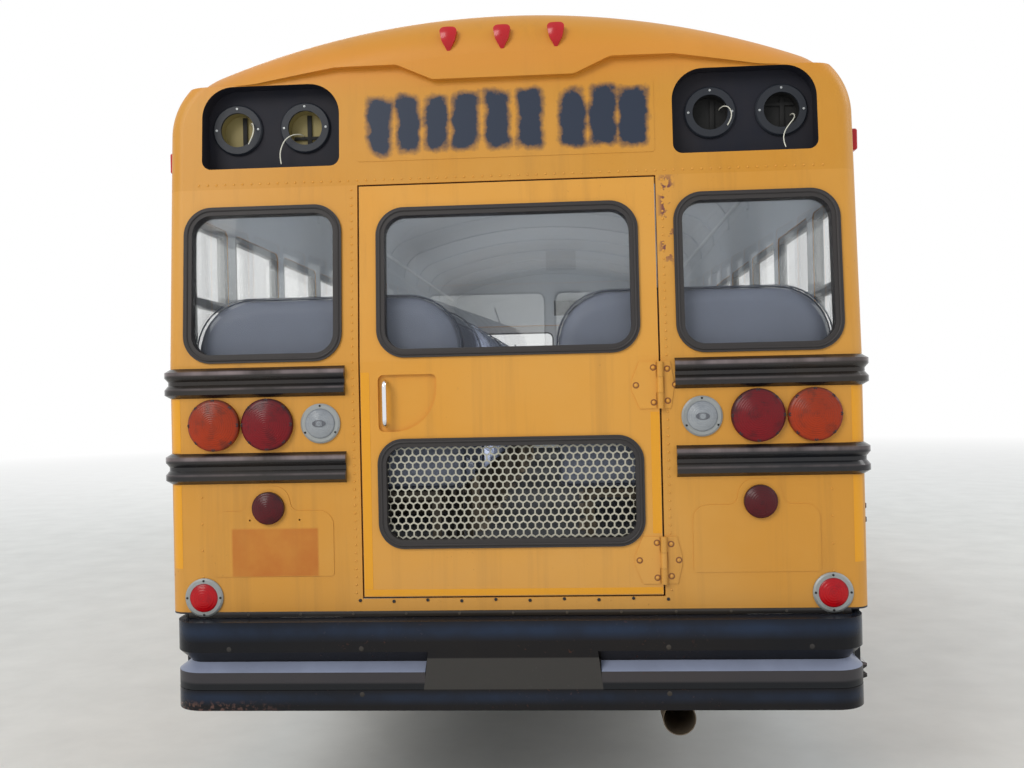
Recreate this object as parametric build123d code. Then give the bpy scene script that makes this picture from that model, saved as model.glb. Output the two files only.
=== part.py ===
from build123d import *
import os
from math import atan2, cos, pi, radians, sin, sqrt, tan

# School bus, front engined, seen in its own frame: +X is the door side, +Y the front, +Z up.
# The origin lies on the ground under the middle of the bus. All sizes are in mm and degrees.

# Driving dimensions of the whole bus
OVERALL_LENGTH = 10560.0
BODY_WIDTH = 2438.0
REAR_AXLE_Y = -2220.0
WHEELBASE = 6450.0
FRAME_REAR_REACH = 80.0
FRONT_WALL_Y = 3520.0

# Heights above the ground
SKIRT_BOTTOM = 640.0
REAR_BOTTOM = 930.0
FLOOR_TOP = 1000.0
BELT = 1807.0
EAVE = 2437.0
CROWN = 3070.0

# Shell
WALL = 40.0
SKIRT_THICK = 20.0
FLOOR_THICK = 40.0
ROOF_RADIUS = 3050.0
SHOULDER_RADIUS = 255.0
CORNER_RADIUS = 60.0
SEAM_SETBACK = 160.0
REAR_LEAN = 4.12
FRONT_LEAN = 8.0
FRONT_BELT = 1640.0

# End caps
CAP_LENGTH = 620.0
DOME_FILLET = 180.0
BROW_OVERHANG = 24.0
HEADER_DEPTH = 130.0
POCKET_DEPTH = 62.0
POCKET_IN, POCKET_OUT = 590.0, 1090.0
POCKET_LOW, POCKET_HIGH = 2511.0, 2812.0
POCKET_TOP_R, POCKET_FOOT_R = 112.0, 34.0
SOCKET_X = (730.0, 980.0)
SOCKET_Z = 2669.0
SOCKET_OUTER, SOCKET_HOLE, SOCKET_PROUD, SOCKET_BORE = 92.0, 62.5, 12.0, 40.0
BROW_END_X, BROW_END_Z = 900.0, 2815.0
BROW_HIGH_IN, BROW_HIGH_OUT, BROW_HIGH_Z = 378.0, 600.0, 2861.0
BROW_DIP_X, BROW_DIP_Z = 250.0, 2804.0

# Side windows: the pillars stand on a pitch, counted from the rear wall
PILLAR_PITCH = 711.0
FIRST_PILLAR = 620.0
PILLAR_WIDTH = 90.0
WINDOW_COUNT = 10
WINDOW_SILL, WINDOW_HEAD = 1810.0, 2370.0
WINDOW_RADIUS = 30.0
SASH_WIDTH, SASH_DEPTH, SASH_MID_Z, SASH_BAR = 32.0, 30.0, 2055.0, 36.0
GLASS = 5.0
FIT = 0.3

# Rear wall openings, measured on the outer face
DOOR_HALF, DOOR_BOTTOM, DOOR_GAP = 520.0, 985.0, 6.0
REAR_WINDOW_X, REAR_WINDOW_Z, REAR_WINDOW_R = (583.0, 1152.0), (1813.0, 2373.0), 100.0
DOOR_WINDOW_HALF, DOOR_WINDOW_Z = 460.0, (1819.0, 2352.0)
GUARD_HALF, GUARD_Z, GUARD_R = 463.0, (1152.0, 1536.0), 90.0
GASKET, GASKET_LIP, GASKET_PROUD = 30.0, 12.0, 8.0
GUARD_PLATE = 3.0
PLATE_HOLE_X, PLATE_HOLE_PITCH, PLATE_HOLE_Z, PLATE_HOLE_R = -834.0, 178.0, 1258.0, 3.5

# Rub rails: bottom and top heights. The first two go round the rear corners, the others stay on the sides.
RUB_RAILS = ((1691.0, 1797.0), (1387.0, 1496.0))
FLOOR_RAIL, SKIRT_RAIL = (1200.0, 1285.0), (648.0, 712.0)
RAIL_PROUD, RAIL_VALLEY = 22.0, 9.0
RAIL_INNER_X = 574.0

# Pressed ribs on the sides between two rub rails, and the small hoods over the side windows
FLUTE_COUNT, FLUTE_PROUD, FLUTE_WIDTH, FLUTE_ZONE = 3, 5.0, 14.0, (1285.0, 1387.0)
HOOD_RISE, HOOD_OUT, HOOD_LIP = 40.0, 20.0, 8.0

# Lamps on the rear wall: columns are x, z, lens radius, depth
AMBER_LAMPS = ((1043.0, 1595.0, 91.5, 42.0),)
RED_LAMPS = ((852.0, 1595.0, 91.5, 42.0), (1091.0, 988.0, 50.0, 24.0))
STOP_LAMPS = ((854.0, 1301.0, 57.0, 34.0),)
CLEAR_LAMPS = ((663.0, 1595.0, 52.0, 30.0),)
BEZEL_GROW, BEZEL_DEPTH = 18.0, 10.0

# Pressed panel round each stop lamp: sides, foot, shoulder and the top of the bump over the lamp
PRESS_X, PRESS_Z, PRESS_BUMP, PRESS_BUMP_HALF = (625.0, 1055.0), (1060.0, 1290.0), 1377.0, 64.0
PRESS_PROUD = 2.5
SIGN_HALF, SIGN_Z, SIGN_PROUD = 527.0, (2522.0, 2787.0), 1.5

# Marker lamps on the domes: a teardrop's half width, its rise, its drop and how far it stands out
MARKER_X, MARKER_Z = (-190.0, 0.0, 190.0), 2948.0
MARKER_HALF, MARKER_RISE, MARKER_DROP, MARKER_OUT = 33.0, 38.0, 56.0, 30.0
SIDE_MARKER_Z, SIDE_MARKER_IN, SIDE_MARKER_HALF, SIDE_MARKER_HIGH = 2566.0, 190.0, 24.0, 38.0
SIDE_MARKER_OUT = 34.0

# Bumpers
BUMPER_HALF = 1190.0
BUMPER_TOP, BUMPER_RIB, BUMPER_CHANNEL, BUMPER_BOTTOM = 915.0, 812.0, 702.0, 612.0
BUMPER_SKIN, BUMPER_CORNER, BUMPER_RETURN = 10.0, 110.0, 230.0
BUMPER_RECESS = 42.0
BUMPER_PAD_TOP, BUMPER_PAD_BOTTOM = 280.0, 310.0
FRONT_BUMPER_TOP, FRONT_BUMPER_BOTTOM = 790.0, 500.0

# Chassis
RAIL_X, RAIL_TOP, RAIL_DEEP, RAIL_FLANGE, RAIL_WEB = 430.0, 905.0, 260.0, 80.0, 10.0
CROSS_WIDTH, CROSS_DEEP = 60.0, 100.0
CROSSMEMBERS = (-5000.0, -3350.0, -1150.0, 700.0, 2200.0, 4960.0)

# Wheels
TYRE_R, TYRE_WIDTH, RIM_R = 527.0, 279.0, 292.0
FRONT_TRACK_HALF = 1010.0
DUAL_OUTER, DUAL_INNER = 1065.0, 735.0
KINGPIN_X, KINGPIN_R, STEER_LIMIT = 850.0, 22.0, 38.0
SPINDLE_R, SPINDLE_FIT = 38.0, 0.3
HUB_R = 110.0
STEER_ARM = 210.0
ARCH_HALF, ARCH_TOP, ARCH_R = 660.0, 1172.0, 440.0
ARCH_FLANGE, ARCH_PROUD = 24.0, 8.0
WHEELHOUSE_IN, WHEELHOUSE_HIGH, WHEELHOUSE_SKIN = 550.0, 1160.0, 12.0

# Springs
SPRING_WIDTH, SPRING_THICK, SPRING_X = 75.0, 55.0, 430.0
SPRING_REAR_HALF, SPRING_FRONT_HALF = 700.0, 620.0

# Nose
HOOD_GAP, HOOD_SKIN = 15.0, 15.0
NOSE_Y = 5120.0
HOOD_REAR_Z, HOOD_FRONT_Z, NOSE_BOTTOM, FENDER_BOTTOM = 1600.0, 1440.0, 850.0, 700.0
HOOD_HALF_REAR, HOOD_HALF_FRONT, FENDER_HALF, FENDER_TOP = 800.0, 690.0, 1200.0, 1330.0
FENDER_ARCH_R = 640.0
HOOD_ROUND, FENDER_ROUND, FENDER_FALL, FENDER_IN = 120.0, 80.0, 60.0, 560.0
HINGE_Y, HINGE_Z = 5085.0, 830.0
GRILLE_HALF, GRILLE_Z = 380.0, (930.0, 1370.0)
HEADLAMP_X, HEADLAMP_Z, HEADLAMP_R = 900.0, 1110.0, 100.0

# Entry door
ENTRY_Y, ENTRY_Z = (2570.0, 3230.0), (415.0, 2330.0)
ENTRY_GAP, ENTRY_MEET, ENTRY_THICK, ENTRY_SKIRT = 6.0, 14.0, 34.0, 385.0
STEPS = ((500.0, 805.0), (730.0, 610.0), (960.0, 415.0))
DRIVER_WINDOW_Y, DRIVER_WINDOW_SILL = (2590.0, 3225.0), 1560.0

# Seats
SEAT_ROWS, SEAT_IN, SEAT_OUT = 11, 160.0, 1145.0
SEAT_REAR_GAP, SEAT_DEPTH, SEAT_TOP, SEAT_THICK = 75.0, 400.0, 1440.0, 100.0
SEAT_BACK_TOP, SEAT_BACK_THICK, SEAT_BACK_R = 2055.0, 80.0, 190.0

# Tail pipe
PIPE_X, PIPE_Z, PIPE_R, PIPE_WALL = 568.0, 545.0, 57.5, 3.0

# How far a cutting tool runs past what it cuts
OVERCUT = 5.0

# Worked out from the above
HALF = BODY_WIDTH / 2
INNER = HALF - WALL
BUMPER_FACE = -OVERALL_LENGTH / 2
REAR_Y = BUMPER_FACE + FRAME_REAR_REACH
FRONT_FACE = OVERALL_LENGTH / 2
FRONT_AXLE_Y = REAR_AXLE_Y + WHEELBASE
SHOULDER_X = HALF - SHOULDER_RADIUS
CROWN_Z = CROWN - ROOF_RADIUS
SHOULDER_Z = CROWN_Z + sqrt((ROOF_RADIUS - SHOULDER_RADIUS) ** 2 - SHOULDER_X**2)
REAR_SEAM = REAR_Y + SEAM_SETBACK
FRONT_SEAM = FRONT_WALL_Y - 230.0
CAP_REAR_SEAM = REAR_Y + CAP_LENGTH
CAP_FRONT_SEAM = FRONT_WALL_Y - CAP_LENGTH
FLOOR_BOTTOM = FLOOR_TOP - FLOOR_THICK
RAIL_BOTTOM = RAIL_TOP - RAIL_DEEP
WINDOWS = [
    (REAR_Y + FIRST_PILLAR + PILLAR_PITCH * k + PILLAR_WIDTH / 2,
     REAR_Y + FIRST_PILLAR + PILLAR_PITCH * (k + 1) - PILLAR_WIDTH / 2)
    for k in range(WINDOW_COUNT)
]
WINDOWS.insert(0, (REAR_SEAM + 40.0, REAR_Y + FIRST_PILLAR - PILLAR_WIDTH / 2))
SIDE_TRIM_END = {1: ENTRY_Y[0] - 50.0, -1: FRONT_SEAM}

nodes = {}


def box(x0, x1, y0, y1, z0, z1):
    """A block between two corners."""
    return Pos((x0 + x1) / 2, (y0 + y1) / 2, (z0 + z1) / 2) * Box(x1 - x0, y1 - y0, z1 - z0)


def rod(start, direction, radius, length):
    """A round bar from a point, along a direction."""
    place = Plane(origin=start, z_dir=direction)
    return place * Cylinder(radius, length, align=(Align.CENTER, Align.CENTER, Align.MIN))


def side_slab(points, radii, x0, x1):
    """A side outline of (y, z) points with rounded corners, carried from x0 to x1."""
    wire = FilletPolyline([(x0, y, z) for y, z in points], radius=radii, close=True)
    return extrude(make_face(wire), amount=x1 - x0, dir=(1, 0, 0))


def end_slab(points, radii, y0, y1):
    """An end outline of (x, z) points with rounded corners, carried from y0 to y1."""
    wire = FilletPolyline([(x, y0, z) for x, z in points], radius=radii, close=True)
    return extrude(make_face(wire), amount=y1 - y0, dir=(0, 1, 0))


def plan_slab(points, radii, z0, z1, lean=0.0):
    """A plan outline of (x, y) points, carried from z0 to z1 and leaned towards +Y."""
    wire = FilletPolyline([(x, y, z0) for x, y in points], radius=radii, close=True)
    tilt = radians(lean)
    return extrude(make_face(wire), amount=(z1 - z0) / cos(tilt), dir=(0, sin(tilt), cos(tilt)))


def frame_points(x0, x1, z0, z1):
    """The four corners of an upright rectangle."""
    return [(x0, z0), (x1, z0), (x1, z1), (x0, z1)]


def panel(x0, x1, z0, z1, radius, y0, y1):
    """A flat panel facing the ends of the bus, with rounded corners."""
    return end_slab(frame_points(x0, x1, z0, z1), radius, y0, y1)


def side_panel(y0, y1, z0, z1, radius, x0, x1):
    """A flat panel facing the sides of the bus, with rounded corners."""
    return side_slab([(y0, z0), (y1, z0), (y1, z1), (y0, z1)], radius, x0, x1)


def spin(profile, start, direction):
    """A turned piece: its (radius, distance) profile, spun about a line from a point."""
    flat = make_face(Polyline([(r, 0, d) for r, d in profile], close=True))
    return Plane(origin=start, z_dir=direction) * revolve(flat, axis=Axis.Z)


def mirrored(shape):
    """The same piece on the other side of the bus."""
    return mirror(shape, about=Plane.YZ)


def pair(shape):
    """A piece and its mirror image."""
    return [shape, mirrored(shape)]


def fuse(shapes):
    """Several overlapping shapes as one."""
    first, *rest = shapes
    return first + rest if rest else first


def keep(name, *shapes):
    """Store a node as a list of its solids."""
    solids = []
    for shape in shapes:
        solids.extend(shape if isinstance(shape, list) else [shape])
    nodes[name] = [solid for shape in solids for solid in shape.solids()]


# The leaning end walls. Each is made facing -Y with its lower face at y = 0.

def lean_offset(z, belt, lean):
    """How far an end wall's face has leaned back at a height."""
    return max(0.0, z - belt) * tan(radians(lean))


def end_body(inset, z0, z1, depth, belt, lean):
    """A solid with the end wall's rounded plan, upright to the belt and leaning above it."""
    half, radius = HALF - inset, CORNER_RADIUS - inset if CORNER_RADIUS > inset else 5.0
    plan = [(-half, depth + 400), (-half, inset), (half, inset), (half, depth + 400)]
    radii = [0, radius, radius, 0]
    pieces = []
    if z0 < belt:
        pieces.append(plan_slab(plan, radii, z0, min(z1, belt)))
    if z1 > belt:
        low = max(z0, belt)
        upper = plan_slab(plan, radii, low, z1, lean)
        pieces.append(Pos(0, lean_offset(low, belt, lean), 0) * upper)
    return fuse(pieces) & box(-HALF, HALF, -1, depth, z0, z1)


def roof_outline(inset, low, y):
    """The roof's cross-section: crown arc, two shoulder arcs and the sides down to a height."""
    half, rc, rs = HALF - inset, ROOF_RADIUS - inset, SHOULDER_RADIUS - inset
    tip = atan2(SHOULDER_X, SHOULDER_Z - CROWN_Z)

    def at(cx, cz, r, angle):
        return (cx + r * sin(angle), y, cz + r * cos(angle))

    mid = (tip + pi / 2) / 2
    crown = ThreePointArc(at(0, CROWN_Z, rc, -tip), at(0, CROWN_Z, rc, 0), at(0, CROWN_Z, rc, tip))
    right = ThreePointArc(*[at(SHOULDER_X, SHOULDER_Z, rs, a) for a in (tip, mid, pi / 2)])
    left = ThreePointArc(*[at(-SHOULDER_X, SHOULDER_Z, rs, a) for a in (-pi / 2, -mid, -tip)])
    sides = Polyline((half, y, SHOULDER_Z), (half, y, low), (-half, y, low), (-half, y, SHOULDER_Z))
    return make_face(left + crown + right + sides)


def roof_solid(inset, low, y0, y1):
    return extrude(roof_outline(inset, low, y0), amount=y1 - y0, dir=(0, 1, 0))


def leaning_roof(belt, lean):
    """The roof's end below the dome: it leans back and turns round into the sides in a soft corner."""
    low = EAVE
    plan = [(-HALF - 9, 0), (HALF + 9, 0), (HALF + 9, 2 * CAP_LENGTH), (-HALF - 9, 2 * CAP_LENGTH)]
    behind = Pos(0, lean_offset(low, belt, lean), 0) * plan_slab(plan, 0, low - 1, CROWN + 9, lean)
    solid = roof_solid(0, low, 0, CAP_LENGTH) & behind
    front = solid.edges().filter_by(lambda e: e.center().Z > low + 1
                                    and e.center().Y < lean_offset(e.center().Z, belt, lean) + 9
                                    and (e @ 0).Y < CAP_LENGTH / 2 and (e @ 1).Y < CAP_LENGTH / 2)
    return fillet(front, CORNER_RADIUS)


def cap(belt, lean):
    """An end cap: a domed roof end with a brow over a header that holds four lamp pockets."""
    face = lean_offset(POCKET_HIGH, belt, lean)
    brow_y = face - BROW_OVERHANG
    dome = roof_solid(0, EAVE, brow_y, CAP_LENGTH)
    edges = dome.edges().filter_by(lambda e: abs(e.center().Y - brow_y) < 1 and e.center().Z > EAVE + 1)
    dome = fillet(edges, DOME_FILLET)
    below = [(-HALF - 9, EAVE - 9), (HALF + 9, EAVE - 9), (HALF + 9, BROW_END_Z), (BROW_END_X, BROW_END_Z),
             (BROW_HIGH_OUT, BROW_HIGH_Z), (BROW_HIGH_IN, BROW_HIGH_Z), (BROW_DIP_X, BROW_DIP_Z),
             (-BROW_DIP_X, BROW_DIP_Z), (-BROW_HIGH_IN, BROW_HIGH_Z), (-BROW_HIGH_OUT, BROW_HIGH_Z),
             (-BROW_END_X, BROW_END_Z), (-HALF - 9, BROW_END_Z)]
    radii = [0, 0, 0, 300, 150, 60, 40, 40, 60, 150, 300, 0]
    low_zone = end_slab(below, radii, -50, face + HEADER_DEPTH)
    header = leaning_roof(belt, lean) & end_slab(below, radii, -50, CAP_LENGTH)
    outer = (dome - low_zone) + header
    hollow = roof_solid(WALL, EAVE - 1, face + HEADER_DEPTH, CAP_LENGTH + 1)
    shell = outer - hollow
    turns = [POCKET_FOOT_R, POCKET_FOOT_R, POCKET_TOP_R, POCKET_TOP_R]
    for side in (-1, 1):
        x0, x1 = sorted((side * POCKET_IN, side * POCKET_OUT))
        shell = shell - panel(x0, x1, POCKET_LOW, POCKET_HIGH, turns, -50, face + POCKET_DEPTH)
        for x in SOCKET_X:
            shell = shell - rod((side * x, face + POCKET_DEPTH - 1, SOCKET_Z), (0, 1, 0), SOCKET_HOLE, SOCKET_BORE + 1)
    sign_panel = panel(-SIGN_HALF, SIGN_HALF, *SIGN_Z, 12, -SIGN_PROUD, OVERCUT)
    return shell + Pos(0, 0, belt) * Rot(-lean, 0, 0) * Pos(0, 0, -belt) * sign_panel


def sockets(belt, lean):
    """The empty warning-lamp rings that sit on the floors of the pockets."""
    floor_y = lean_offset(POCKET_HIGH, belt, lean) + POCKET_DEPTH
    ring = [(SOCKET_HOLE, 0), (SOCKET_OUTER, 0), (SOCKET_OUTER, SOCKET_PROUD - 5),
            (SOCKET_OUTER - 5, SOCKET_PROUD), (SOCKET_HOLE, SOCKET_PROUD)]
    return [spin(ring, (side * x, floor_y, SOCKET_Z), (0, -1, 0)) for side in (-1, 1) for x in SOCKET_X]


def at_rear(shape):
    return Pos(0, REAR_Y, 0) * shape


def at_front(shape):
    return Pos(0, FRONT_WALL_Y, 0) * mirror(shape, about=Plane.XZ)


def dome_marker(x, belt, lean):
    """A teardrop marker lamp, pointed below, that grows out of the dome."""
    brow_y = lean_offset(POCKET_HIGH, belt, lean) - BROW_OVERHANG
    top, tip = MARKER_Z + MARKER_RISE, MARKER_Z - MARKER_DROP
    outline = [(x - MARKER_HALF, top), (x + MARKER_HALF, top), (x + 0.72 * MARKER_HALF, MARKER_Z - 0.2 * MARKER_DROP),
               (x, tip), (x - 0.72 * MARKER_HALF, MARKER_Z - 0.2 * MARKER_DROP)]
    drop = end_slab(outline, [14, 14, 30, 6, 30], brow_y - MARKER_OUT / 2, brow_y + 2 * MARKER_HALF)
    ball = Pos(x, brow_y + 2 * MARKER_RISE - MARKER_OUT / 2, MARKER_Z) * Sphere(2 * MARKER_RISE)
    return drop & ball


def side_marker():
    """A marker lamp on the right side of an end cap, at its shoulder."""
    y = SIDE_MARKER_IN
    base = side_panel(y - SIDE_MARKER_HALF, y + SIDE_MARKER_HALF, SIDE_MARKER_Z - SIDE_MARKER_HIGH,
                      SIDE_MARKER_Z + SIDE_MARKER_HIGH, 8, HALF - WALL / 2, HALF + SIDE_MARKER_OUT)
    outer = base.edges().filter_by(lambda e: abs(e.center().X - HALF - SIDE_MARKER_OUT) < 1)
    return fillet(outer, 8)


def marker_set(belt, lean, shell):
    drops = [dome_marker(x, belt, lean) - shell for x in MARKER_X]
    return drops + [side - shell for side in pair(side_marker())]


rear_cap, front_cap = cap(BELT, REAR_LEAN), cap(FRONT_BELT, FRONT_LEAN)
keep("rear_cap", at_rear(rear_cap))
keep("front_cap", at_front(front_cap))
keep("marker_lamps", [at_rear(lamp) for lamp in marker_set(BELT, REAR_LEAN, rear_cap)],
     [at_front(lamp) for lamp in marker_set(FRONT_BELT, FRONT_LEAN, front_cap)])
keep("lamp_sockets", [at_rear(s) for s in sockets(BELT, REAR_LEAN)],
     [at_front(s) for s in sockets(FRONT_BELT, FRONT_LEAN)])

# Wires that hang out of the empty rear sockets. A route's points are x, y behind the rear face, z.
WIRE_R = 2.0
WIRE_ROUTES = (
    ((-748, 2650), ((-748, 152, 2650), (-756, 130, 2647), (-775, 108, 2640), (-798, 97, 2621), (-811, 90, 2589),
                    (-813, 80, 2555), (-804, 67, 2527))),
    ((1020, 2660), ((1020, 152, 2660), (1026, 130, 2653), (1021, 108, 2633), (1001, 96, 2610), (981, 89, 2582),
                    (975, 81, 2550), (981, 68, 2524))),
    ((-938, 2692), ((-938, 152, 2692), (-930, 130, 2695), (-918, 110, 2685), (-912, 99, 2661), (-919, 96, 2632),
                    (-934, 102, 2611))),
    ((768, 2688), ((768, 152, 2688), (778, 130, 2691), (794, 110, 2682), (802, 99, 2659), (799, 96, 2634),
                   (786, 98, 2614))),
)


def wire(start, points):
    """A wire from the back of its socket's bore: straight runs joined by arcs as large as the runs allow."""
    back = lean_offset(POCKET_HIGH, BELT, REAR_LEAN) + POCKET_DEPTH + SOCKET_BORE
    route = [Vector(start[0], back, start[1])] + [Vector(*p) for p in points]
    runs = [b - a for a, b in zip(route, route[1:])]
    turns = [radians(a.get_angle(b)) for a, b in zip(runs, runs[1:])]
    radii = [0.45 * min(a.length, b.length) / tan(t / 2) for a, b, t in zip(runs, runs[1:], turns)]
    path = Wire(FilletPolyline(route, radius=radii).edges())
    tube = sweep(Plane(origin=route[0], z_dir=runs[0]) * Circle(WIRE_R), path=path)
    print("wire of", round(path.length), "mm, radii", [round(r) for r in radii], "mm, tube to section times length",
          round(tube.volume / (pi * WIRE_R**2 * path.length), 4))
    return at_rear(tube)


keep("lamp_wires", [wire(start, points) for start, points in WIRE_ROUTES])

# Roof between the caps
keep("roof", roof_solid(0, EAVE, CAP_REAR_SEAM, CAP_FRONT_SEAM)
     - roof_solid(WALL, EAVE - 1, CAP_REAR_SEAM - 1, CAP_FRONT_SEAM + 1))


# Rear wall, with the doorway and two windows

def rear_tilt(shape):
    """Lean a piece, made on the upright rear face, back with the upper rear wall."""
    return Pos(0, REAR_Y, BELT) * Rot(-REAR_LEAN, 0, 0) * Pos(0, 0, -BELT) * shape


def hole_in(x0, x1, z0, z1, radius):
    return panel(x0 + GASKET_LIP, x1 - GASKET_LIP, z0 + GASKET_LIP, z1 - GASKET_LIP,
                 radius - GASKET_LIP, -60, WALL + 60)


def gasket(x0, x1, z0, z1, radius):
    """A rubber window gasket: a proud outer lip and a body that lines the hole."""
    lip = panel(x0, x1, z0, z1, radius, -GASKET_PROUD, -FIT)
    body = panel(x0 + GASKET_LIP + FIT, x1 - GASKET_LIP - FIT, z0 + GASKET_LIP + FIT, z1 - GASKET_LIP - FIT,
                 radius - GASKET_LIP - FIT, -FIT - 1, WALL)
    middle = panel(x0 + GASKET, x1 - GASKET, z0 + GASKET, z1 - GASKET, radius - GASKET, -60, WALL + 60)
    return lip + body - middle


def pane(x0, x1, z0, z1, radius):
    grow = GASKET + FIT
    return panel(x0 + grow, x1 - grow, z0 + grow, z1 - grow, radius - grow,
                 (WALL - GLASS) / 2, (WALL + GLASS) / 2)


DOORWAY = DOOR_HALF + DOOR_GAP
rear_outer = end_body(0, REAR_BOTTOM, EAVE, SEAM_SETBACK, BELT, REAR_LEAN)
rear_inner = end_body(WALL, REAR_BOTTOM - 1, EAVE + 1, SEAM_SETBACK + 1, BELT, REAR_LEAN)
rear_wall = at_rear(rear_outer - rear_inner)
rear_wall = rear_wall - box(-DOORWAY, DOORWAY, REAR_Y - 50, REAR_Y + 150, DOOR_BOTTOM - DOOR_GAP, EAVE + 1)
rear_window_frames = [(*REAR_WINDOW_X, *REAR_WINDOW_Z), (-REAR_WINDOW_X[1], -REAR_WINDOW_X[0], *REAR_WINDOW_Z)]
for frame in rear_window_frames:
    rear_wall = rear_wall - rear_tilt(hole_in(*frame, REAR_WINDOW_R))
lamp_x, (x0, x1), (foot, shoulder) = STOP_LAMPS[0][0], PRESS_X, PRESS_Z
press_outline = [(x0, foot), (x1, foot), (x1, shoulder), (lamp_x + 1.3 * PRESS_BUMP_HALF, shoulder),
                 (lamp_x + PRESS_BUMP_HALF, PRESS_BUMP), (lamp_x - PRESS_BUMP_HALF, PRESS_BUMP),
                 (lamp_x - 1.3 * PRESS_BUMP_HALF, shoulder), (x0, shoulder)]
pressed = at_rear(end_slab(press_outline, [12, 12, 50, 30, 55, 55, 30, 50], -PRESS_PROUD, OVERCUT))
rear_wall = fuse([rear_wall] + pair(pressed))
for side in (-1, 1):
    start = (PLATE_HOLE_X + side * PLATE_HOLE_PITCH / 2, REAR_Y - OVERCUT, PLATE_HOLE_Z)
    rear_wall = rear_wall - rod(start, (0, 1, 0), PLATE_HOLE_R, WALL + 2 * OVERCUT)


# Hinges: a knuckle on a fixed pin, standing just proud of the panel

HINGE_KNUCKLE, HINGE_PIN, HINGE_PLATE, HINGE_PLAY = 11.0, 5.0, 4.0, 0.3
HINGE_HEIGHT, HINGE_WIDTH, STRAP_STEP, STRAP_CUT = 162.0, 98.0, 0.67, 0.4


def strap(near, reach, height):
    """A hinge strap that narrows towards its top and foot, as its outline from x = near to reach."""
    step, cut = near + STRAP_STEP * (reach - near), STRAP_CUT * height
    outline = [(near, 0), (step, 0), (reach, cut), (reach, height - cut), (step, height), (near, height)]
    return end_slab(outline, 0, HINGE_KNUCKLE - HINGE_PLATE, HINGE_KNUCKLE)


def hinge(height, width_fixed, width_moving):
    """A strap hinge about the Z axis, its straps on the plane y = knuckle radius.
    The fixed strap reaches to +X and the moving one to -X."""
    third = height / 3
    far, start = HINGE_KNUCKLE, HINGE_KNUCKLE + 3
    fixed = strap(start, width_fixed, height)
    moving = strap(-start, -width_moving, height)
    bore = Cylinder(HINGE_PIN + HINGE_PLAY, 3 * height)
    for z0, z1 in ((0, third - 0.5), (2 * third + 0.5, height)):
        knuckle = rod((0, 0, z0), (0, 0, 1), HINGE_KNUCKLE, z1 - z0)
        fixed = fixed + knuckle + box(0, start + 1, far - HINGE_PLATE, far, z0, z1)
    knuckle = rod((0, 0, third + 0.5), (0, 0, 1), HINGE_KNUCKLE, third - 1)
    moving = moving + knuckle + box(-start - 1, 0, far - HINGE_PLATE, far, third + 0.5, 2 * third - 0.5)
    fixed = fixed + Cylinder(HINGE_PIN, height, align=(Align.CENTER, Align.CENTER, Align.MIN))
    return fixed, moving - bore


REAR_HINGE_X = DOOR_HALF + DOOR_GAP / 2
REAR_HINGE_Y = REAR_Y - HINGE_KNUCKLE
# Columns: middle height, reach of the wall's strap
REAR_HINGES = ((1705.0, 46.0), (1103.0, 62.0))
rear_door_straps = []
for z, wall_reach in REAR_HINGES:
    fixed, moving = hinge(HINGE_HEIGHT, wall_reach, HINGE_WIDTH)
    place = Pos(REAR_HINGE_X, REAR_HINGE_Y, z - HINGE_HEIGHT / 2)
    rear_wall = rear_wall + place * fixed
    rear_door_straps.append(place * moving)
keep("rear_wall", rear_wall)

# Rear door, kinked at the belt like the wall
HANDLE_POCKET = (-458.0, -252.0, 1561.0, 1760.0)
HANDLE_X, HANDLE_Z, HANDLE_R, HANDLE_OFF = -432.0, (1585.0, 1735.0), 9.0, 22.0
POCKET_SINK = 14.0
door_zone = box(-DOOR_HALF, DOOR_HALF, REAR_Y - 50, REAR_Y + 200, DOOR_BOTTOM, EAVE - DOOR_GAP)
rear_door = at_rear(rear_outer - rear_inner) & door_zone
rear_door = rear_door - rear_tilt(hole_in(-DOOR_WINDOW_HALF, DOOR_WINDOW_HALF, *DOOR_WINDOW_Z, REAR_WINDOW_R))
rear_door = rear_door - at_rear(hole_in(-GUARD_HALF, GUARD_HALF, *GUARD_Z, GUARD_R))
x0, x1, z0, z1 = HANDLE_POCKET
rear_door = rear_door - at_rear(end_slab(frame_points(x0, x1, z0, z1), [20, 150, 20, 20], -1, POCKET_SINK))
rear_door = fuse([rear_door] + rear_door_straps)
keep("rear_door", rear_door)
grip = [(HANDLE_X, REAR_Y + POCKET_SINK, HANDLE_Z[0]), (HANDLE_X, REAR_Y - HANDLE_OFF, HANDLE_Z[0]),
        (HANDLE_X, REAR_Y - HANDLE_OFF, HANDLE_Z[1]), (HANDLE_X, REAR_Y + POCKET_SINK, HANDLE_Z[1])]
grip_path = FilletPolyline(grip, radius=2 * HANDLE_R)
grip_end = Plane(origin=grip[0], z_dir=(0, -1, 0))
keep("rear_door_handle", sweep(grip_end * Circle(HANDLE_R), path=Wire(grip_path.edges())))
keep("rear_door_gaskets",
     rear_tilt(gasket(-DOOR_WINDOW_HALF, DOOR_WINDOW_HALF, *DOOR_WINDOW_Z, REAR_WINDOW_R)),
     at_rear(gasket(-GUARD_HALF, GUARD_HALF, *GUARD_Z, GUARD_R)))
keep("rear_door_glass", rear_tilt(pane(-DOOR_WINDOW_HALF, DOOR_WINDOW_HALF, *DOOR_WINDOW_Z, REAR_WINDOW_R)))
grow = GASKET + FIT
keep("rear_door_guard", at_rear(panel(-GUARD_HALF + grow, GUARD_HALF - grow, GUARD_Z[0] + grow,
                                      GUARD_Z[1] - grow, GUARD_R - grow, WALL / 2, WALL / 2 + GUARD_PLATE)))
body_gaskets = [rear_tilt(gasket(*frame, REAR_WINDOW_R)) for frame in rear_window_frames]
body_glass = [rear_tilt(pane(*frame, REAR_WINDOW_R)) for frame in rear_window_frames]


# Side walls

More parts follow.
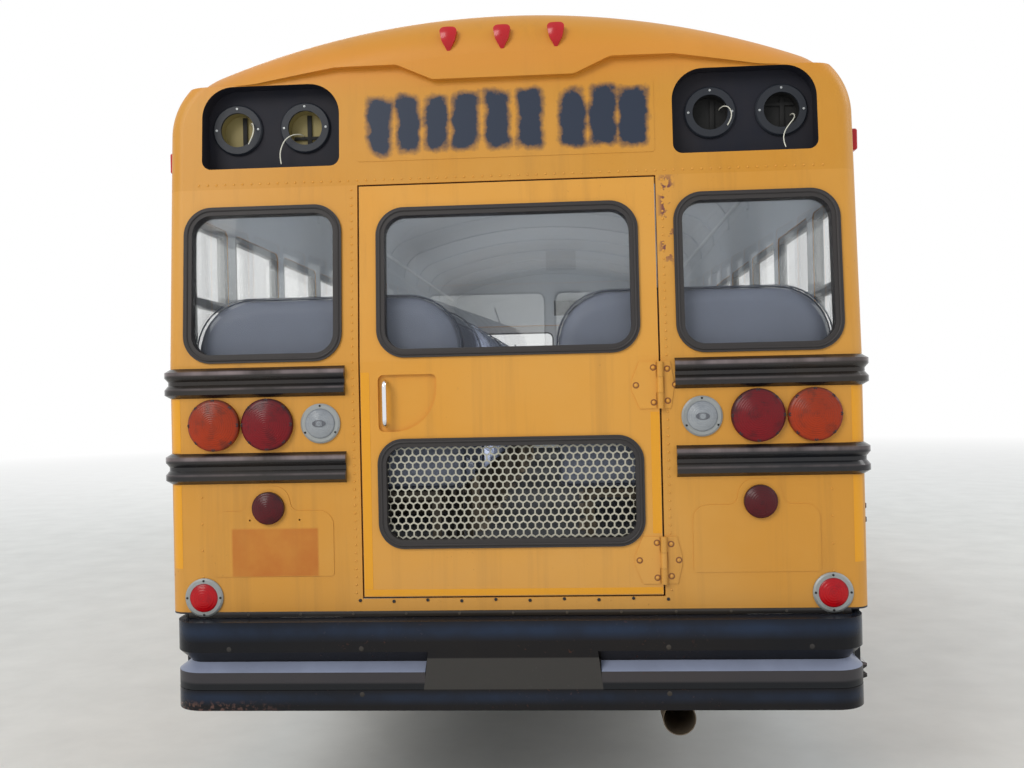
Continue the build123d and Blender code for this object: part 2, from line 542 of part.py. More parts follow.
def arch(grow, x0, x1):
    """The rear wheel arch's opening, grown all round."""
    half, top = ARCH_HALF + grow, ARCH_TOP + grow
    outline = [(REAR_AXLE_Y - half, 0), (REAR_AXLE_Y + half, 0), (REAR_AXLE_Y + half, top), (REAR_AXLE_Y - half, top)]
    return side_slab(outline, [0, 0, ARCH_R + grow, ARCH_R + grow], x0, x1)


def window_hood(y0, y1):
    """The small sloping hood over a side window."""
    foot = WINDOW_HEAD + HOOD_LIP
    wedge = [(HALF - 1, foot), (HALF + HOOD_OUT, foot), (HALF + HOOD_OUT, foot + HOOD_LIP / 2),
             (HALF - 1, foot + HOOD_RISE)]
    return end_slab(wedge, 0, y0 - HOOD_LIP, y1 + HOOD_LIP)


def flutes(end_y):
    """The pressed ribs that run along the side between two rub rails."""
    pitch = (FLUTE_ZONE[1] - FLUTE_ZONE[0]) / FLUTE_COUNT
    half, ribs = FLUTE_WIDTH / 2, []
    for k in range(FLUTE_COUNT):
        z = FLUTE_ZONE[0] + pitch * (k + 0.5)
        rib = [(HALF - 1, z - half), (HALF + FLUTE_PROUD, z - half / 2), (HALF + FLUTE_PROUD, z + half / 2),
               (HALF - 1, z + half)]
        ribs.append(end_slab(rib, 0, REAR_SEAM, end_y))
    return ribs


def side_wall(side):
    """A side wall with its skirt, windows and wheel arch; side is +1 on the door side."""
    wall = box(INNER, HALF, REAR_SEAM, FRONT_SEAM, SKIRT_BOTTOM, EAVE)
    wall = wall - box(INNER - 1, HALF - SKIRT_THICK, REAR_SEAM - 1, FRONT_SEAM + 1, 0, FLOOR_BOTTOM)
    for y0, y1 in WINDOWS:
        wall = wall - side_panel(y0, y1, WINDOW_SILL, WINDOW_HEAD, WINDOW_RADIUS, INNER - 1, HALF + 1)
    flange = arch(ARCH_FLANGE, HALF - 1, HALF + ARCH_PROUD) & box(0, 2 * HALF, REAR_SEAM, FRONT_SEAM, SKIRT_BOTTOM, EAVE)
    wall = fuse([wall, flange] + flutes(SIDE_TRIM_END[side]) + [window_hood(y0, y1) for y0, y1 in WINDOWS])
    wall = wall - arch(0, INNER - 1, HALF + 2 * ARCH_PROUD)
    if side > 0:
        apron = box(HALF - SKIRT_THICK, HALF, ENTRY_Y[0] - 60, FRONT_SEAM, ENTRY_SKIRT, SKIRT_BOTTOM + 1)
        wall = wall + apron - box(INNER - 1, HALF + 1, *ENTRY_Y, ENTRY_SKIRT - 1, ENTRY_Z[1])
        return wall
    wall = wall - side_panel(*DRIVER_WINDOW_Y, DRIVER_WINDOW_SILL, WINDOW_HEAD, WINDOW_RADIUS, INNER - 1, HALF + 1)
    return mirrored(wall + window_hood(*DRIVER_WINDOW_Y))


def sash(y0, y1, z0, z1, bar_z):
    """A window sash with a bar across it, set in the thickness of the wall, and its two panes."""
    x0 = (HALF + INNER - SASH_DEPTH) / 2
    x1 = x0 + SASH_DEPTH
    ring = side_panel(y0 + FIT, y1 - FIT, z0 + FIT, z1 - FIT, WINDOW_RADIUS, x0, x1)
    lights = ((z0 + SASH_WIDTH, bar_z - SASH_BAR / 2), (bar_z + SASH_BAR / 2, z1 - SASH_WIDTH))
    panes = []
    for low, high in lights:
        ring = ring - box(x0 - 1, x1 + 1, y0 + SASH_WIDTH, y1 - SASH_WIDTH, low, high)
        x_mid = (x0 + x1) / 2
        panes.append(box(x_mid - GLASS / 2, x_mid + GLASS / 2, y0 + SASH_WIDTH + FIT, y1 - SASH_WIDTH - FIT,
                         low + FIT, high - FIT))
    return ring, panes


right_wall, left_wall = side_wall(1), side_wall(-1)
sashes, side_panes = [], []
for y0, y1 in WINDOWS:
    ring, panes = sash(y0, y1, WINDOW_SILL, WINDOW_HEAD, SASH_MID_Z)
    sashes += pair(ring)
    for light in panes:
        side_panes += pair(light)
ring, panes = sash(*DRIVER_WINDOW_Y, DRIVER_WINDOW_SILL, WINDOW_HEAD, SASH_MID_Z)
sashes.append(mirrored(ring))
side_panes += [mirrored(light) for light in panes]
keep("window_sashes", sashes)

# Entry door: two leaves that swing out from the front and rear jambs
ENTRY_HINGE_Z = (560.0, 1250.0, 2050.0)
ENTRY_HINGE_HEIGHT, ENTRY_STRAP = 120.0, 60.0
ENTRY_HINGE_X = HALF + HINGE_KNUCKLE
entry_mid = (ENTRY_Y[0] + ENTRY_Y[1]) / 2
LEAF_LIGHTS = ((560.0, 1080.0), (1180.0, 2230.0))
LEAF_STILE, LEAF_LIGHT_R = 55.0, 25.0


def entry_leaf(front):
    """One leaf with its glass and the body's halves of its hinges. front is 1 or -1."""
    edge = ENTRY_Y[1] - ENTRY_GAP if front > 0 else ENTRY_Y[0] + ENTRY_GAP
    y0, y1 = sorted((edge, entry_mid + front * ENTRY_MEET / 2))
    leaf = box(HALF - ENTRY_THICK, HALF, y0, y1, ENTRY_Z[0] + 10, ENTRY_Z[1] - ENTRY_GAP)
    panes = []
    for low, high in LEAF_LIGHTS:
        light = (y0 + LEAF_STILE, y1 - LEAF_STILE, low, high)
        leaf = leaf - side_panel(*light, LEAF_LIGHT_R, HALF - ENTRY_THICK - 1, HALF + 1)
        mid = HALF - ENTRY_THICK / 2
        panes.append(side_panel(light[0] + FIT, light[1] - FIT, low + FIT, high - FIT, LEAF_LIGHT_R,
                                mid - GLASS / 2, mid + GLASS / 2))
    axis_y = (ENTRY_Y[1] if front > 0 else ENTRY_Y[0]) - front * ENTRY_GAP / 2
    straps = []
    for z in ENTRY_HINGE_Z:
        fixed, moving = hinge(ENTRY_HINGE_HEIGHT, 40.0, ENTRY_STRAP)
        turn = Rot(0, 0, 90)
        fixed, moving = turn * fixed, turn * moving
        if front < 0:
            fixed, moving = mirror(fixed, about=Plane.XZ), mirror(moving, about=Plane.XZ)
        place = Pos(ENTRY_HINGE_X, axis_y, z - ENTRY_HINGE_HEIGHT / 2)
        leaf = leaf + place * moving
        straps.append(place * fixed)
    return leaf, panes, straps


for name, front in (("front", 1), ("rear", -1)):
    leaf, panes, straps = entry_leaf(front)
    keep("entry_leaf_" + name, leaf)
    keep("entry_glass_" + name, panes)
    right_wall = fuse([right_wall] + straps)

# Stop arm on the left wall, folded back flat
STOP_Y, STOP_Z, STOP_FLAT, STOP_THICK, STOP_REACH = 2500.0, 1592.0, 457.0, 8.0, 60.0
STOP_OFF = 45.0
STOP_HINGE_HEIGHT = 150.0
stop_hub = rod((-HALF - STOP_OFF, STOP_Y, STOP_Z - STOP_HINGE_HEIGHT / 2), (0, 0, 1), 16.0, STOP_HINGE_HEIGHT)
stop_bore = rod((-HALF - STOP_OFF, STOP_Y, STOP_Z - 200), (0, 0, 1), 8.0 + HINGE_PLAY, 400.0)
sign_y = STOP_Y - STOP_REACH - STOP_FLAT / 2
sign = Plane(origin=(-HALF - STOP_OFF, sign_y, STOP_Z), z_dir=(1, 0, 0), x_dir=(0, 1, 0)) * extrude(
    RegularPolygon(STOP_FLAT / 2, 8, major_radius=False, rotation=22.5), amount=STOP_THICK / 2, both=True)
arm = box(-HALF - STOP_OFF - STOP_THICK / 2, -HALF - STOP_OFF + STOP_THICK / 2, STOP_Y - STOP_REACH - 20,
          STOP_Y, STOP_Z - 40, STOP_Z + 40)
keep("stop_arm", stop_hub + arm + sign - stop_bore)
stop_pin = rod((-HALF - STOP_OFF, STOP_Y, STOP_Z - STOP_HINGE_HEIGHT / 2 - 20), (0, 0, 1), 8.0,
               STOP_HINGE_HEIGHT + 40)
for z in (STOP_Z - STOP_HINGE_HEIGHT / 2 - 20, STOP_Z + STOP_HINGE_HEIGHT / 2 + 4):
    left_wall = left_wall + box(-HALF - STOP_OFF - 16, -HALF + 1, STOP_Y - 16, STOP_Y + 16, z, z + 16)
left_wall = left_wall + stop_pin
keep("left_wall", left_wall)
keep("right_wall", right_wall)

# Floor with cross beams, wheelhouses and stepwell
floor_plan = [(-INNER, REAR_Y + WALL), (INNER, REAR_Y + WALL), (INNER, FRONT_WALL_Y - WALL),
              (-INNER, FRONT_WALL_Y - WALL)]
floor = plan_slab(floor_plan, CORNER_RADIUS - WALL, FLOOR_BOTTOM, FLOOR_TOP)
BEAM_HALF = 30.0
beam_ys = [REAR_Y + FIRST_PILLAR + PILLAR_PITCH * k for k in range(WINDOW_COUNT + 2)]
clear_of_wheels = [y for y in beam_ys if abs(y - REAR_AXLE_Y) > ARCH_HALF + BEAM_HALF + WHEELHOUSE_SKIN]
for y in clear_of_wheels:
    right = min(INNER, STEPS[0][0] - WHEELHOUSE_SKIN) if y > ENTRY_Y[0] - 60 else INNER
    floor = floor + box(-INNER, right, y - BEAM_HALF, y + BEAM_HALF, RAIL_TOP, FLOOR_BOTTOM + 1)
for side in (-1, 1):
    x0, x1 = sorted((side * WHEELHOUSE_IN, side * INNER))
    outer = box(x0, x1, REAR_AXLE_Y - ARCH_HALF, REAR_AXLE_Y + ARCH_HALF, FLOOR_BOTTOM, WHEELHOUSE_HIGH)
    xi0, xi1 = sorted((side * (WHEELHOUSE_IN + WHEELHOUSE_SKIN), side * (INNER + 1)))
    inner = box(xi0, xi1, REAR_AXLE_Y - ARCH_HALF + WHEELHOUSE_SKIN, REAR_AXLE_Y + ARCH_HALF - WHEELHOUSE_SKIN,
                FLOOR_BOTTOM - 1, WHEELHOUSE_HIGH - WHEELHOUSE_SKIN)
    floor = floor + outer - inner


def stairs(shrink):
    """The stepwell's outline from the side of the bus; shrink moves it in by the skin."""
    points = [(INNER, FLOOR_TOP + 1), (STEPS[0][0] + shrink, FLOOR_TOP + 1)]
    for i, (x, z) in enumerate(STEPS):
        points.append((x + shrink, z + shrink))
        next_x = STEPS[i + 1][0] if i + 1 < len(STEPS) else INNER - shrink
        points.append((next_x + shrink, z + shrink))
    return points


well = end_slab(stairs(-WHEELHOUSE_SKIN), 0, ENTRY_Y[0] - WHEELHOUSE_SKIN, ENTRY_Y[1] + WHEELHOUSE_SKIN)
well_space = end_slab(stairs(0), 0, *ENTRY_Y)
well = well & box(0, INNER, REAR_Y, FRONT_WALL_Y, 0, FLOOR_TOP)
floor = floor + well - well_space - box(STEPS[0][0], INNER + 1, *ENTRY_Y, STEPS[0][1], FLOOR_TOP + 1)
keep("floor", floor)

# Front wall with the windscreen opening; the frame and gearbox pass below it
COWL_OPEN = 640.0
front_outer = end_body(0, SKIRT_BOTTOM, EAVE, 230.0, FRONT_BELT, FRONT_LEAN)
front_inner = end_body(WALL, SKIRT_BOTTOM - 1, EAVE + 1, 231.0, FRONT_BELT, FRONT_LEAN)
SCREEN_HALF, SCREEN_Z, SCREEN_R, SCREEN_POST = 1120.0, (1660.0, 2390.0), 90.0, 25.0


def front_tilt(shape):
    leaned = Pos(0, 0, FRONT_BELT) * Rot(-FRONT_LEAN, 0, 0) * Pos(0, 0, -FRONT_BELT) * shape
    return at_front(leaned)


front_wall = at_front(front_outer - front_inner)
front_wall = front_wall - box(-COWL_OPEN, COWL_OPEN, FRONT_WALL_Y - 300, FRONT_WALL_Y + 1, 0, FLOOR_BOTTOM)
screens = ((SCREEN_POST, SCREEN_HALF), (-SCREEN_HALF, -SCREEN_POST))
for x0, x1 in screens:
    front_wall = front_wall - front_tilt(hole_in(x0, x1, *SCREEN_Z, SCREEN_R))
keep("front_wall", front_wall)
body_gaskets += [front_tilt(gasket(x0, x1, *SCREEN_Z, SCREEN_R)) for x0, x1 in screens]
body_glass += [front_tilt(pane(x0, x1, *SCREEN_Z, SCREEN_R)) for x0, x1 in screens]
keep("body_gaskets", body_gaskets)
keep("body_glass", body_glass, side_panes)


# Rub rails: a two-ridge section swept along the side and round the rear corner

def rail_section(z0, z1):
    """The rail's two ridges as (distance from the wall, height) points."""
    h = z1 - z0
    return [(0, z0), (RAIL_PROUD, z0 + 0.12 * h), (RAIL_PROUD, z0 + 0.30 * h), (RAIL_VALLEY, z0 + 0.44 * h),
            (RAIL_VALLEY, z0 + 0.56 * h), (RAIL_PROUD, z0 + 0.70 * h), (RAIL_PROUD, z0 + 0.88 * h), (0, z1)]


def rub_rail(side, z0, z1, end_y):
    plan_r = CORNER_RADIUS
    line = Line((side * RAIL_INNER_X, REAR_Y, z0), (side * (HALF - plan_r), REAR_Y, z0))
    mid = plan_r * cos(pi / 4)
    bend = ThreePointArc((side * (HALF - plan_r), REAR_Y, z0),
                         (side * (HALF - plan_r + mid), REAR_Y + plan_r - mid, z0),
                         (side * HALF, REAR_Y + plan_r, z0))
    along = Line((side * HALF, REAR_Y + plan_r, z0), (side * HALF, end_y, z0))
    section = Polyline([(side * RAIL_INNER_X, REAR_Y - d, z) for d, z in rail_section(z0, z1)], close=True)
    return sweep(make_face(section), path=Wire([line.edge(), bend.edge(), along.edge()]))


rails = []
arch_y0, arch_y1 = (REAR_AXLE_Y + s * (ARCH_HALF + ARCH_FLANGE + FIT) for s in (-1, 1))
for side in (1, -1):
    end_y = SIDE_TRIM_END[side]
    rails += [rub_rail(side, z0, z1, end_y) for z0, z1 in RUB_RAILS]
    for (z0, z1), y0, y1 in ((FLOOR_RAIL, REAR_Y + 2 * CORNER_RADIUS, end_y), (SKIRT_RAIL, REAR_SEAM, arch_y0),
                             (SKIRT_RAIL, arch_y1, end_y)):
        straight = [(HALF + d, z) for d, z in rail_section(z0, z1)]
        rail = end_slab(straight, 0, y0, y1)
        rails.append(rail if side > 0 else mirrored(rail))
keep("rub_rails", rails)


# Lamps on the rear wall

def lens(x, z, radius, depth, seat):
    """A round lens: a short drum with a shallow dome, facing the rear from its seat off the wall."""
    drum = depth * 0.45
    rise = depth - drum
    ball = (radius**2 + rise**2) / (2 * rise)
    half = atan2(radius, ball - rise) / 2
    profile = Polyline((0, 0, 0), (radius, 0, 0), (radius, 0, drum))
    crown = ThreePointArc((radius, 0, drum), (ball * sin(half), 0, depth - ball + ball * cos(half)), (0, 0, depth))
    close = Line((0, 0, depth), (0, 0, 0))
    turned = revolve(make_face(profile + crown + close), axis=Axis.Z)
    return Plane(origin=(x, REAR_Y - seat, z), z_dir=(0, -1, 0)) * turned


def bezel(x, z, radius):
    ring = [(radius + FIT, 0), (radius + BEZEL_GROW, 0), (radius + BEZEL_GROW, BEZEL_DEPTH - 4),
            (radius + BEZEL_GROW - 6, BEZEL_DEPTH), (radius + FIT, BEZEL_DEPTH)]
    return spin(ring, (x, REAR_Y, z), (0, -1, 0))


def lens_set(rows, seat=0.0):
    return [lens(side * x, z, r, d, seat) for x, z, r, d in rows for side in (-1, 1)]


keep("amber_lamps", lens_set(AMBER_LAMPS))
keep("red_lamps", lens_set(RED_LAMPS), lens_set(STOP_LAMPS, PRESS_PROUD))
keep("clear_lamps", lens_set(CLEAR_LAMPS))
bezel_rows = RED_LAMPS[1:] + CLEAR_LAMPS
keep("lamp_bezels", [bezel(side * x, z, r) for x, z, r, d in bezel_rows for side in (-1, 1)])


# Rear bumper: a ribbed channel swept round both corners, with a flush pad in the middle

def bumper_section(skin):
    """Half-open section as (distance from the face, height) points, outside or inside the skin."""
    top, rib, channel, low = BUMPER_TOP, BUMPER_RIB, BUMPER_CHANNEL, BUMPER_BOTTOM
    return [(BUMPER_BACK, top - skin), (skin, top - skin), (skin, rib + skin * 0.4),
            (BUMPER_RECESS + skin, rib - 40 + skin * 0.4), (BUMPER_RECESS + skin, channel - skin * 0.4),
            (skin, channel - 20 - skin * 0.4), (skin, low + skin), (BUMPER_BACK, low + skin)]


BUMPER_BACK = FRAME_REAR_REACH + 4.0
outer_points, inner_points = bumper_section(0), bumper_section(BUMPER_SKIN)
section = [(0.0, BUMPER_FACE + d, z) for d, z in outer_points + inner_points[::-1]]
half_path = [Line((0, BUMPER_FACE, BUMPER_BOTTOM), (BUMPER_HALF - BUMPER_CORNER, BUMPER_FACE, BUMPER_BOTTOM))]
swing = BUMPER_CORNER * cos(pi / 4)
half_path.append(ThreePointArc(
    (BUMPER_HALF - BUMPER_CORNER, BUMPER_FACE, BUMPER_BOTTOM),
    (BUMPER_HALF - BUMPER_CORNER + swing, BUMPER_FACE + BUMPER_CORNER - swing, BUMPER_BOTTOM),
    (BUMPER_HALF, BUMPER_FACE + BUMPER_CORNER, BUMPER_BOTTOM)))
half_path.append(Line((BUMPER_HALF, BUMPER_FACE + BUMPER_CORNER, BUMPER_BOTTOM),
                      (BUMPER_HALF, BUMPER_FACE + BUMPER_RETURN, BUMPER_BOTTOM)))
half_bumper = sweep(make_face(Polyline(section, close=True)), path=Wire([e.edge() for e in half_path]))
pad_points = [(-BUMPER_PAD_BOTTOM, BUMPER_BOTTOM + 30), (BUMPER_PAD_BOTTOM, BUMPER_BOTTOM + 30),
              (BUMPER_PAD_TOP, BUMPER_TOP - 30), (-BUMPER_PAD_TOP, BUMPER_TOP - 30)]
pad = end_slab(pad_points, 12, BUMPER_FACE, BUMPER_FACE + BUMPER_RECESS + BUMPER_SKIN)
keep("rear_bumper", fuse([half_bumper, mirrored(half_bumper), pad]))

# Front bumper: a channel that is swept back at both ends
BUMPER_SWEEP_X, BUMPER_SWEEP_Y, BUMPER_END_Y = 260.0, 120.0, 330.0


def bumper_plan(shift):
    """The front bumper's plan, moved in by a distance."""
    half, front = BUMPER_HALF - shift, FRONT_FACE - shift
    tail = FRONT_FACE - BUMPER_END_Y - (1 if shift else 0)
    return [(-half, tail), (-half, front - BUMPER_SWEEP_Y), (-half + BUMPER_SWEEP_X, front),
            (half - BUMPER_SWEEP_X, front), (half, front - BUMPER_SWEEP_Y), (half, tail)]


FRONT_SKIN, FRONT_FLANGE = 12.0, 70.0
bends = [0, 90, 120, 120, 90, 0]
front_bumper = plan_slab(bumper_plan(0), bends, FRONT_BUMPER_BOTTOM, FRONT_BUMPER_TOP)
front_bumper = front_bumper - plan_slab(bumper_plan(FRONT_SKIN), bends, FRONT_BUMPER_BOTTOM + FRONT_SKIN,
                                        FRONT_BUMPER_TOP - FRONT_SKIN)
front_bumper = front_bumper - plan_slab(bumper_plan(FRONT_FLANGE), bends, FRONT_BUMPER_BOTTOM - 1,
                                        FRONT_BUMPER_TOP + 1)
keep("front_bumper", front_bumper)

# Chassis frame: two channel rails, cross members, bumper brackets and tow eyes
FRAME_REAR_END = REAR_Y + 4.0
FRAME_FRONT_END = CROSSMEMBERS[-1] + CROSS_WIDTH / 2 + 10
w, d, t = RAIL_FLANGE, RAIL_DEEP, RAIL_WEB
channel = [(0, 0), (0, -d), (-w, -d), (-w, -d + t), (-t, -d + t), (-t, -t), (-w, -t), (-w, 0)]
rail = end_slab([(RAIL_X + x, RAIL_TOP + z) for x, z in channel], 0, FRAME_REAR_END, FRAME_FRONT_END)
frame_pieces = pair(rail)
for y in CROSSMEMBERS:
    frame_pieces.append(box(-RAIL_X + t / 2, RAIL_X - t / 2, y - CROSS_WIDTH / 2, y + CROSS_WIDTH / 2,
                            RAIL_TOP - t - CROSS_DEEP, RAIL_TOP - t + 1))
chassis = fuse(frame_pieces)
HORN_Z = (560.0, 750.0)
front_horn = box(RAIL_X - 60, RAIL_X, FRAME_FRONT_END - 60, FRONT_FACE - FRONT_SKIN, *HORN_Z)
rear_horn = box(RAIL_X - 60, RAIL_X, BUMPER_FACE + BUMPER_RECESS + BUMPER_SKIN, FRAME_REAR_END + 1,
                BUMPER_CHANNEL, BUMPER_RIB - 45)
TOW_Y, TOW_Z, TOW_R, TOW_PLATE, TOW_HALF = FRAME_FRONT_END - 90.0, 560.0, 20.0, 25.0, 50.0
tow_eye = side_panel(TOW_Y - TOW_HALF, TOW_Y + TOW_HALF, TOW_Z - TOW_HALF, RAIL_BOTTOM + 120, 40,
                     RAIL_X, RAIL_X + TOW_PLATE)
for piece in (front_horn, rear_horn, tow_eye):
    chassis = fuse([chassis] + pair(piece))
for side in (-1, 1):
    chassis = chassis - rod((side * (RAIL_X - 1), TOW_Y, TOW_Z), (side, 0, 0), TOW_R, TOW_PLATE + 2)

# The hood turns on two pins, each held between a pair of ears that stand on the frame horns
LUG_X, LUG_THICK, LUG_R, LUG_PLAY = 390.0, 20.0, 22.0, 3.0
HOOD_PIN_R = 12.0
for side in (-1, 1):
    for shift in (-1, 1):
        ear_x = side * LUG_X + shift * (LUG_THICK + LUG_PLAY)
        ear = box(ear_x - LUG_THICK / 2, ear_x + LUG_THICK / 2, HINGE_Y - LUG_R, HINGE_Y + LUG_R,
                  HORN_Z[1] - 1, HINGE_Z)
        ear = ear + rod((ear_x - LUG_THICK / 2, HINGE_Y, HINGE_Z), (1, 0, 0), LUG_R, LUG_THICK)
        chassis = chassis + ear
    pin_half = 1.5 * LUG_THICK + LUG_PLAY
    chassis = chassis + rod((side * LUG_X - pin_half, HINGE_Y, HINGE_Z), (1, 0, 0), HOOD_PIN_R, 2 * pin_half)
keep("chassis_frame", chassis)

# Leaf springs, engine, drive line, tank and exhaust
AXLE_Z = TYRE_R
SPRING_EYE, SPRING_EYE_R, SPRING_TIP = RAIL_BOTTOM - 27.0, 22.0, 26.0


def leaf_spring(x, y, half, axle_top):
    """A bow of leaves, high at both ends and resting on the axle in the middle."""
    rise = SPRING_EYE - SPRING_TIP / 2 - axle_top
    low = ThreePointArc((x, y - half, axle_top + rise), (x, y, axle_top), (x, y + half, axle_top + rise))
    high = ThreePointArc((x, y + half, axle_top + rise + SPRING_TIP), (x, y, axle_top + SPRING_THICK),
                         (x, y - half, axle_top + rise + SPRING_TIP))
    ends = [Line(low @ 1, high @ 0), Line(high @ 1, low @ 0)]
    face = make_face(low + ends[0] + high + ends[1])
    spring = extrude(face, amount=SPRING_WIDTH / 2, dir=(1, 0, 0)) + extrude(
        face, amount=SPRING_WIDTH / 2, dir=(-1, 0, 0))
    for end in (-1, 1):
        z = SPRING_EYE
        spring = spring + rod((x - SPRING_WIDTH / 2, y + end * half, z), (1, 0, 0), SPRING_EYE_R, SPRING_WIDTH)
        hanger = box(x - SPRING_WIDTH / 2, x + SPRING_WIDTH / 2, y + end * half - 25, y + end * half + 25, z,
                     RAIL_BOTTOM)
        spring = spring + hanger
    return spring


REAR_TUBE_R, REAR_SEAT = 54.0, 55.0
BEAM_HIGH, BEAM_WIDE, BEAM_DROP = 100.0, 110.0, 60.0
rear_axle_top = AXLE_Z + REAR_SEAT
front_axle_top = AXLE_Z - BEAM_DROP + BEAM_HIGH / 2
springs = []
for x in (-SPRING_X + SPRING_WIDTH / 2, SPRING_X - SPRING_WIDTH / 2):
    springs.append(leaf_spring(x, REAR_AXLE_Y, SPRING_REAR_HALF, rear_axle_top))
    springs.append(leaf_spring(x, FRONT_AXLE_Y, SPRING_FRONT_HALF, front_axle_top))
keep("leaf_springs", springs)

# Rear axle: tube, differential housing, spring seats and the spindles that the hubs turn on
HUB_INNER_X = DUAL_INNER - TYRE_WIDTH / 2 + 20.0
axle = rod((-HUB_INNER_X + 20, REAR_AXLE_Y, AXLE_Z), (1, 0, 0), REAR_TUBE_R, 2 * HUB_INNER_X - 40)
bowl = Pos(0, REAR_AXLE_Y, AXLE_Z) * Sphere(200)
bowl = bowl & box(-150, 150, REAR_AXLE_Y - 300, REAR_AXLE_Y + 300, 0, 2 * AXLE_Z)
nose = rod((0, REAR_AXLE_Y, AXLE_Z + 20), (0, 1, 0), 80, 330)
axle = fuse([axle, bowl, nose])
for x in (-SPRING_X + SPRING_WIDTH / 2, SPRING_X - SPRING_WIDTH / 2):
    axle = axle + box(x - SPRING_WIDTH / 2, x + SPRING_WIDTH / 2, REAR_AXLE_Y - 90, REAR_AXLE_Y + 90,
                      AXLE_Z - 30, rear_axle_top)
SPINDLE_END = DUAL_OUTER + 40.0
for side in (-1, 1):
    axle = axle + rod((side * (HUB_INNER_X - 30), REAR_AXLE_Y, AXLE_Z), (side, 0, 0), SPINDLE_R,
                      SPINDLE_END - HUB_INNER_X + 30)
keep("rear_axle", axle)

# Front axle: a dropped beam with an eye at each end for the kingpin
EYE_R, EYE_HIGH, YOKE_GAP, YOKE_THICK = 48.0, 100.0, 6.0, 34.0
DROP_X, RISE_X, BEAM_FLANGE = 560.0, 700.0, 22.0
beam_top, beam_low = front_axle_top, front_axle_top - BEAM_HIGH
eye_low, eye_top = AXLE_Z - EYE_HIGH / 2, AXLE_Z + EYE_HIGH / 2


def beam_outline(end_x, flange):
    """The dropped beam from the front, its top and bottom edges moved in by a flange."""
    right = [(DROP_X, beam_top - flange), (RISE_X, eye_top - flange), (end_x, eye_top - flange)]
    right += [(end_x, eye_low + flange), (RISE_X, eye_low + flange), (DROP_X, beam_low + flange)]
    return right + [(-x, z) for x, z in reversed(right)]


bends = [50, 50, 0, 0, 50, 50, 50, 50, 0, 0, 50, 50]
beam = end_slab(beam_outline(KINGPIN_X, 0), bends, FRONT_AXLE_Y - BEAM_WIDE / 2, FRONT_AXLE_Y + BEAM_WIDE / 2)
waist = beam_outline(KINGPIN_X - EYE_R - 20, BEAM_FLANGE)
for side in (-1, 1):
    y0, y1 = sorted((FRONT_AXLE_Y + side * 14, FRONT_AXLE_Y + side * (BEAM_WIDE / 2 + 1)))
    beam = beam - end_slab(waist, bends, y0, y1)
    beam = beam - box(*sorted((side * KINGPIN_X, side * (KINGPIN_X + 200))), FRONT_AXLE_Y - 100,
                      FRONT_AXLE_Y + 100, 0, 2 * AXLE_Z)
    beam = beam + rod((side * KINGPIN_X, FRONT_AXLE_Y, eye_low), (0, 0, 1), EYE_R, EYE_HIGH)
for side in (-1, 1):
    beam = beam - rod((side * KINGPIN_X, FRONT_AXLE_Y, 0), (0, 0, 1), KINGPIN_R + SPINDLE_FIT, 2 * AXLE_Z)
keep("front_axle", beam)

# Steering knuckles: a yoke round the beam's eye with its kingpin, a spindle and a steering arm
YOKE_BACK = KINGPIN_X + EYE_R + 8.0
TIE_Z = eye_low - YOKE_GAP - YOKE_THICK / 2
TIE_END_X, TIE_Y = KINGPIN_X, FRONT_AXLE_Y - STEER_ARM
TIE_R, TIE_EYE_R, TIE_EYE_HALF, TIE_PIN_R = 19.0, 30.0, 23.0, 12.0
FRONT_SPINDLE_END = FRONT_TRACK_HALF + 130.0


def knuckle():
    low0, high1 = eye_low - YOKE_GAP - YOKE_THICK, eye_top + YOKE_GAP + YOKE_THICK
    ears = []
    for z in (low0, eye_top + YOKE_GAP):
        ears.append(rod((KINGPIN_X, FRONT_AXLE_Y, z), (0, 0, 1), EYE_R, YOKE_THICK))
        ears.append(box(KINGPIN_X, YOKE_BACK + 30, FRONT_AXLE_Y - EYE_R, FRONT_AXLE_Y + EYE_R, z, z + YOKE_THICK))
    back = box(YOKE_BACK, YOKE_BACK + 30, FRONT_AXLE_Y - EYE_R, FRONT_AXLE_Y + EYE_R, low0, high1)
    pin = rod((KINGPIN_X, FRONT_AXLE_Y, low0), (0, 0, 1), KINGPIN_R, high1 - low0)
    spindle = rod((YOKE_BACK + 10, FRONT_AXLE_Y, AXLE_Z), (1, 0, 0), SPINDLE_R, FRONT_SPINDLE_END - YOKE_BACK - 10)
    arm_points = [(KINGPIN_X - 30, FRONT_AXLE_Y), (KINGPIN_X + 30, FRONT_AXLE_Y), (TIE_END_X + 24, TIE_Y),
                  (TIE_END_X - 24, TIE_Y)]
    arm = plan_slab(arm_points, 0, low0, low0 + YOKE_THICK)
    eye = rod((TIE_END_X, TIE_Y, low0), (0, 0, 1), 30, YOKE_THICK)
    bore = rod((TIE_END_X, TIE_Y, 0), (0, 0, 1), TIE_PIN_R + SPINDLE_FIT, 2 * AXLE_Z)
    return fuse(ears + [back, pin, spindle, arm, eye]) - bore


right_knuckle = knuckle()
keep("knuckle_right", right_knuckle)
keep("knuckle_left", mirrored(right_knuckle))

# Tie rod below the arms. Its right pin has play, where the real linkage closes.
TIE_LOW = eye_low - YOKE_GAP - YOKE_THICK - 34.0
TIE_PLAY = 1.0
tie = rod((-TIE_END_X, TIE_Y, TIE_LOW), (1, 0, 0), TIE_R, 2 * TIE_END_X)
for side, radius in ((-1, TIE_PIN_R), (1, TIE_PIN_R - TIE_PLAY)):
    tie = tie + rod((side * TIE_END_X, TIE_Y, TIE_LOW - TIE_EYE_HALF), (0, 0, 1), TIE_EYE_R, 2 * TIE_EYE_HALF)
    tie = tie + rod((side * TIE_END_X, TIE_Y, TIE_LOW), (0, 0, 1), radius, 34.0 + YOKE_THICK)
keep("tie_rod", tie)


# Wheels

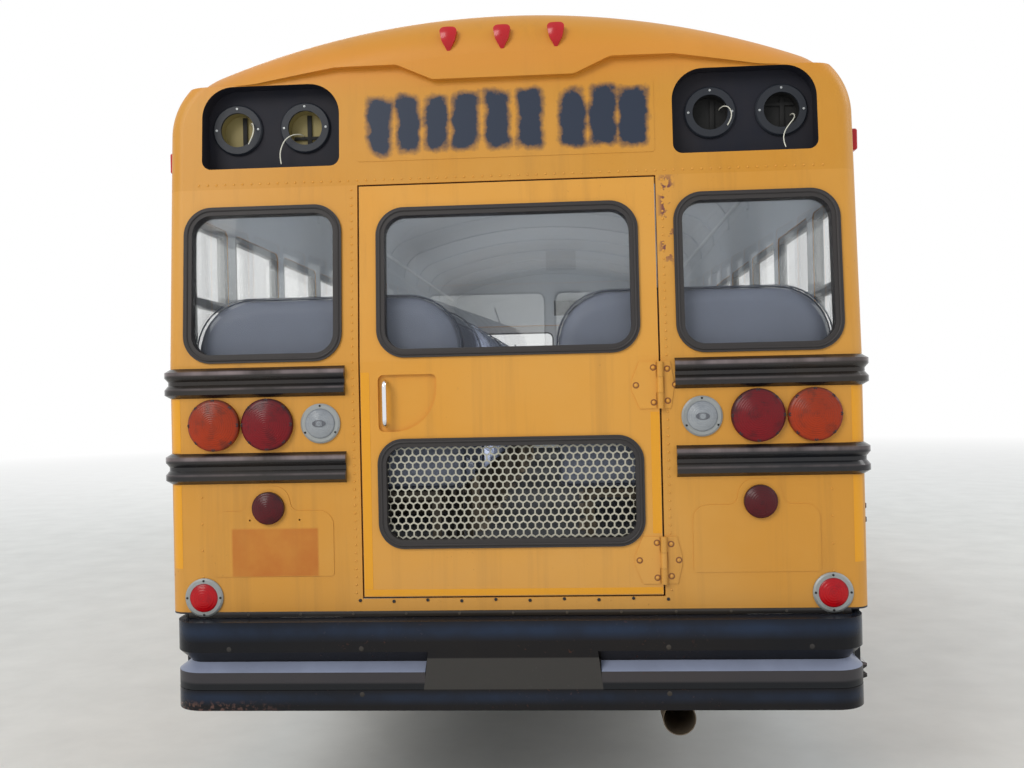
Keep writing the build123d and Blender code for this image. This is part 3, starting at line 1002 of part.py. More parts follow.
def tyre(x):
    """A tyre section with a flat tread, rounded shoulders and full sidewalls, spun about the axle."""
    half = TYRE_WIDTH / 2
    tread, bead = half - 26, half - 32
    right = [(TYRE_R, tread - 14), (TYRE_R - 16, tread + 8), (TYRE_R - 60, half - 6), (TYRE_R - 115, half),
             (TYRE_R - 175, half - 10), (RIM_R, bead)]
    left = [(r, -w) for r, w in reversed(right)]
    inner = [(RIM_R, -(bead - 14)), (TYRE_R - 175, -(half - 24)), (TYRE_R - 115, -(half - 16)),
             (TYRE_R - 40, -(tread - 20)), (TYRE_R - 40, tread - 20), (TYRE_R - 115, half - 16),
             (TYRE_R - 175, half - 24), (RIM_R, bead - 14)]
    return spin(right + left + inner, (x, 0, 0), (1, 0, 0))


def rim(x, dish):
    """A disc wheel: rim barrel with flanges and a disc set over by its dish."""
    half = TYRE_WIDTH / 2 - 18
    barrel = [(RIM_R + 12, half), (RIM_R + 12, half - 8), (RIM_R - FIT, half - 12), (RIM_R - FIT, 12 - half),
              (RIM_R + 12, 8 - half), (RIM_R + 12, -half), (RIM_R - 18, -half), (RIM_R - 18, half)]
    disc = [(HUB_R, dish - 6), (HUB_R, dish + 6), (185, dish + 6), (RIM_R - 10, dish * 0.25 + 6),
            (RIM_R - 10, dish * 0.25 - 6), (185, dish - 6)]
    return spin(barrel, (x, 0, 0), (1, 0, 0)) + spin(disc, (x, 0, 0), (1, 0, 0))


HAND_HOLES, HAND_HOLE_R, HAND_HOLE_CIRCLE = 8, 26.0, 232.0
FRONT_DISH = 95.0
REAR_DISH = (DUAL_OUTER - DUAL_INNER) / 2 - 6.0


def wheel(discs, hub0, hub1, cap_x):
    """Rims on one hub, with hand holes and studs. discs holds (x, dish) rows."""
    body = fuse([rim(x, dish) for x, dish in discs])
    hub = spin([(SPINDLE_R + SPINDLE_FIT, hub0), (HUB_R + 30, hub0), (HUB_R + 30, hub1), (HUB_R, hub1 + 10),
                (HUB_R - 20, cap_x), (0, cap_x), (0, cap_x - 12), (SPINDLE_R + SPINDLE_FIT, cap_x - 12)],
               (0, 0, 0), (1, 0, 0))
    body = body + hub
    for k in range(HAND_HOLES):
        turn = 2 * pi * k / HAND_HOLES
        y, z = HAND_HOLE_CIRCLE * cos(turn), HAND_HOLE_CIRCLE * sin(turn)
        body = body - rod((hub1 - 500, y, z), (1, 0, 0), HAND_HOLE_R, 1000)
    return body


front_tyre = tyre(FRONT_TRACK_HALF)
front_rim = wheel([(FRONT_TRACK_HALF, FRONT_DISH)], YOKE_BACK + 44, FRONT_TRACK_HALF + FRONT_DISH,
                  FRONT_SPINDLE_END + 25)
rear_tyres = [tyre(DUAL_OUTER), tyre(DUAL_INNER)]
rear_rims = wheel([(DUAL_OUTER, -REAR_DISH), (DUAL_INNER, REAR_DISH)], HUB_INNER_X, DUAL_OUTER - REAR_DISH,
                  SPINDLE_END + 25)
for name, side in (("right", 1), ("left", -1)):
    for node, shapes, y in (("tyre_front_", [front_tyre], FRONT_AXLE_Y), ("rim_front_", [front_rim], FRONT_AXLE_Y),
                            ("tyres_rear_", rear_tyres, REAR_AXLE_Y), ("rims_rear_", [rear_rims], REAR_AXLE_Y)):
        placed = [Pos(0, y, AXLE_Z) * shape for shape in shapes]
        keep(node + name, [shape if side > 0 else mirrored(shape) for shape in placed])

# Engine and gearbox as one block, with its radiator
ENGINE_Y = (3560.0, 4780.0)
engine = box(-330, 330, *ENGINE_Y, 700, 1340)
engine = engine + box(-160, 160, ENGINE_Y[0] - 760, ENGINE_Y[0] + 1, 640, 900)
engine = engine + box(-RAIL_X + RAIL_WEB, RAIL_X - RAIL_WEB, 4150, 4270, 730, 790)
keep("engine_block", engine)
RADIATOR_Y = CROSSMEMBERS[-1] - CROSS_WIDTH / 2
keep("radiator", box(-345, 345, RADIATOR_Y, RADIATOR_Y + CROSS_WIDTH, RAIL_TOP - RAIL_WEB + 1, 1330))

# Drive shaft from the gearbox to the differential's nose
shaft_start = Vector(0, ENGINE_Y[0] - 760, 760)
shaft_end = Vector(0, REAR_AXLE_Y + 330, AXLE_Z + 20)
shaft_line = shaft_end - shaft_start
SHAFT_R, SHAFT_BITE = 45.0, 20.0
shaft = rod(shaft_start - shaft_line.normalized() * SHAFT_BITE, shaft_line, SHAFT_R,
            shaft_line.length + 2 * SHAFT_BITE)
keep("drive_shaft", shaft - engine - axle)

TANK = (RAIL_X + 10.0, 1080.0, -900.0, 700.0, 470.0, 900.0)
tank = box(*TANK)
tank = fillet(tank.edges().filter_by(Axis.Y), 60)
for y in (TANK[2] + 250, TANK[3] - 250):
    tank = tank + box(RAIL_X, TANK[0] + 60, y - 30, y + 30, RAIL_BOTTOM + 20, RAIL_TOP - 20)
keep("fuel_tank", tank)

# Exhaust: down pipe, muffler, and a tail pipe over the rear axle that ends below the bumper
MUFFLER_X, MUFFLER_Z, MUFFLER_R, MUFFLER_Y = 230.0, 640.0, 98.0, (-1350.0, -150.0)
OVER_AXLE_Z = AXLE_Z + REAR_TUBE_R + PIPE_R + 56.0
PIPE_END_Y = REAR_Y + 40.0
pipe_points = [(MUFFLER_X + 25, ENGINE_Y[0], 720), (MUFFLER_X + 25, ENGINE_Y[0] - 400, 720),
               (MUFFLER_X, ENGINE_Y[0] - 1000, MUFFLER_Z), (MUFFLER_X, REAR_AXLE_Y + 700, MUFFLER_Z),
               (MUFFLER_X, REAR_AXLE_Y + 330, OVER_AXLE_Z), (MUFFLER_X, REAR_AXLE_Y - 400, OVER_AXLE_Z),
               (MUFFLER_X, REAR_AXLE_Y - 900, PIPE_Z), (PIPE_X, REAR_AXLE_Y - 1500, PIPE_Z),
               (PIPE_X, PIPE_END_Y, PIPE_Z)]
pipe_bends = [300, 300, 150, 150, 200, 250, 250]
path = FilletPolyline(pipe_points, radius=pipe_bends)
pipe = sweep(Plane(origin=pipe_points[0], z_dir=(0, -1, 0)) * Circle(PIPE_R), path=Wire(path.edges()))
exhaust = pipe + rod((MUFFLER_X, MUFFLER_Y[0], MUFFLER_Z), (0, 1, 0), MUFFLER_R, MUFFLER_Y[1] - MUFFLER_Y[0])
strap_low, strap_high = MUFFLER_Z + MUFFLER_R - 20, RAIL_TOP - RAIL_WEB - CROSS_DEEP
exhaust = exhaust + box(MUFFLER_X - 20, MUFFLER_X + 20, CROSSMEMBERS[2] - 15, CROSSMEMBERS[2] + 15, strap_low,
                        strap_high)
exhaust = exhaust - rod((PIPE_X, PIPE_END_Y - 1, PIPE_Z), (0, 1, 0), PIPE_R - PIPE_WALL, 400)
keep("exhaust", exhaust)

# Hood with its fenders, one moulded shell that is open below and behind
HOOD_REAR_Y = FRONT_WALL_Y + HOOD_GAP


def tapered(x_left, x_right, top, low, round_left, round_right, y):
    """An upright section with rounded upper corners, for the hood and the fenders."""
    corners = [(x_left, low), (x_right, low), (x_right, top), (x_left, top)]
    wire = FilletPolyline([(x, y, z) for x, z in corners], radius=[0, 0, round_right, round_left], close=True)
    return make_face(wire)


def hood_form(inset):
    """The hood's form, its faces moved in by the inset; an inner form runs out below and behind."""
    run = 5.0 if inset else 0.0
    back, front = HOOD_REAR_Y - run, NOSE_Y - inset
    low, low_rear = NOSE_BOTTOM - run, FENDER_BOTTOM - run
    turn = HOOD_ROUND - inset
    centre = loft([
        tapered(-HOOD_HALF_REAR + inset, HOOD_HALF_REAR - inset, HOOD_REAR_Z - inset, low, turn, turn, back),
        tapered(-HOOD_HALF_FRONT + inset, HOOD_HALF_FRONT - inset, HOOD_FRONT_Z - inset, low, turn, turn,
                NOSE_Y + OVERCUT)])
    crown = [(back - OVERCUT, low - OVERCUT), (front, low - OVERCUT), (front, HOOD_FRONT_Z - 60 - inset),
             (front - 60, HOOD_REAR_Z), (back - OVERCUT, HOOD_REAR_Z + OVERCUT)]
    centre = centre & side_slab(crown, [0, 0, 50, 0, 0], -HALF, HALF)
    turn = FENDER_ROUND - inset
    wing = loft([
        tapered(FENDER_IN, FENDER_HALF - inset, FENDER_TOP - inset, low_rear, 0, turn, back),
        tapered(FENDER_IN, FENDER_HALF - inset, FENDER_TOP - FENDER_FALL - inset, low_rear, 0, turn,
                NOSE_Y + OVERCUT)])
    step = FRONT_AXLE_Y
    side = [(back - OVERCUT, low_rear - OVERCUT), (step, low_rear - OVERCUT), (step, low), (NOSE_Y + 99, low),
            (NOSE_Y + 99, FENDER_TOP - 270 - inset), (front - 120, FENDER_TOP + OVERCUT),
            (back - OVERCUT, FENDER_TOP + OVERCUT)]
    plan = [(FENDER_IN - OVERCUT, back - OVERCUT), (FENDER_HALF - inset, back - OVERCUT),
            (FENDER_HALF - inset, front - 150), (FENDER_HALF - 80 - inset, front), (FENDER_IN - OVERCUT, front)]
    wing = wing & side_slab(side, 0, FENDER_IN - OVERCUT, FENDER_HALF + OVERCUT)
    wing = wing & plan_slab(plan, [0, 0, 120, 60, 0], low_rear - OVERCUT, FENDER_TOP + OVERCUT)
    return centre + wing + mirrored(wing)


hood = hood_form(0) - hood_form(HOOD_SKIN)
hood = hood - rod((-HALF, FRONT_AXLE_Y, AXLE_Z), (1, 0, 0), FENDER_ARCH_R, BODY_WIDTH)
hood = hood - panel(-GRILLE_HALF, GRILLE_HALF, *GRILLE_Z, 60, NOSE_Y - 60, NOSE_Y + 10)
for side in (-1, 1):
    hood = hood - rod((side * HEADLAMP_X, NOSE_Y - 60, HEADLAMP_Z), (0, 1, 0), HEADLAMP_R, 90)
    lug_points = [(HINGE_Y - LUG_R, HINGE_Z), (HINGE_Y + LUG_R, HINGE_Z), (NOSE_Y - HOOD_SKIN + 2, NOSE_BOTTOM + 12),
                  (NOSE_Y - HOOD_SKIN + 2, GRILLE_Z[0] - 15), (HINGE_Y - LUG_R, NOSE_BOTTOM + 12)]
    x0 = side * LUG_X - LUG_THICK / 2
    hood = hood + side_slab(lug_points, 0, x0, x0 + LUG_THICK)
    hood = hood + rod((x0, HINGE_Y, HINGE_Z), (1, 0, 0), LUG_R, LUG_THICK)
    hood = hood - rod((x0 - 1, HINGE_Y, HINGE_Z), (1, 0, 0), HOOD_PIN_R + FIT, LUG_THICK + 2)
keep("hood", hood)

# Grille with cross bars, set in the nose
GRILLE_BARS, GRILLE_BORDER, GRILLE_BAR = 6, 24.0, 16.0
grille_plate = panel(-GRILLE_HALF + FIT, GRILLE_HALF - FIT, GRILLE_Z[0] + FIT, GRILLE_Z[1] - FIT, 60,
                     NOSE_Y - 30, NOSE_Y + 6)
grille = grille_plate - panel(-GRILLE_HALF + GRILLE_BORDER, GRILLE_HALF - GRILLE_BORDER,
                              GRILLE_Z[0] + GRILLE_BORDER, GRILLE_Z[1] - GRILLE_BORDER, 40, NOSE_Y - 31, NOSE_Y + 7)
step = (GRILLE_Z[1] - GRILLE_Z[0] - 2 * GRILLE_BORDER) / (GRILLE_BARS + 1)
for k in range(GRILLE_BARS):
    z = GRILLE_Z[0] + GRILLE_BORDER + step * (k + 1)
    grille = grille + box(-GRILLE_HALF + GRILLE_BORDER - 2, GRILLE_HALF - GRILLE_BORDER + 2, NOSE_Y - 26, NOSE_Y,
                          z - GRILLE_BAR / 2, z + GRILLE_BAR / 2)
keep("grille", grille)

# Headlamps in the fenders
lamp_face = [(0, 0), (HEADLAMP_R - FIT, 0), (HEADLAMP_R - FIT, 62), (HEADLAMP_R * 0.7, 74), (0, 80)]
keep("headlamps", [spin(lamp_face, (side * HEADLAMP_X, NOSE_Y - 70, HEADLAMP_Z), (0, 1, 0)) for side in (-1, 1)])

# Bench seats: cushion, back with round upper corners, and a tube frame from floor to wall
SEAT_SPACING = PILLAR_PITCH
LEG, LEG_X, FOOT = 30.0, 260.0, 6.0
cushions, backs, frames = [], [], []
for row in range(SEAT_ROWS):
    y0 = REAR_Y + SEAT_REAR_GAP + SEAT_SPACING * row
    y1 = y0 + SEAT_BACK_THICK
    y2 = y1 + SEAT_DEPTH
    low = SEAT_TOP - SEAT_THICK
    back = end_slab(frame_points(SEAT_IN, SEAT_OUT, low + FIT, SEAT_BACK_TOP), [20, 20, SEAT_BACK_R, SEAT_BACK_R],
                    y0, y1)
    cushion = side_slab([(y1 + FIT, low + FIT), (y2, low + FIT), (y2, SEAT_TOP), (y1 + FIT, SEAT_TOP)],
                        [0, 20, 40, 0], SEAT_IN, SEAT_OUT)
    tubes = []
    for y in (y0 + LEG, y2 - 2 * LEG):
        tubes.append(box(LEG_X, LEG_X + LEG, y, y + LEG, FLOOR_TOP, low))
        tubes.append(box(LEG_X, INNER, y, y + LEG, low - LEG, low))
    tubes.append(box(LEG_X - LEG, LEG_X + 2 * LEG, y0 + LEG, y2 - LEG, FLOOR_TOP, FLOOR_TOP + FOOT))
    backs += pair(back)
    cushions += pair(cushion)
    frames += pair(fuse(tubes))
keep("bench_seats", backs, cushions)
keep("seat_frames", frames)

# Driver's place
DRIVER_X, DRIVER_Y = -560.0, 2560.0
seat_width = 500.0
driver = box(DRIVER_X - 120, DRIVER_X + 120, DRIVER_Y + 130, DRIVER_Y + 430, FLOOR_TOP, SEAT_TOP - 80)
driver = driver + side_slab([(DRIVER_Y, SEAT_TOP - 90), (DRIVER_Y + 520, SEAT_TOP - 90),
                             (DRIVER_Y + 540, SEAT_TOP + 30), (DRIVER_Y + 120, SEAT_TOP + 10),
                             (DRIVER_Y, 2080), (DRIVER_Y - 100, 2060)], [30, 30, 40, 40, 40, 40],
                            DRIVER_X - seat_width / 2, DRIVER_X + seat_width / 2)
keep("driver_seat", driver)
DASH_LOW, DASH_HIGH = 1250.0, 1590.0
dash = side_slab([(FRONT_WALL_Y - WALL, DASH_LOW), (FRONT_WALL_Y - WALL, DASH_HIGH), (3330, DASH_HIGH),
                  (3230, DASH_HIGH - 110), (3230, DASH_LOW + 60)], [0, 0, 50, 60, 60], -INNER + CORNER_RADIUS, 420)
keep("dashboard", dash)
WHEEL_R, WHEEL_TUBE, COLUMN_TILT = 225.0, 15.0, 35.0
hub_point = Vector(DRIVER_X, 3075, 1670)
column_dir = Vector(0, sin(radians(90 - COLUMN_TILT)), -cos(radians(90 - COLUMN_TILT)))
wheel_plane = Plane(origin=hub_point, z_dir=column_dir)
steering = wheel_plane * Torus(WHEEL_R, WHEEL_TUBE)
steering = steering + wheel_plane * Box(2 * WHEEL_R, 30, 16) + wheel_plane * Box(30, 2 * WHEEL_R, 16)
column = wheel_plane * Cylinder(28, 400, align=(Align.CENTER, Align.CENTER, Align.MIN))
keep("steering_wheel", steering + column - dash)

# Mirrors on both front corners
MIRROR_X, MIRROR_Y, MIRROR_Z = 1450.0, 3640.0, (1870.0, 2280.0)
MIRROR_HALF, MIRROR_DEEP, MIRROR_ARM = 120.0, 60.0, 12.0
MIRROR_FOOT_Y = 3380.0
mirror_set = panel(MIRROR_X - MIRROR_HALF, MIRROR_X + MIRROR_HALF, *MIRROR_Z, 40, MIRROR_Y, MIRROR_Y + MIRROR_DEEP)
mirror_set = mirror_set + box(HALF, HALF + 10, MIRROR_FOOT_Y - 40, MIRROR_FOOT_Y + 40, MIRROR_Z[0] + 20,
                              MIRROR_Z[1] - 20)
for z in (MIRROR_Z[0] + 60, MIRROR_Z[1] - 60):
    start = Vector(HALF + 5, MIRROR_FOOT_Y, z)
    reach = Vector(MIRROR_X, MIRROR_Y + MIRROR_DEEP / 2, z) - start
    mirror_set = mirror_set + rod(start, reach, MIRROR_ARM, reach.length)
mirror_set = mirror_set - box(0, HALF, MIRROR_FOOT_Y - 100, MIRROR_FOOT_Y + 100, *MIRROR_Z)
keep("mirrors", pair(mirror_set))

os.makedirs("parts", exist_ok=True)
for name, solids in nodes.items():
    export_step(solids[0] if len(solids) == 1 else Compound(children=solids), "parts/" + name + ".step")
print(len(nodes), "nodes", sum(len(s) for s in nodes.values()), "solids")
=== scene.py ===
# %% [markdown]
# A retired school bus, seen from behind.
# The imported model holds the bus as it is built: walls, doors, wheels, seats and joints, each at its
# real size. This script adds what the painter, the upholsterer and the trimmer would add, and what
# the years have done since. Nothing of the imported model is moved. A piece is either painted where
# it stands, or hidden and replaced by a finer one in the same place.

from math import asin, cos, hypot, pi, radians, sin, sqrt

import bmesh
import bpy
from mathutils import Matrix, Vector


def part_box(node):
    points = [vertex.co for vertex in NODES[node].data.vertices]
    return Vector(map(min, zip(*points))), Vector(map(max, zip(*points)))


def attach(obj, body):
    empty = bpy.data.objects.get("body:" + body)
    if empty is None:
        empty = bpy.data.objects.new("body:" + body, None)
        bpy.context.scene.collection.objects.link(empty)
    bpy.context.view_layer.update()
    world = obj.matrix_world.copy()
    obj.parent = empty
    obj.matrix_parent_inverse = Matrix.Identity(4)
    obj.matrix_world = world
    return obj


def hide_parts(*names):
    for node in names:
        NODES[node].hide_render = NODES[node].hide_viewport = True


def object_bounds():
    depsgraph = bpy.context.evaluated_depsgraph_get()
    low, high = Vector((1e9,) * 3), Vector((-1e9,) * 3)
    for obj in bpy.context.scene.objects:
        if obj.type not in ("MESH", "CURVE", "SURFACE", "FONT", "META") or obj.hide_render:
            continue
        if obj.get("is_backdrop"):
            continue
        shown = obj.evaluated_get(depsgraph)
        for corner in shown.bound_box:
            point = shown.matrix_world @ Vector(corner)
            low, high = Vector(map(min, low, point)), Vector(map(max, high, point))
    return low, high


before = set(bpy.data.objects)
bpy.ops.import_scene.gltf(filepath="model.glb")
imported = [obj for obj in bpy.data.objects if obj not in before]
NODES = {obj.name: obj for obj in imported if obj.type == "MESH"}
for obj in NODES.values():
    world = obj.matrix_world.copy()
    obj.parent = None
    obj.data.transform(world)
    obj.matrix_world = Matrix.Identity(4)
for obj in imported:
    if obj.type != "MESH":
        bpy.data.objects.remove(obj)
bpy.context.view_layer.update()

# %% [markdown]
# Sizes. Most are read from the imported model, so that the trim follows the bus. The rear wall stands
# upright to the belt line and leans forward above it, so a small function says how far out the wall
# is at a height. Everything on the back of the bus is placed with it.

# %% Sizes of the body
REAR_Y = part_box("amber_lamps")[1].y
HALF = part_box("rear_wall")[1].x
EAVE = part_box("roof")[0].z
BELT, LEAN = 1.807, 0.07203  # where the wall starts to lean forward, and how steeply
CORNER = 0.060  # radius of the body's upright corners
DOOR_HALF = -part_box("rear_door")[0].x
DOOR_LOW, DOOR_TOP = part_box("rear_door")[0].z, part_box("rear_door")[1].z
HEADER_LOW = 2.440


def rear_face(z):
    """How far back the rear face is at a height."""
    return REAR_Y + max(0.0, z - BELT) * LEAN


print("rear face at the belt and the eave:", round(rear_face(BELT), 3), round(rear_face(EAVE), 3))

# %% [markdown]
# The camera. It stands where the photographer stood: a little to the right of the middle, at the
# height of the lamps, and tilted by about a degree. The focal length comes from the photograph's
# field of view, given here in pixels of its width, so that the sensor and lens follow from it.

# %% The photographer's camera
FOCAL_PIXELS, PHOTO_WIDTH, SENSOR_MM = 1035.0, 1024.0, 36.0
CAMERA_PLACE = Vector((0.244, REAR_Y - 3.584, 1.700))
YAW, PITCH, ROLL = radians(3.69), radians(0.30), radians(-1.23)

ahead = Vector((-sin(YAW) * cos(PITCH), cos(YAW) * cos(PITCH), sin(PITCH)))
level = Vector((cos(YAW), sin(YAW), 0))
upright = level.cross(ahead)
camera_right = level * cos(ROLL) + upright * sin(ROLL)
camera_up = upright * cos(ROLL) - level * sin(ROLL)
lens = bpy.data.cameras.new("photo_camera")
lens.sensor_width = SENSOR_MM
lens.lens = SENSOR_MM * FOCAL_PIXELS / PHOTO_WIDTH
viewer = bpy.data.objects.new("photo_camera", lens)
turned_to = Matrix((camera_right, camera_up, -ahead)).transposed().to_4x4()
viewer.matrix_world = Matrix.Translation(CAMERA_PLACE) @ turned_to
bpy.context.scene.collection.objects.link(viewer)
bpy.context.scene.camera = viewer
print("lens", round(lens.lens, 2), "mm")

# %% [markdown]
# Lamp wires. The warning lamps above the rear windows are gone, and a short wire hangs out of each
# empty socket. Each wire is one smooth curve: it leaves its bore straight towards the rear, tips
# over the rim and hangs down. The points are the ones that the model's own wires follow.

# %% Hang the four lamp wires
WIRE_WIDE = 0.004
WIRE_ROUTES = {
    "outer_left": ((-0.938, -5.02561, 2.692), (-0.938, -5.048, 2.692), (-0.930, -5.070, 2.695),
                   (-0.918, -5.090, 2.685), (-0.912, -5.101, 2.661), (-0.919, -5.104, 2.632),
                   (-0.934, -5.098, 2.611)),
    "inner_left": ((-0.748, -5.02561, 2.650), (-0.748, -5.048, 2.650), (-0.756, -5.070, 2.647),
                   (-0.775, -5.092, 2.640), (-0.798, -5.103, 2.621), (-0.811, -5.110, 2.589),
                   (-0.813, -5.120, 2.555), (-0.804, -5.133, 2.527)),
    "inner_right": ((0.768, -5.02561, 2.688), (0.768, -5.048, 2.688), (0.778, -5.070, 2.691),
                    (0.794, -5.090, 2.682), (0.802, -5.101, 2.659), (0.799, -5.104, 2.634),
                    (0.786, -5.102, 2.614)),
    "outer_right": ((1.020, -5.02561, 2.660), (1.020, -5.048, 2.660), (1.026, -5.070, 2.653),
                    (1.021, -5.092, 2.633), (1.001, -5.104, 2.610), (0.981, -5.111, 2.582),
                    (0.975, -5.119, 2.550), (0.981, -5.132, 2.524)),
}


def lamp_wire(name, route):
    """One wire: a round curve of order 3 along the route, held at both ends."""
    curve = bpy.data.curves.new("lamp_wire_" + name, "CURVE")
    curve.dimensions = "3D"
    curve.bevel_depth = 1.0
    curve.bevel_resolution = 3
    curve.use_fill_caps = True
    line = curve.splines.new("NURBS")
    line.points.add(len(route) - 1)
    for point, place in zip(line.points, route):
        point.co = (*place, 1.0)
        point.radius = WIRE_WIDE / 2
    line.order_u = 3
    line.use_endpoint_u = True
    line.resolution_u = 12
    wire = bpy.data.objects.new("lamp_wire_" + name, curve)
    bpy.context.scene.collection.objects.link(wire)
    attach(wire, "root")
    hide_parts("lamp_wires")
    return wire


WIRES = {name: lamp_wire(name, route) for name, route in WIRE_ROUTES.items()}
print(len(WIRES), "lamp wires")

# %% [markdown]
# Light and floor. The photograph was taken outdoors in soft, even light. A white sky lights the bus
# from all sides, and one large lamp high on the left behind the camera gives the panels their shape.
# Two weaker ones stand beside and in front of the bus. Four small ones light the cabin, where little
# of the sky gets in. Neither the camera nor the panes show them as bright spots.

# %% Sky, lamps and floor
bpy.context.scene.view_settings.view_transform = "Standard"
SKY_LIGHT, SKY_LIT, SKY_SEEN = 0.62, (0.93, 0.97, 1.0, 1.0), (1.0, 1.0, 1.0, 1.0)
FLOOR_REACH, FLOOR_FADE_FROM, FLOOR_FADE_TO = 60.0, 6.0, 26.0

sky = bpy.data.worlds.new("soft_sky")
bpy.context.scene.world = sky
sky.use_nodes = True
sky_tree = sky.node_tree
sky_tree.nodes.clear()
sky_out = sky_tree.nodes.new("ShaderNodeOutputWorld")
sky_mix = sky_tree.nodes.new("ShaderNodeMixShader")
sky_seen = sky_tree.nodes.new("ShaderNodeBackground")
sky_lit = sky_tree.nodes.new("ShaderNodeBackground")
sky_lit.inputs["Strength"].default_value = SKY_LIGHT
sky_lit.inputs["Color"].default_value = SKY_LIT
sky_seen.inputs["Color"].default_value = SKY_SEEN
ray = sky_tree.nodes.new("ShaderNodeLightPath")
seen_share = ray.outputs["Is Camera Ray"]
for kind in ("Is Glossy Ray", "Is Transmission Ray"):
    either = sky_tree.nodes.new("ShaderNodeMath")
    either.operation = "MAXIMUM"
    sky_tree.links.new(seen_share, either.inputs[0])
    sky_tree.links.new(ray.outputs[kind], either.inputs[1])
    seen_share = either.outputs[0]
sky_tree.links.new(seen_share, sky_mix.inputs[0])
sky_tree.links.new(sky_lit.outputs[0], sky_mix.inputs[1])
sky_tree.links.new(sky_seen.outputs[0], sky_mix.inputs[2])
sky_tree.links.new(sky_mix.outputs[0], sky_out.inputs[0])


def soft_lamp(name, place, aim, wide, watts, colour):
    """A square soft lamp that looks at a point."""
    light = bpy.data.lights.new(name, "AREA")
    light.size = wide
    light.energy = watts
    light.color = colour
    lamp = bpy.data.objects.new(name, light)
    lamp.location = place
    lamp.rotation_euler = (Vector(aim) - Vector(place)).to_track_quat("-Z", "Y").to_euler()
    bpy.context.scene.collection.objects.link(lamp)


WHITE_LIGHT, WARM_LIGHT, LAMP_AIM_Z = (1.0, 1.0, 1.0), (1.0, 0.97, 0.92), 1.5
SOFT_LAMPS = (  # name, place, aimed at, width, watts, colour
    ("key_lamp", (-9.0, REAR_Y - 13.0, 11.0), (0, REAR_Y, LAMP_AIM_Z), 8.0, 1500.0, WARM_LIGHT),
    ("side_lamp", (16.0, -4.0, 12.0), (0, 0, LAMP_AIM_Z), 9.0, 900.0, WHITE_LIGHT),
    ("front_lamp", (-6.0, 17.0, 12.0), (0, 5.0, LAMP_AIM_Z), 8.0, 800.0, WHITE_LIGHT),
)
for lamp in SOFT_LAMPS:
    soft_lamp(*lamp)
CABIN_LAMPS_Y, CABIN_LAMP_Z, CABIN_LAMP_R, CABIN_WATTS = (-4.0, -2.0, 0.0, 2.0), 1.65, 0.25, 26.0
for number, y in enumerate(CABIN_LAMPS_Y):
    glow = bpy.data.lights.new(f"cabin_lamp_{number + 1}", "POINT")
    glow.energy = CABIN_WATTS
    glow.shadow_soft_size = CABIN_LAMP_R
    cabin_lamp = bpy.data.objects.new(glow.name, glow)
    cabin_lamp.location = (0, y, CABIN_LAMP_Z)
    cabin_lamp.visible_camera = False
    cabin_lamp.visible_glossy = False
    cabin_lamp.visible_transmission = False
    bpy.context.scene.collection.objects.link(cabin_lamp)

# %% [markdown]
# A few short helpers keep the shader trees readable. `feed` puts a number, a colour or another
# node's output into a socket. The rest make one node each and hand back its output.

# %% Helpers for shader trees
def srgb(red, green, blue):
    """A screen colour, 0 to 255, as the linear colour that a shader wants."""
    linear = [((c / 255 + 0.055) / 1.055) ** 2.4 if c > 10 else c / 3294 for c in (red, green, blue)]
    return (*linear, 1.0)


def feed(tree, socket, value):
    """Links another node's output into a socket, or sets its number or colour."""
    if isinstance(value, bpy.types.NodeSocket):
        tree.links.new(value, socket)
    elif value is not None:
        socket.default_value = value


def maths(tree, operation, *values, clamp=False):
    """One step of arithmetic."""
    made = tree.nodes.new("ShaderNodeMath")
    made.operation = operation
    made.use_clamp = clamp
    for socket, value in zip(made.inputs, values):
        feed(tree, socket, value)
    return made.outputs[0]


def remap(tree, value, low, high, to_low=0.0, to_high=1.0):
    """Spreads a value between two limits over another range, and stops at its ends."""
    made = tree.nodes.new("ShaderNodeMapRange")
    for socket, number in zip(made.inputs, (value, low, high, to_low, to_high)):
        feed(tree, socket, number)
    return made.outputs[0]


def mixed(tree, share, first, second, way="MIX"):
    """A share of the second colour over the first."""
    made = tree.nodes.new("ShaderNodeMix")
    made.data_type = "RGBA"
    made.blend_type = way
    feed(tree, made.inputs[0], share)
    feed(tree, made.inputs[6], first)
    feed(tree, made.inputs[7], second)
    return made.outputs[2]


def mottle(tree, place, scale, detail=4.0, rough=0.6, stretch=(1.0, 1.0, 1.0)):
    """Cloudy noise, 0 to 1, over a place; stretch squeezes it along X, Y or Z."""
    squeeze = tree.nodes.new("ShaderNodeMapping")
    squeeze.inputs["Scale"].default_value = stretch
    tree.links.new(place, squeeze.inputs["Vector"])
    made = tree.nodes.new("ShaderNodeTexNoise")
    made.inputs["Scale"].default_value = scale
    made.inputs["Detail"].default_value = detail
    made.inputs["Roughness"].default_value = rough
    tree.links.new(squeeze.outputs[0], made.inputs["Vector"])
    return made.outputs["Fac"]


def own_place(tree):
    """The point on the piece itself, and its three parts."""
    where = tree.nodes.new("ShaderNodeTexCoord").outputs["Object"]
    parts = tree.nodes.new("ShaderNodeSeparateXYZ")
    tree.links.new(where, parts.inputs[0])
    return where, parts.outputs[0], parts.outputs[1], parts.outputs[2]


def between(tree, value, low, high, soft):
    """1 between two values and 0 outside them, with a soft border."""
    rise = remap(tree, value, low - soft, low + soft)
    fall = remap(tree, value, high + soft, high - soft)
    return maths(tree, "MULTIPLY", rise, fall)


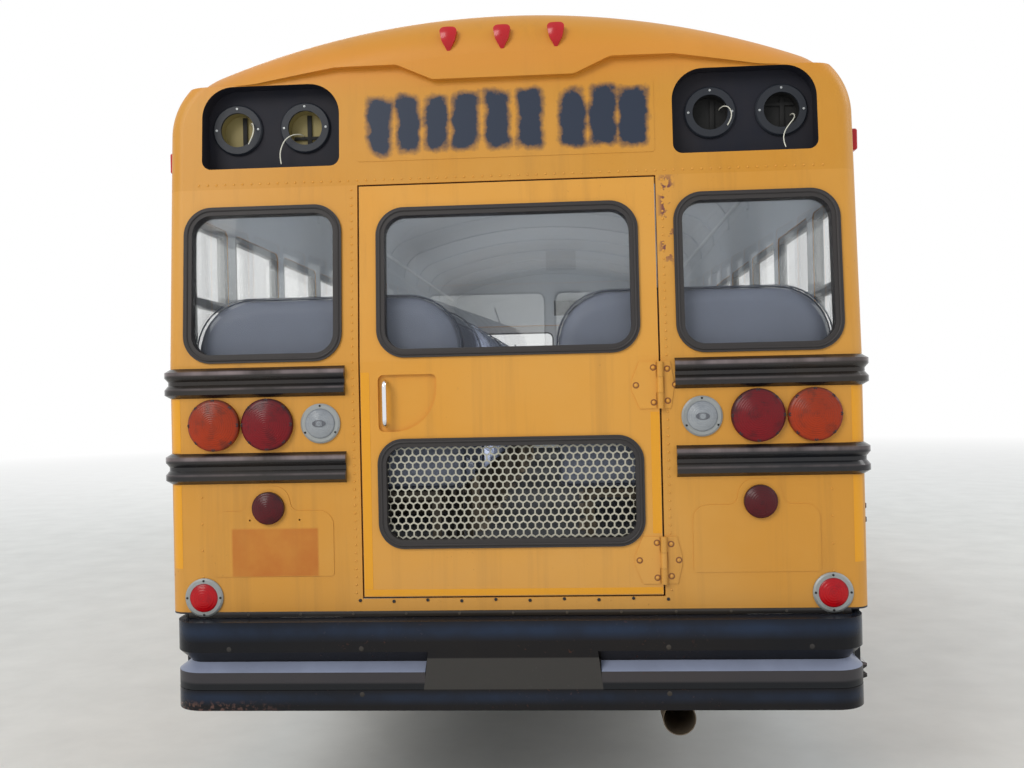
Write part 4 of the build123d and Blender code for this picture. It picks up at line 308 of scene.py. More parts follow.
def new_group(name, inputs, outputs):
    """A shader node group with named sockets: the tree, its way in and its way out."""
    tree = bpy.data.node_groups.new(name, "ShaderNodeTree")
    for label, kind, value in inputs:
        socket = tree.interface.new_socket(label, in_out="INPUT", socket_type="NodeSocket" + kind)
        socket.default_value = value
    for label, kind in outputs:
        tree.interface.new_socket(label, in_out="OUTPUT", socket_type="NodeSocket" + kind)
    return tree, tree.nodes.new("NodeGroupInput"), tree.nodes.new("NodeGroupOutput")


print("shader helpers ready")

# %% [markdown]
# Weather. Every outside finish of an old bus shows the same four things: the sun bleaches it in
# broad patches, rain draws thin grey streaks down it, road dust clings low down, and rust starts in
# small specks. One node group does all four over any colour, and each material says how much of
# each it has. It reads the point on the piece itself, so that the marks ride along when a door opens.

# %% Node group: weather
CHALK = srgb(224, 182, 112)
GRIME = srgb(60, 48, 38)
ROAD_DUST = srgb(150, 138, 120)
RUST = srgb(92, 48, 26)

weather, way_in, way_out = new_group(
    "weather",
    [("Color", "Color", (0.5, 0.5, 0.5, 1.0)), ("Bleach", "Float", 0.3), ("Streaks", "Float", 0.3),
     ("Dust", "Float", 0.3), ("Rust", "Float", 0.0)],
    [("Color", "Color"), ("Roughness", "Float"), ("Height", "Float")])
where, _, _, up = own_place(weather)
patches = remap(weather, mottle(weather, where, 0.9, 5.0), 0.38, 0.68)
bleached = maths(weather, "MULTIPLY", patches, way_in.outputs["Bleach"])
thin = remap(weather, mottle(weather, where, 1.0, 6.0, 0.65, (11.0, 11.0, 0.45)), 0.52, 0.78)
streaked = maths(weather, "MULTIPLY", thin, way_in.outputs["Streaks"])
low_down = remap(weather, up, 1.5, 0.35)
clinging = remap(weather, mottle(weather, where, 5.0, 5.0), 0.25, 0.75, 0.35, 1.0)
dusty = maths(weather, "MULTIPLY", maths(weather, "MULTIPLY", low_down, clinging), way_in.outputs["Dust"])
specks = remap(weather, mottle(weather, where, 70.0, 3.0), 0.66, 0.72)
colonies = remap(weather, mottle(weather, where, 2.6, 3.0), 0.52, 0.62)
rusty = maths(weather, "MULTIPLY", maths(weather, "MULTIPLY", specks, colonies), way_in.outputs["Rust"])
tone = mixed(weather, bleached, way_in.outputs["Color"], CHALK)
tone = mixed(weather, streaked, tone, GRIME)
tone = mixed(weather, dusty, tone, ROAD_DUST)
tone = mixed(weather, rusty, tone, RUST)
weather.links.new(tone, way_out.inputs["Color"])
dulled = maths(weather, "ADD", maths(weather, "MULTIPLY", bleached, 0.18),
               maths(weather, "MULTIPLY", dusty, 0.45))
dulled = maths(weather, "ADD", dulled, maths(weather, "MULTIPLY", rusty, 0.4))
weather.links.new(dulled, way_out.inputs["Roughness"])
skin = mottle(weather, where, 190.0, 2.0)
raised = maths(weather, "ADD", maths(weather, "MULTIPLY", skin, 0.5), rusty)
weather.links.new(raised, way_out.inputs["Height"])
print("group", weather.name, "with", len(weather.nodes), "nodes")

# %% [markdown]
# Grain. Moulded rubber, plastic and seat vinyl have a pebbled skin. The group gives the pebbles'
# height from small cells, and a slow change of shade, both at a size that the material sets.

# %% Node group: grain
grain, way_in, way_out = new_group(
    "grain", [("Color", "Color", (0.5, 0.5, 0.5, 1.0)), ("Scale", "Float", 300.0), ("Shade", "Float", 0.2)],
    [("Color", "Color"), ("Height", "Float"), ("Mask", "Float")])
where, _, _, _ = own_place(grain)
cells = grain.nodes.new("ShaderNodeTexVoronoi")
cells.feature = "SMOOTH_F1"
grain.links.new(where, cells.inputs["Vector"])
grain.links.new(way_in.outputs["Scale"], cells.inputs["Scale"])
cloud = mottle(grain, where, 7.0, 5.0)
shade = remap(grain, cloud, 0.3, 0.7)
lifted = mixed(grain, 1.0, way_in.outputs["Color"], (1.45, 1.45, 1.45, 1.0), "MULTIPLY")
share = maths(grain, "MULTIPLY", shade, way_in.outputs["Shade"])
grain.links.new(mixed(grain, share, way_in.outputs["Color"], lifted), way_out.inputs["Color"])
grain.links.new(cells.outputs["Distance"], way_out.inputs["Height"])
grain.links.new(shade, way_out.inputs["Mask"])
print("group", grain.name, "with", len(grain.nodes), "nodes")

# %% [markdown]
# A finish is one Principled shader fed by the groups. `painted` makes an outside finish with the
# weather on it, and `moulded` a grained one. A pattern, where there is one, is a function that
# lays its marks over the colour made so far.

# %% Two kinds of finish
COAT_ROUGH, METAL_SHINE, BUMP_DEEP, GRAIN_DULLS = 0.15, 0.5, 0.001, 0.12


def new_finish(name, roughness, metallic, coat, shine=0.35):
    """A material with one Principled shader and its plain values."""
    material = bpy.data.materials.new(name)
    material.use_nodes = True
    shader = material.node_tree.nodes["Principled BSDF"]
    shader.inputs["Roughness"].default_value = roughness
    shader.inputs["Metallic"].default_value = metallic
    shader.inputs["Coat Weight"].default_value = coat
    shader.inputs["Coat Roughness"].default_value = COAT_ROUGH
    shader.inputs["Specular IOR Level"].default_value = METAL_SHINE if metallic else shine
    return material, material.node_tree, shader


def bumped(tree, shader, height, strength):
    """Turns a height into small dents and rises, at most a millimetre deep."""
    bump = tree.nodes.new("ShaderNodeBump")
    bump.inputs["Strength"].default_value = strength
    bump.inputs["Distance"].default_value = BUMP_DEEP
    tree.links.new(height, bump.inputs["Height"])
    tree.links.new(bump.outputs[0], shader.inputs["Normal"])


def painted(name, colour, roughness, metallic=0.0, coat=0.0, bleach=0.3, streaks=0.2, dust=0.4,
            rust=0.0, pattern=None, bump=0.15, shine=0.35):
    """A painted or bare metal finish that has stood outside."""
    material, tree, shader = new_finish(name, roughness, metallic, coat, shine)
    aged = tree.nodes.new("ShaderNodeGroup")
    aged.node_tree = weather
    feed(tree, aged.inputs["Color"], colour)
    for label, amount in (("Bleach", bleach), ("Streaks", streaks), ("Dust", dust), ("Rust", rust)):
        aged.inputs[label].default_value = amount
    tone = pattern(tree, aged.outputs["Color"]) if pattern else aged.outputs["Color"]
    tree.links.new(tone, shader.inputs["Base Color"])
    dull = maths(tree, "ADD", aged.outputs["Roughness"], roughness, clamp=True)
    tree.links.new(dull, shader.inputs["Roughness"])
    bumped(tree, shader, aged.outputs["Height"], bump)
    return material


def moulded(name, colour, roughness, scale, shade, bump, coat=0.0, metallic=0.0, pattern=None, shine=0.35):
    """A moulded or sewn finish with a pebbled skin."""
    material, tree, shader = new_finish(name, roughness, metallic, coat, shine)
    pebbled = tree.nodes.new("ShaderNodeGroup")
    pebbled.node_tree = grain
    feed(tree, pebbled.inputs["Color"], pattern(tree, colour) if pattern else colour)
    pebbled.inputs["Scale"].default_value = scale
    pebbled.inputs["Shade"].default_value = shade
    tree.links.new(pebbled.outputs["Color"], shader.inputs["Base Color"])
    dull = remap(tree, pebbled.outputs["Mask"], 0.0, 1.0, roughness, min(1.0, roughness + GRAIN_DULLS))
    tree.links.new(dull, shader.inputs["Roughness"])
    bumped(tree, shader, pebbled.outputs["Height"], bump)
    return material


print("finish makers ready")

# %% [markdown]
# Bus yellow. The body is one colour, but three places differ. The left lower panel keeps a deeper
# patch where a plate was screwed on for years, and purple-brown spots show beside the right window.
# The header carries painted shade of the brow, a more orange band just under it, and its sign has
# been sprayed over in blue, stroke by stroke, so that nothing can be read there.

# %% The yellow finishes
YELLOW = srgb(212, 147, 48)
REAR_YELLOW = srgb(202, 140, 45)
HEADER_YELLOW = srgb(196, 134, 34)
DEEP_ORANGE = srgb(180, 103, 28)
BROW_SHADE_ORANGE = srgb(210, 136, 48)
SPRAY_BLUE = srgb(26, 38, 58)
SPOT_BROWN = srgb(112, 66, 62)
FOOT_BLACK = srgb(22, 24, 30)
FOOT_TOP, FOOT_BACK = 0.936, REAR_Y + 0.235
SEAM_PITCH, SEAM_FIRST, SEAM_WIDE, SEAM_SHARE = 0.711, -4.580, 0.0022, 0.55
SEAM_LOW, BEHIND_HEADER = EAVE + 0.02, (REAR_Y + 0.30, REAR_Y + 0.25)
PLATE_X, PLATE_Z = (-0.988, -0.680), (1.060, 1.228)
SPOT_X, SPOT_Z = (0.538, 0.584), (2.135, 2.430)
SPRAY_ROWS = (  # middle x, half width, low z, top z of each stroke
    (-0.443, 0.040, 2.546, 2.752), (-0.341, 0.038, 2.550, 2.752), (-0.242, 0.040, 2.553, 2.755),
    (-0.137, 0.045, 2.553, 2.754), (-0.021, 0.043, 2.553, 2.757), (0.091, 0.045, 2.555, 2.759),
    (0.244, 0.041, 2.553, 2.753), (0.350, 0.046, 2.553, 2.759), (0.451, 0.048, 2.549, 2.755),
)


def black_foot(tree, colour):
    """The body's lowest rear edge is sprayed black all round, along with the strip above the bumper."""
    _, _, back, up = own_place(tree)
    foot = maths(tree, "LESS_THAN", up, FOOT_TOP)
    near = maths(tree, "LESS_THAN", back, FOOT_BACK)
    return mixed(tree, maths(tree, "MULTIPLY", foot, near), colour, FOOT_BLACK)


def roof_seams(tree, colour):
    """A dark line where one roof sheet laps the next, over each window post."""
    _, _, back, up = own_place(tree)
    step = maths(tree, "DIVIDE", maths(tree, "SUBTRACT", back, SEAM_FIRST), SEAM_PITCH)
    off = maths(tree, "ABSOLUTE", maths(tree, "SUBTRACT", step, maths(tree, "ROUND", step)))
    line = maths(tree, "LESS_THAN", off, SEAM_WIDE / SEAM_PITCH)
    high = maths(tree, "GREATER_THAN", up, SEAM_LOW)
    share = maths(tree, "MULTIPLY", maths(tree, "MULTIPLY", line, high), SEAM_SHARE)
    return black_foot(tree, mixed(tree, share, colour, GRIME))


def plate_patch(tree, colour):
    """The deeper patch that a plate left behind, and the spots beside the right window."""
    where, across, _, up = own_place(tree)
    worn = remap(tree, mottle(tree, where, 9.0, 5.0), 0.3, 0.7, 0.55, 1.0)
    patch = maths(tree, "MULTIPLY", between(tree, across, *PLATE_X, 0.004),
                  between(tree, up, *PLATE_Z, 0.004))
    colour = mixed(tree, maths(tree, "MULTIPLY", patch, worn), colour, DEEP_ORANGE)
    strip = maths(tree, "MULTIPLY", between(tree, across, *SPOT_X, 0.010), between(tree, up, *SPOT_Z, 0.03))
    blots = remap(tree, mottle(tree, where, 22.0, 3.0), 0.56, 0.60)
    return black_foot(tree, mixed(tree, maths(tree, "MULTIPLY", strip, blots), colour, SPOT_BROWN))


def sprayed_sign(tree, colour):
    """Blue strokes with soft, uneven borders over the sign, and a more orange band of painted shade under
    the brow.
    """
    where, across, back, up = own_place(tree)
    uneven = remap(tree, mottle(tree, where, 13.0, 4.0), 0.25, 0.75, -0.016, 0.016)
    strokes = 0.0
    for middle, half, low, top in SPRAY_ROWS:
        aside = maths(tree, "ABSOLUTE", maths(tree, "SUBTRACT", across, middle))
        reach = maths(tree, "SUBTRACT", aside, half)
        off = maths(tree, "ABSOLUTE", maths(tree, "SUBTRACT", up, (low + top) / 2))
        rise = maths(tree, "SUBTRACT", off, (top - low) / 2)
        edge = maths(tree, "ADD", maths(tree, "SMOOTH_MAX", reach, rise, 0.05), uneven)
        strokes = maths(tree, "MAXIMUM", remap(tree, edge, 0.014, -0.008), strokes)
    behind = remap(tree, back, *BEHIND_HEADER)
    strokes = maths(tree, "MULTIPLY", strokes, behind)
    # Painted shade of the brow: the header turns more orange in a band just under it.
    bright = between(tree, up, 2.80, 2.95, 0.05)
    bright = maths(tree, "MULTIPLY", maths(tree, "MULTIPLY", bright, behind), 0.6)
    colour = mixed(tree, bright, colour, BROW_SHADE_ORANGE)
    return mixed(tree, strokes, colour, SPRAY_BLUE)


PAINT = {
    "bus_yellow": painted("bus_yellow", YELLOW, 0.42, coat=0.05, bleach=0.22, streaks=0.22, dust=0.30,
                          rust=0.25, pattern=roof_seams),
    "rear_yellow": painted("rear_yellow", REAR_YELLOW, 0.42, coat=0.05, bleach=0.22, streaks=0.24, dust=0.16,
                           rust=0.35, pattern=plate_patch),
    "header_yellow": painted("header_yellow", HEADER_YELLOW, 0.44, coat=0.04, bleach=0.20, streaks=0.16,
                             dust=0.0, rust=0.1, pattern=sprayed_sign),
}
print("yellows:", sorted(PAINT))

# %% [markdown]
# Rear lamps. All ten stand in mirrored pairs, so a pair needs one distance from the middle, one
# height and one radius. The patterns below and the lenses further down share these numbers.

# %% Places of the rear lamps
LAMP_Z, AMBER_X, RED_X, MAIN_R = 1.595, 1.043, 0.852, 0.0915
CLEAR_X, CLEAR_R = 0.663, 0.052
LOW_X, LOW_Z, LOW_R = 1.091, 0.988, 0.050
BRAKE_X, BRAKE_Z, BRAKE_R = 0.854, 1.301, 0.057
print("main lenses:", round(2 * MAIN_R, 3), "m across, with", round(AMBER_X - RED_X, 3), "m between middles")

# %% [markdown]
# Marks. The bumper is scuffed in the middle and rusty at its left end, and its ribs are painted
# bluer where they face the sky, a painted sky reflection. The rails carry painted highlights along
# their ridges. Lenses have fine moulded lines, which are drawn as colour here because they are
# thinner than the rings modelled further down; painted shade dulls their upper halves.

# %% Patterns of the bumper and the lenses
PAD_HALF, PAD_SLANT, PAD_FOOT, PAD_Z = 0.310, 0.030 / 0.243, 0.642, (0.684, 0.790)
TOP_RIB_Z, LOW_RIB_Z, LOW_RIB_SHEEN_SHARE = (0.862, 0.906), (0.640, 0.672), 0.75
EDGE_FADE_X, EDGE_FADE_Z = (-0.75, -1.05), (0.650, 0.625)
STEP_TOP, STEP_SHADE_Z = 0.7425, (0.710, 0.702)
# The blue of the ribs is a painted sky reflection.
PAD_GREY, PAINTED_SHEEN_BLUE, EDGE_RUST = srgb(60, 58, 56), srgb(34, 46, 66), srgb(92, 68, 62)
# On the step, the pale blue is a painted sky reflection and the dark is a painted shadow.
STEP_GREY, STEP_PAINTED_SHADOW, PAINTED_REFLECTION_BLUE = srgb(52, 51, 56), srgb(20, 22, 26), srgb(137, 145, 168)
RAIL_HEIGHTS = ((1.691, 1.797), (1.387, 1.496), (1.200, 1.285), (0.648, 0.712))
# Pale lines along the rails' ridges are painted highlights.
RAIL_GLINTS = ((0.77, 0.90, 0.68), (0.28, 0.32, 0.40))  # start, end, strength
GLINT = srgb(158, 142, 144)
RING_PITCH, LINE_PITCH = 0.0072, 0.0052


def bumper_marks(tree, colour):
    """A scuffed grey pad in the middle, painted blue sky reflection on both ribs, rust along the left lower
    edge.
    """
    where, across, _, up = own_place(tree)
    # Painted reflection: both ribs are mixed towards a blue where they face the sky.
    low_rib = maths(tree, "MULTIPLY", between(tree, up, *LOW_RIB_Z, 0.010), LOW_RIB_SHEEN_SHARE)
    ribs = maths(tree, "MAXIMUM", between(tree, up, *TOP_RIB_Z, 0.016), low_rib)
    cloudy = remap(tree, mottle(tree, where, 3.5, 4.0), 0.35, 0.65, 0.35, 1.0)
    colour = mixed(tree, maths(tree, "MULTIPLY", ribs, cloudy), colour, PAINTED_SHEEN_BLUE)
    drawn_in = maths(tree, "MULTIPLY", maths(tree, "SUBTRACT", up, PAD_FOOT), PAD_SLANT)
    side = maths(tree, "SUBTRACT", PAD_HALF, drawn_in)
    inside = maths(tree, "LESS_THAN", maths(tree, "ABSOLUTE", across), side)
    pad = maths(tree, "MULTIPLY", inside, between(tree, up, *PAD_Z, 0.002))
    colour = mixed(tree, pad, colour, PAD_GREY)
    edge = maths(tree, "MULTIPLY", remap(tree, across, *EDGE_FADE_X), remap(tree, up, *EDGE_FADE_Z))
    spots = remap(tree, mottle(tree, where, 70.0, 4.0), 0.50, 0.60)
    return mixed(tree, maths(tree, "MULTIPLY", edge, spots), colour, EDGE_RUST)


def rail_glints(tree, colour):
    """Painted highlight lines along the two ridges of each rail."""
    where, _, _, up = own_place(tree)
    cloudy = remap(tree, mottle(tree, where, 6.0, 4.0, 0.6, (1.0, 1.0, 0.1)), 0.35, 0.65, 0.2, 1.0)
    lines = 0.0
    for low, high in RAIL_HEIGHTS:
        tall = high - low
        for start, end, strength in RAIL_GLINTS:
            line = between(tree, up, low + start * tall, low + end * tall, 0.03 * tall)
            lines = maths(tree, "MAXIMUM", maths(tree, "MULTIPLY", line, strength), lines)
    return mixed(tree, maths(tree, "MULTIPLY", lines, cloudy), colour, GLINT)


def step_band(tree, colour):
    """The channel's step: painted sky reflection on its upper slope, a scuffed grey face, painted shadow at
    its foot.
    """
    where, _, _, up = own_place(tree)
    cloudy = remap(tree, mottle(tree, where, 4.0, 4.0), 0.3, 0.7, 0.75, 1.0)
    band = maths(tree, "MULTIPLY", maths(tree, "GREATER_THAN", up, STEP_TOP), cloudy)
    # Painted shadow towards the foot of the face, then painted sky reflection on the upper slope.
    colour = mixed(tree, remap(tree, up, *STEP_SHADE_Z), colour, STEP_PAINTED_SHADOW)
    return mixed(tree, band, colour, PAINTED_REFLECTION_BLUE)


def moulded_rings(middle_x, middle_z, radius, dull):
    """Fine rings and level lines in a lens, and painted shade that dulls its upper half; made for both sides
    at once.
    """
    def pattern(tree, colour):
        """The marks of one lens, from the distance to its middle."""
        where, across, _, up = own_place(tree)
        out = maths(tree, "SUBTRACT", maths(tree, "ABSOLUTE", across), middle_x)
        rise = maths(tree, "SUBTRACT", up, middle_z)
        reach = maths(tree, "SQRT", maths(tree, "ADD", maths(tree, "MULTIPLY", out, out),
                                          maths(tree, "MULTIPLY", rise, rise)))
        rings = maths(tree, "SINE", maths(tree, "MULTIPLY", reach, 2 * pi / RING_PITCH))
        rows = maths(tree, "SINE", maths(tree, "MULTIPLY", rise, 2 * pi / LINE_PITCH))
        fine = remap(tree, maths(tree, "ADD", rings, rows), -2.0, 2.0, 0.0, 0.35)
        # Painted shade: the lens is mixed towards the dull colour in its upper half.
        above = remap(tree, rise, -0.4 * radius, radius, 0.0, 0.45)
        border = remap(tree, reach, radius * 0.90, radius * 0.98, 0.0, 0.4)
        blots = remap(tree, mottle(tree, where, 24.0, 4.0), 0.50, 0.72, 0.0, 0.5)
        share = maths(tree, "ADD", maths(tree, "ADD", fine, above),
                      maths(tree, "ADD", border, blots), clamp=True)
        return mixed(tree, share, colour, dull)
    return pattern


print("patterns ready")

# %% [markdown]
# Metal and enamel. Rails and bumper are black enamel, glossy enough to mirror the ground. The lamp
# pockets are sprayed navy, the cabin is pale grey enamel, and below the floor everything is black
# with dust on it. Each row gives a colour, a roughness and what the weather did to it.

# %% Metal and enamel
ENAMEL = dict(coat=0.30, bleach=0.03, streaks=0.06, dust=0.08, rust=0.15, shine=0.25)
PAINTED = {
    "black_enamel": (srgb(18, 19, 24), 0.20, ENAMEL),
    "rail_enamel": (srgb(18, 19, 24), 0.20, dict(ENAMEL, pattern=rail_glints)),
    "bumper_enamel": (srgb(10, 13, 20), 0.26, dict(coat=0.10, bleach=0.01, streaks=0.02, dust=0.015,
                                                   rust=0.35, shine=0.12, pattern=bumper_marks)),
    "step_enamel": (STEP_GREY, 0.40, dict(coat=0.05, bleach=0.02, streaks=0.05, dust=0.02, rust=0.2,
                                          shine=0.2, pattern=step_band)),
    "pocket_navy": (srgb(22, 26, 38), 0.6, dict(bleach=0.03, streaks=0.06, dust=0.0, shine=0.2)),
    "cabin_grey": (srgb(184, 190, 196), 0.42, dict(bleach=0.05, streaks=0.05, dust=0.0, bump=0.08)),
    "chassis_black": (srgb(40, 39, 38), 0.62, dict(bleach=0.06, streaks=0.1, dust=0.55, rust=0.8)),
    "rim_black": (srgb(34, 34, 35), 0.42, dict(coat=0.2, bleach=0.05, streaks=0.0, dust=0.28, rust=0.5)),
    "zinc": (srgb(180, 184, 186), 0.42, dict(metallic=0.45, bleach=0.06, streaks=0.1, dust=0.1, rust=0.2)),
    "sash_metal": (srgb(120, 124, 128), 0.4, dict(metallic=0.5, bleach=0.05, streaks=0.1, dust=0.0)),
    "chrome": (srgb(226, 228, 232), 0.1, dict(metallic=1.0, bleach=0.0, streaks=0.05, dust=0.05, rust=0.1)),
    "engine_iron": (srgb(86, 84, 80), 0.6, dict(metallic=0.3, streaks=0.3, dust=0.3, rust=0.8)),
    "exhaust_rust": (srgb(74, 68, 64), 0.65, dict(metallic=0.35, streaks=0.3, dust=0.3, rust=1.0, bump=0.5)),
    "guard_grey": (srgb(176, 174, 160), 0.5, dict(metallic=0.1, bleach=0.06, streaks=0.2, dust=0.03)),
    "mirror_face": (srgb(235, 238, 240), 0.03, dict(metallic=1.0, bleach=0.0, streaks=0.02, dust=0.0,
                                                    bump=0.0)),
    "reflective_tape": (srgb(222, 152, 6), 0.3, dict(coat=0.3, bleach=0.0, streaks=0.10, dust=0.0)),
    "bezel_zinc": (srgb(146, 150, 150), 0.46, dict(metallic=0.3, bleach=0.04, streaks=0.3, dust=0.1,
                                                   rust=0.1)),
    "bolt_rust": (srgb(126, 72, 34), 0.6, dict(bleach=0.1, streaks=0.4, dust=0.1, rust=1.0)),
}
for name, (colour, roughness, weathered) in PAINTED.items():
    PAINT[name] = painted(name, colour, roughness, **weathered)
print(len(PAINTED), "metal and enamel finishes")

# %% [markdown]
# Plastic, rubber and cloth. Each row gives a colour, a roughness and the grain: pebbles to a metre,
# change of shade and height. Lenses are thick coloured plastic with fine grain and a thin clear coat.

# %% Plastic, rubber and cloth
LENS_GRAIN = (700.0, 0.3, 0.05)
MAIN_LENS = dict(coat=0.10, shine=0.2)
MOULDED = {
    "gasket_rubber": (srgb(46, 43, 43), 0.5, (420.0, 0.3, 0.15), {}),
    "tyre_rubber": (srgb(48, 47, 46), 0.75, (260.0, 0.4, 0.3), {}),
    "floor_rubber": (srgb(44, 45, 46), 0.7, (120.0, 0.4, 0.5), {}),
    "socket_plastic": (srgb(30, 34, 42), 0.4, (500.0, 0.2, 0.1), {}),
    "socket_cavity": (srgb(24, 24, 24), 0.7, (200.0, 0.2, 0.1), {}),
    "bulkhead_olive": (srgb(134, 122, 78), 0.5, (60.0, 0.5, 0.1), {}),
    "dash_plastic": (srgb(52, 54, 58), 0.6, (360.0, 0.2, 0.2), {}),
    "seat_vinyl": (srgb(104, 110, 126), 0.46, (520.0, 0.22, 0.22), {}),
    "seam_vinyl": (srgb(66, 71, 84), 0.6, (520.0, 0.2, 0.2), dict(shine=0.2)),
    "driver_cloth": (srgb(70, 74, 84), 0.85, (800.0, 0.3, 0.3), {}),
    "wire_cover": (srgb(214, 212, 198), 0.4, (900.0, 0.15, 0.05), {}),
    "lens_amber": (srgb(162, 47, 4), 0.28, LENS_GRAIN, dict(
        MAIN_LENS, pattern=moulded_rings(AMBER_X, LAMP_Z, MAIN_R, srgb(92, 38, 24)))),
    "lens_red": (srgb(122, 8, 20), 0.28, LENS_GRAIN, dict(
        MAIN_LENS, pattern=moulded_rings(RED_X, LAMP_Z, MAIN_R, srgb(54, 14, 20)))),
    "lens_bright_red": (srgb(184, 4, 14), 0.25, LENS_GRAIN, dict(
        MAIN_LENS, pattern=moulded_rings(LOW_X, LOW_Z, LOW_R, srgb(132, 14, 26)))),
    "lens_maroon": (srgb(84, 12, 20), 0.25, LENS_GRAIN, dict(
        coat=0.12, shine=0.2, pattern=moulded_rings(BRAKE_X, BRAKE_Z, BRAKE_R, srgb(46, 16, 20)))),
    "lens_clear": (srgb(150, 154, 158), 0.25, LENS_GRAIN, dict(
        coat=0.2, shine=0.25, pattern=moulded_rings(CLEAR_X, LAMP_Z, CLEAR_R, srgb(116, 121, 128)))),
    "bulb_shade": (srgb(88, 90, 96), 0.4, LENS_GRAIN, {}),
    "lamp_bulb": (srgb(44, 34, 38), 0.4, LENS_GRAIN, {}),
    "marker_red": (srgb(172, 8, 22), 0.25, (700.0, 0.4, 0.05), dict(coat=0.3, shine=0.25)),
    "marker_amber": (srgb(206, 106, 24), 0.22, LENS_GRAIN, dict(coat=0.5)),
    "headlamp_face": (srgb(196, 200, 204), 0.14, (180.0, 0.4, 0.3), dict(coat=1.0, metallic=0.5)),
    "strip_light": (srgb(206, 210, 212), 0.4, (300.0, 0.1, 0.05), {}),
}
for name, (colour, roughness, pebbles, rest) in MOULDED.items():
    PAINT[name] = moulded(name, colour, roughness, *pebbles, **rest)
for wire in WIRES.values():
    wire.data.materials.append(PAINT["wire_cover"])
print(len(MOULDED), "moulded and sewn finishes")

# %% [markdown]
# Glass. A real pane reflects the sky and lets the cabin show. The pane here is part glass and part
# plain see-through, set by Alpha, because light has to reach the seats through it. A dusty film
# makes it a little rougher in patches.

# %% Window glass
def clear_glass(name, colour, dusty_colour, see_through):
    """A clear pane with a dusty film; see_through is the Alpha of its glass part."""
    material, tree, shader = new_finish(name, 0.02, 0.0, 0.0)
    shader.inputs["Base Color"].default_value = colour
    shader.inputs["Transmission Weight"].default_value = 1.0
    shader.inputs["Alpha"].default_value = see_through
    where, _, _, _ = own_place(tree)
    film = remap(tree, mottle(tree, where, 3.0, 5.0), 0.4, 0.75, 0.0, 0.03)
    tree.links.new(film, shader.inputs["Roughness"])
    dusty = remap(tree, mottle(tree, where, 1.7, 3.0), 0.3, 0.7)
    tree.links.new(mixed(tree, dusty, colour, dusty_colour), shader.inputs["Base Color"])
    return material


PAINT["window_glass"] = clear_glass("window_glass", srgb(226, 232, 230), srgb(214, 218, 214), 0.22)
print("glass:", [n for n in PAINT if "glass" in n])

# %% [markdown]
# Stop sign. The folding sign is a red octagon with a white border. The border is found from the
# distance to the octagon's sides: the larger of the two straight distances and the slanted one.

# %% The stop sign's finish
STOP_MIDDLE_Y, STOP_MIDDLE_Z = 2.2115, 1.592
STOP_BORDER, STOP_EDGE = 0.205, 0.222
SIGN_RED, SIGN_WHITE = srgb(176, 34, 38), srgb(226, 226, 220)


def octagon(tree, colour):
    """A white border just inside the sign's eight sides."""
    _, _, along, up = own_place(tree)
    out = maths(tree, "ABSOLUTE", maths(tree, "SUBTRACT", along, STOP_MIDDLE_Y))
    rise = maths(tree, "ABSOLUTE", maths(tree, "SUBTRACT", up, STOP_MIDDLE_Z))
    slant = maths(tree, "MULTIPLY", maths(tree, "ADD", out, rise), 1 / sqrt(2))
    reach = maths(tree, "MAXIMUM", maths(tree, "MAXIMUM", out, rise), slant)
    return mixed(tree, between(tree, reach, STOP_BORDER, STOP_EDGE, 0.0008), colour, SIGN_WHITE)


PAINT["sign_red"] = painted("sign_red", SIGN_RED, 0.3, coat=0.4, bleach=0.08, streaks=0.1, dust=0.05,
                            pattern=octagon)
print("sign border", round(STOP_EDGE - STOP_BORDER, 3), "m wide")

# %% [markdown]
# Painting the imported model. A node gets one finish here, all over. A few get a second one on part
# of their faces in the next steps. Only a face's material number changes, never its shape.

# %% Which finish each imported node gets
PAINTED_NODES = {
    "rear_yellow": ["rear_wall"],
    "header_yellow": ["rear_cap"],
    "bus_yellow": ["rear_door", "front_cap", "roof", "left_wall", "right_wall", "front_wall",
                   "entry_leaf_front", "entry_leaf_rear", "hood"],
    "rail_enamel": ["rub_rails"],
    "bumper_enamel": ["rear_bumper"],
    "black_enamel": ["front_bumper", "grille", "mirrors"],
    "gasket_rubber": ["body_gaskets", "rear_door_gaskets"],
    "sash_metal": ["window_sashes"],
    "window_glass": ["body_glass", "rear_door_glass", "entry_glass_front", "entry_glass_rear"],
    "chassis_black": ["floor", "chassis_frame", "front_axle", "rear_axle", "leaf_springs", "knuckle_left",
                      "knuckle_right", "tie_rod", "drive_shaft", "fuel_tank", "radiator", "seat_frames"],
    "engine_iron": ["engine_block"],
    "exhaust_rust": ["exhaust"],
    "headlamp_face": ["headlamps"],
    "rim_black": ["rim_front_left", "rim_front_right", "rims_rear_left", "rims_rear_right"],
    "tyre_rubber": ["tyre_front_left", "tyre_front_right", "tyres_rear_left", "tyres_rear_right"],
    "bezel_zinc": ["lamp_bezels"],
    "socket_plastic": ["lamp_sockets"],
    "wire_cover": ["lamp_wires"],
    "lens_amber": ["amber_lamps"],
    "lens_red": ["red_lamps"],
    "lens_clear": ["clear_lamps"],
    "marker_red": ["marker_lamps"],
    "guard_grey": ["rear_door_guard"],
    "chrome": ["rear_door_handle"],
    "seat_vinyl": ["bench_seats"],
    "driver_cloth": ["driver_seat"],
    "dash_plastic": ["dashboard", "steering_wheel"],
    "sign_red": ["stop_arm"],
}
for paint, nodes in PAINTED_NODES.items():
    for node in nodes:
        mesh = NODES[node].data
        mesh.materials.clear()
        mesh.materials.append(PAINT[paint])
        for face in mesh.polygons:
            face.material_index = 0
print("painted nodes:", sum(len(nodes) for nodes in PAINTED_NODES.values()), "of", len(NODES))

# %% [markdown]
# Second finishes. Each test below gets a face's middle and its direction, and says whether the face
# belongs to the cabin, to a lamp recess or to a lamp bore. A face belongs to the cabin when it looks
# towards the nearest point of the space that the passengers use.

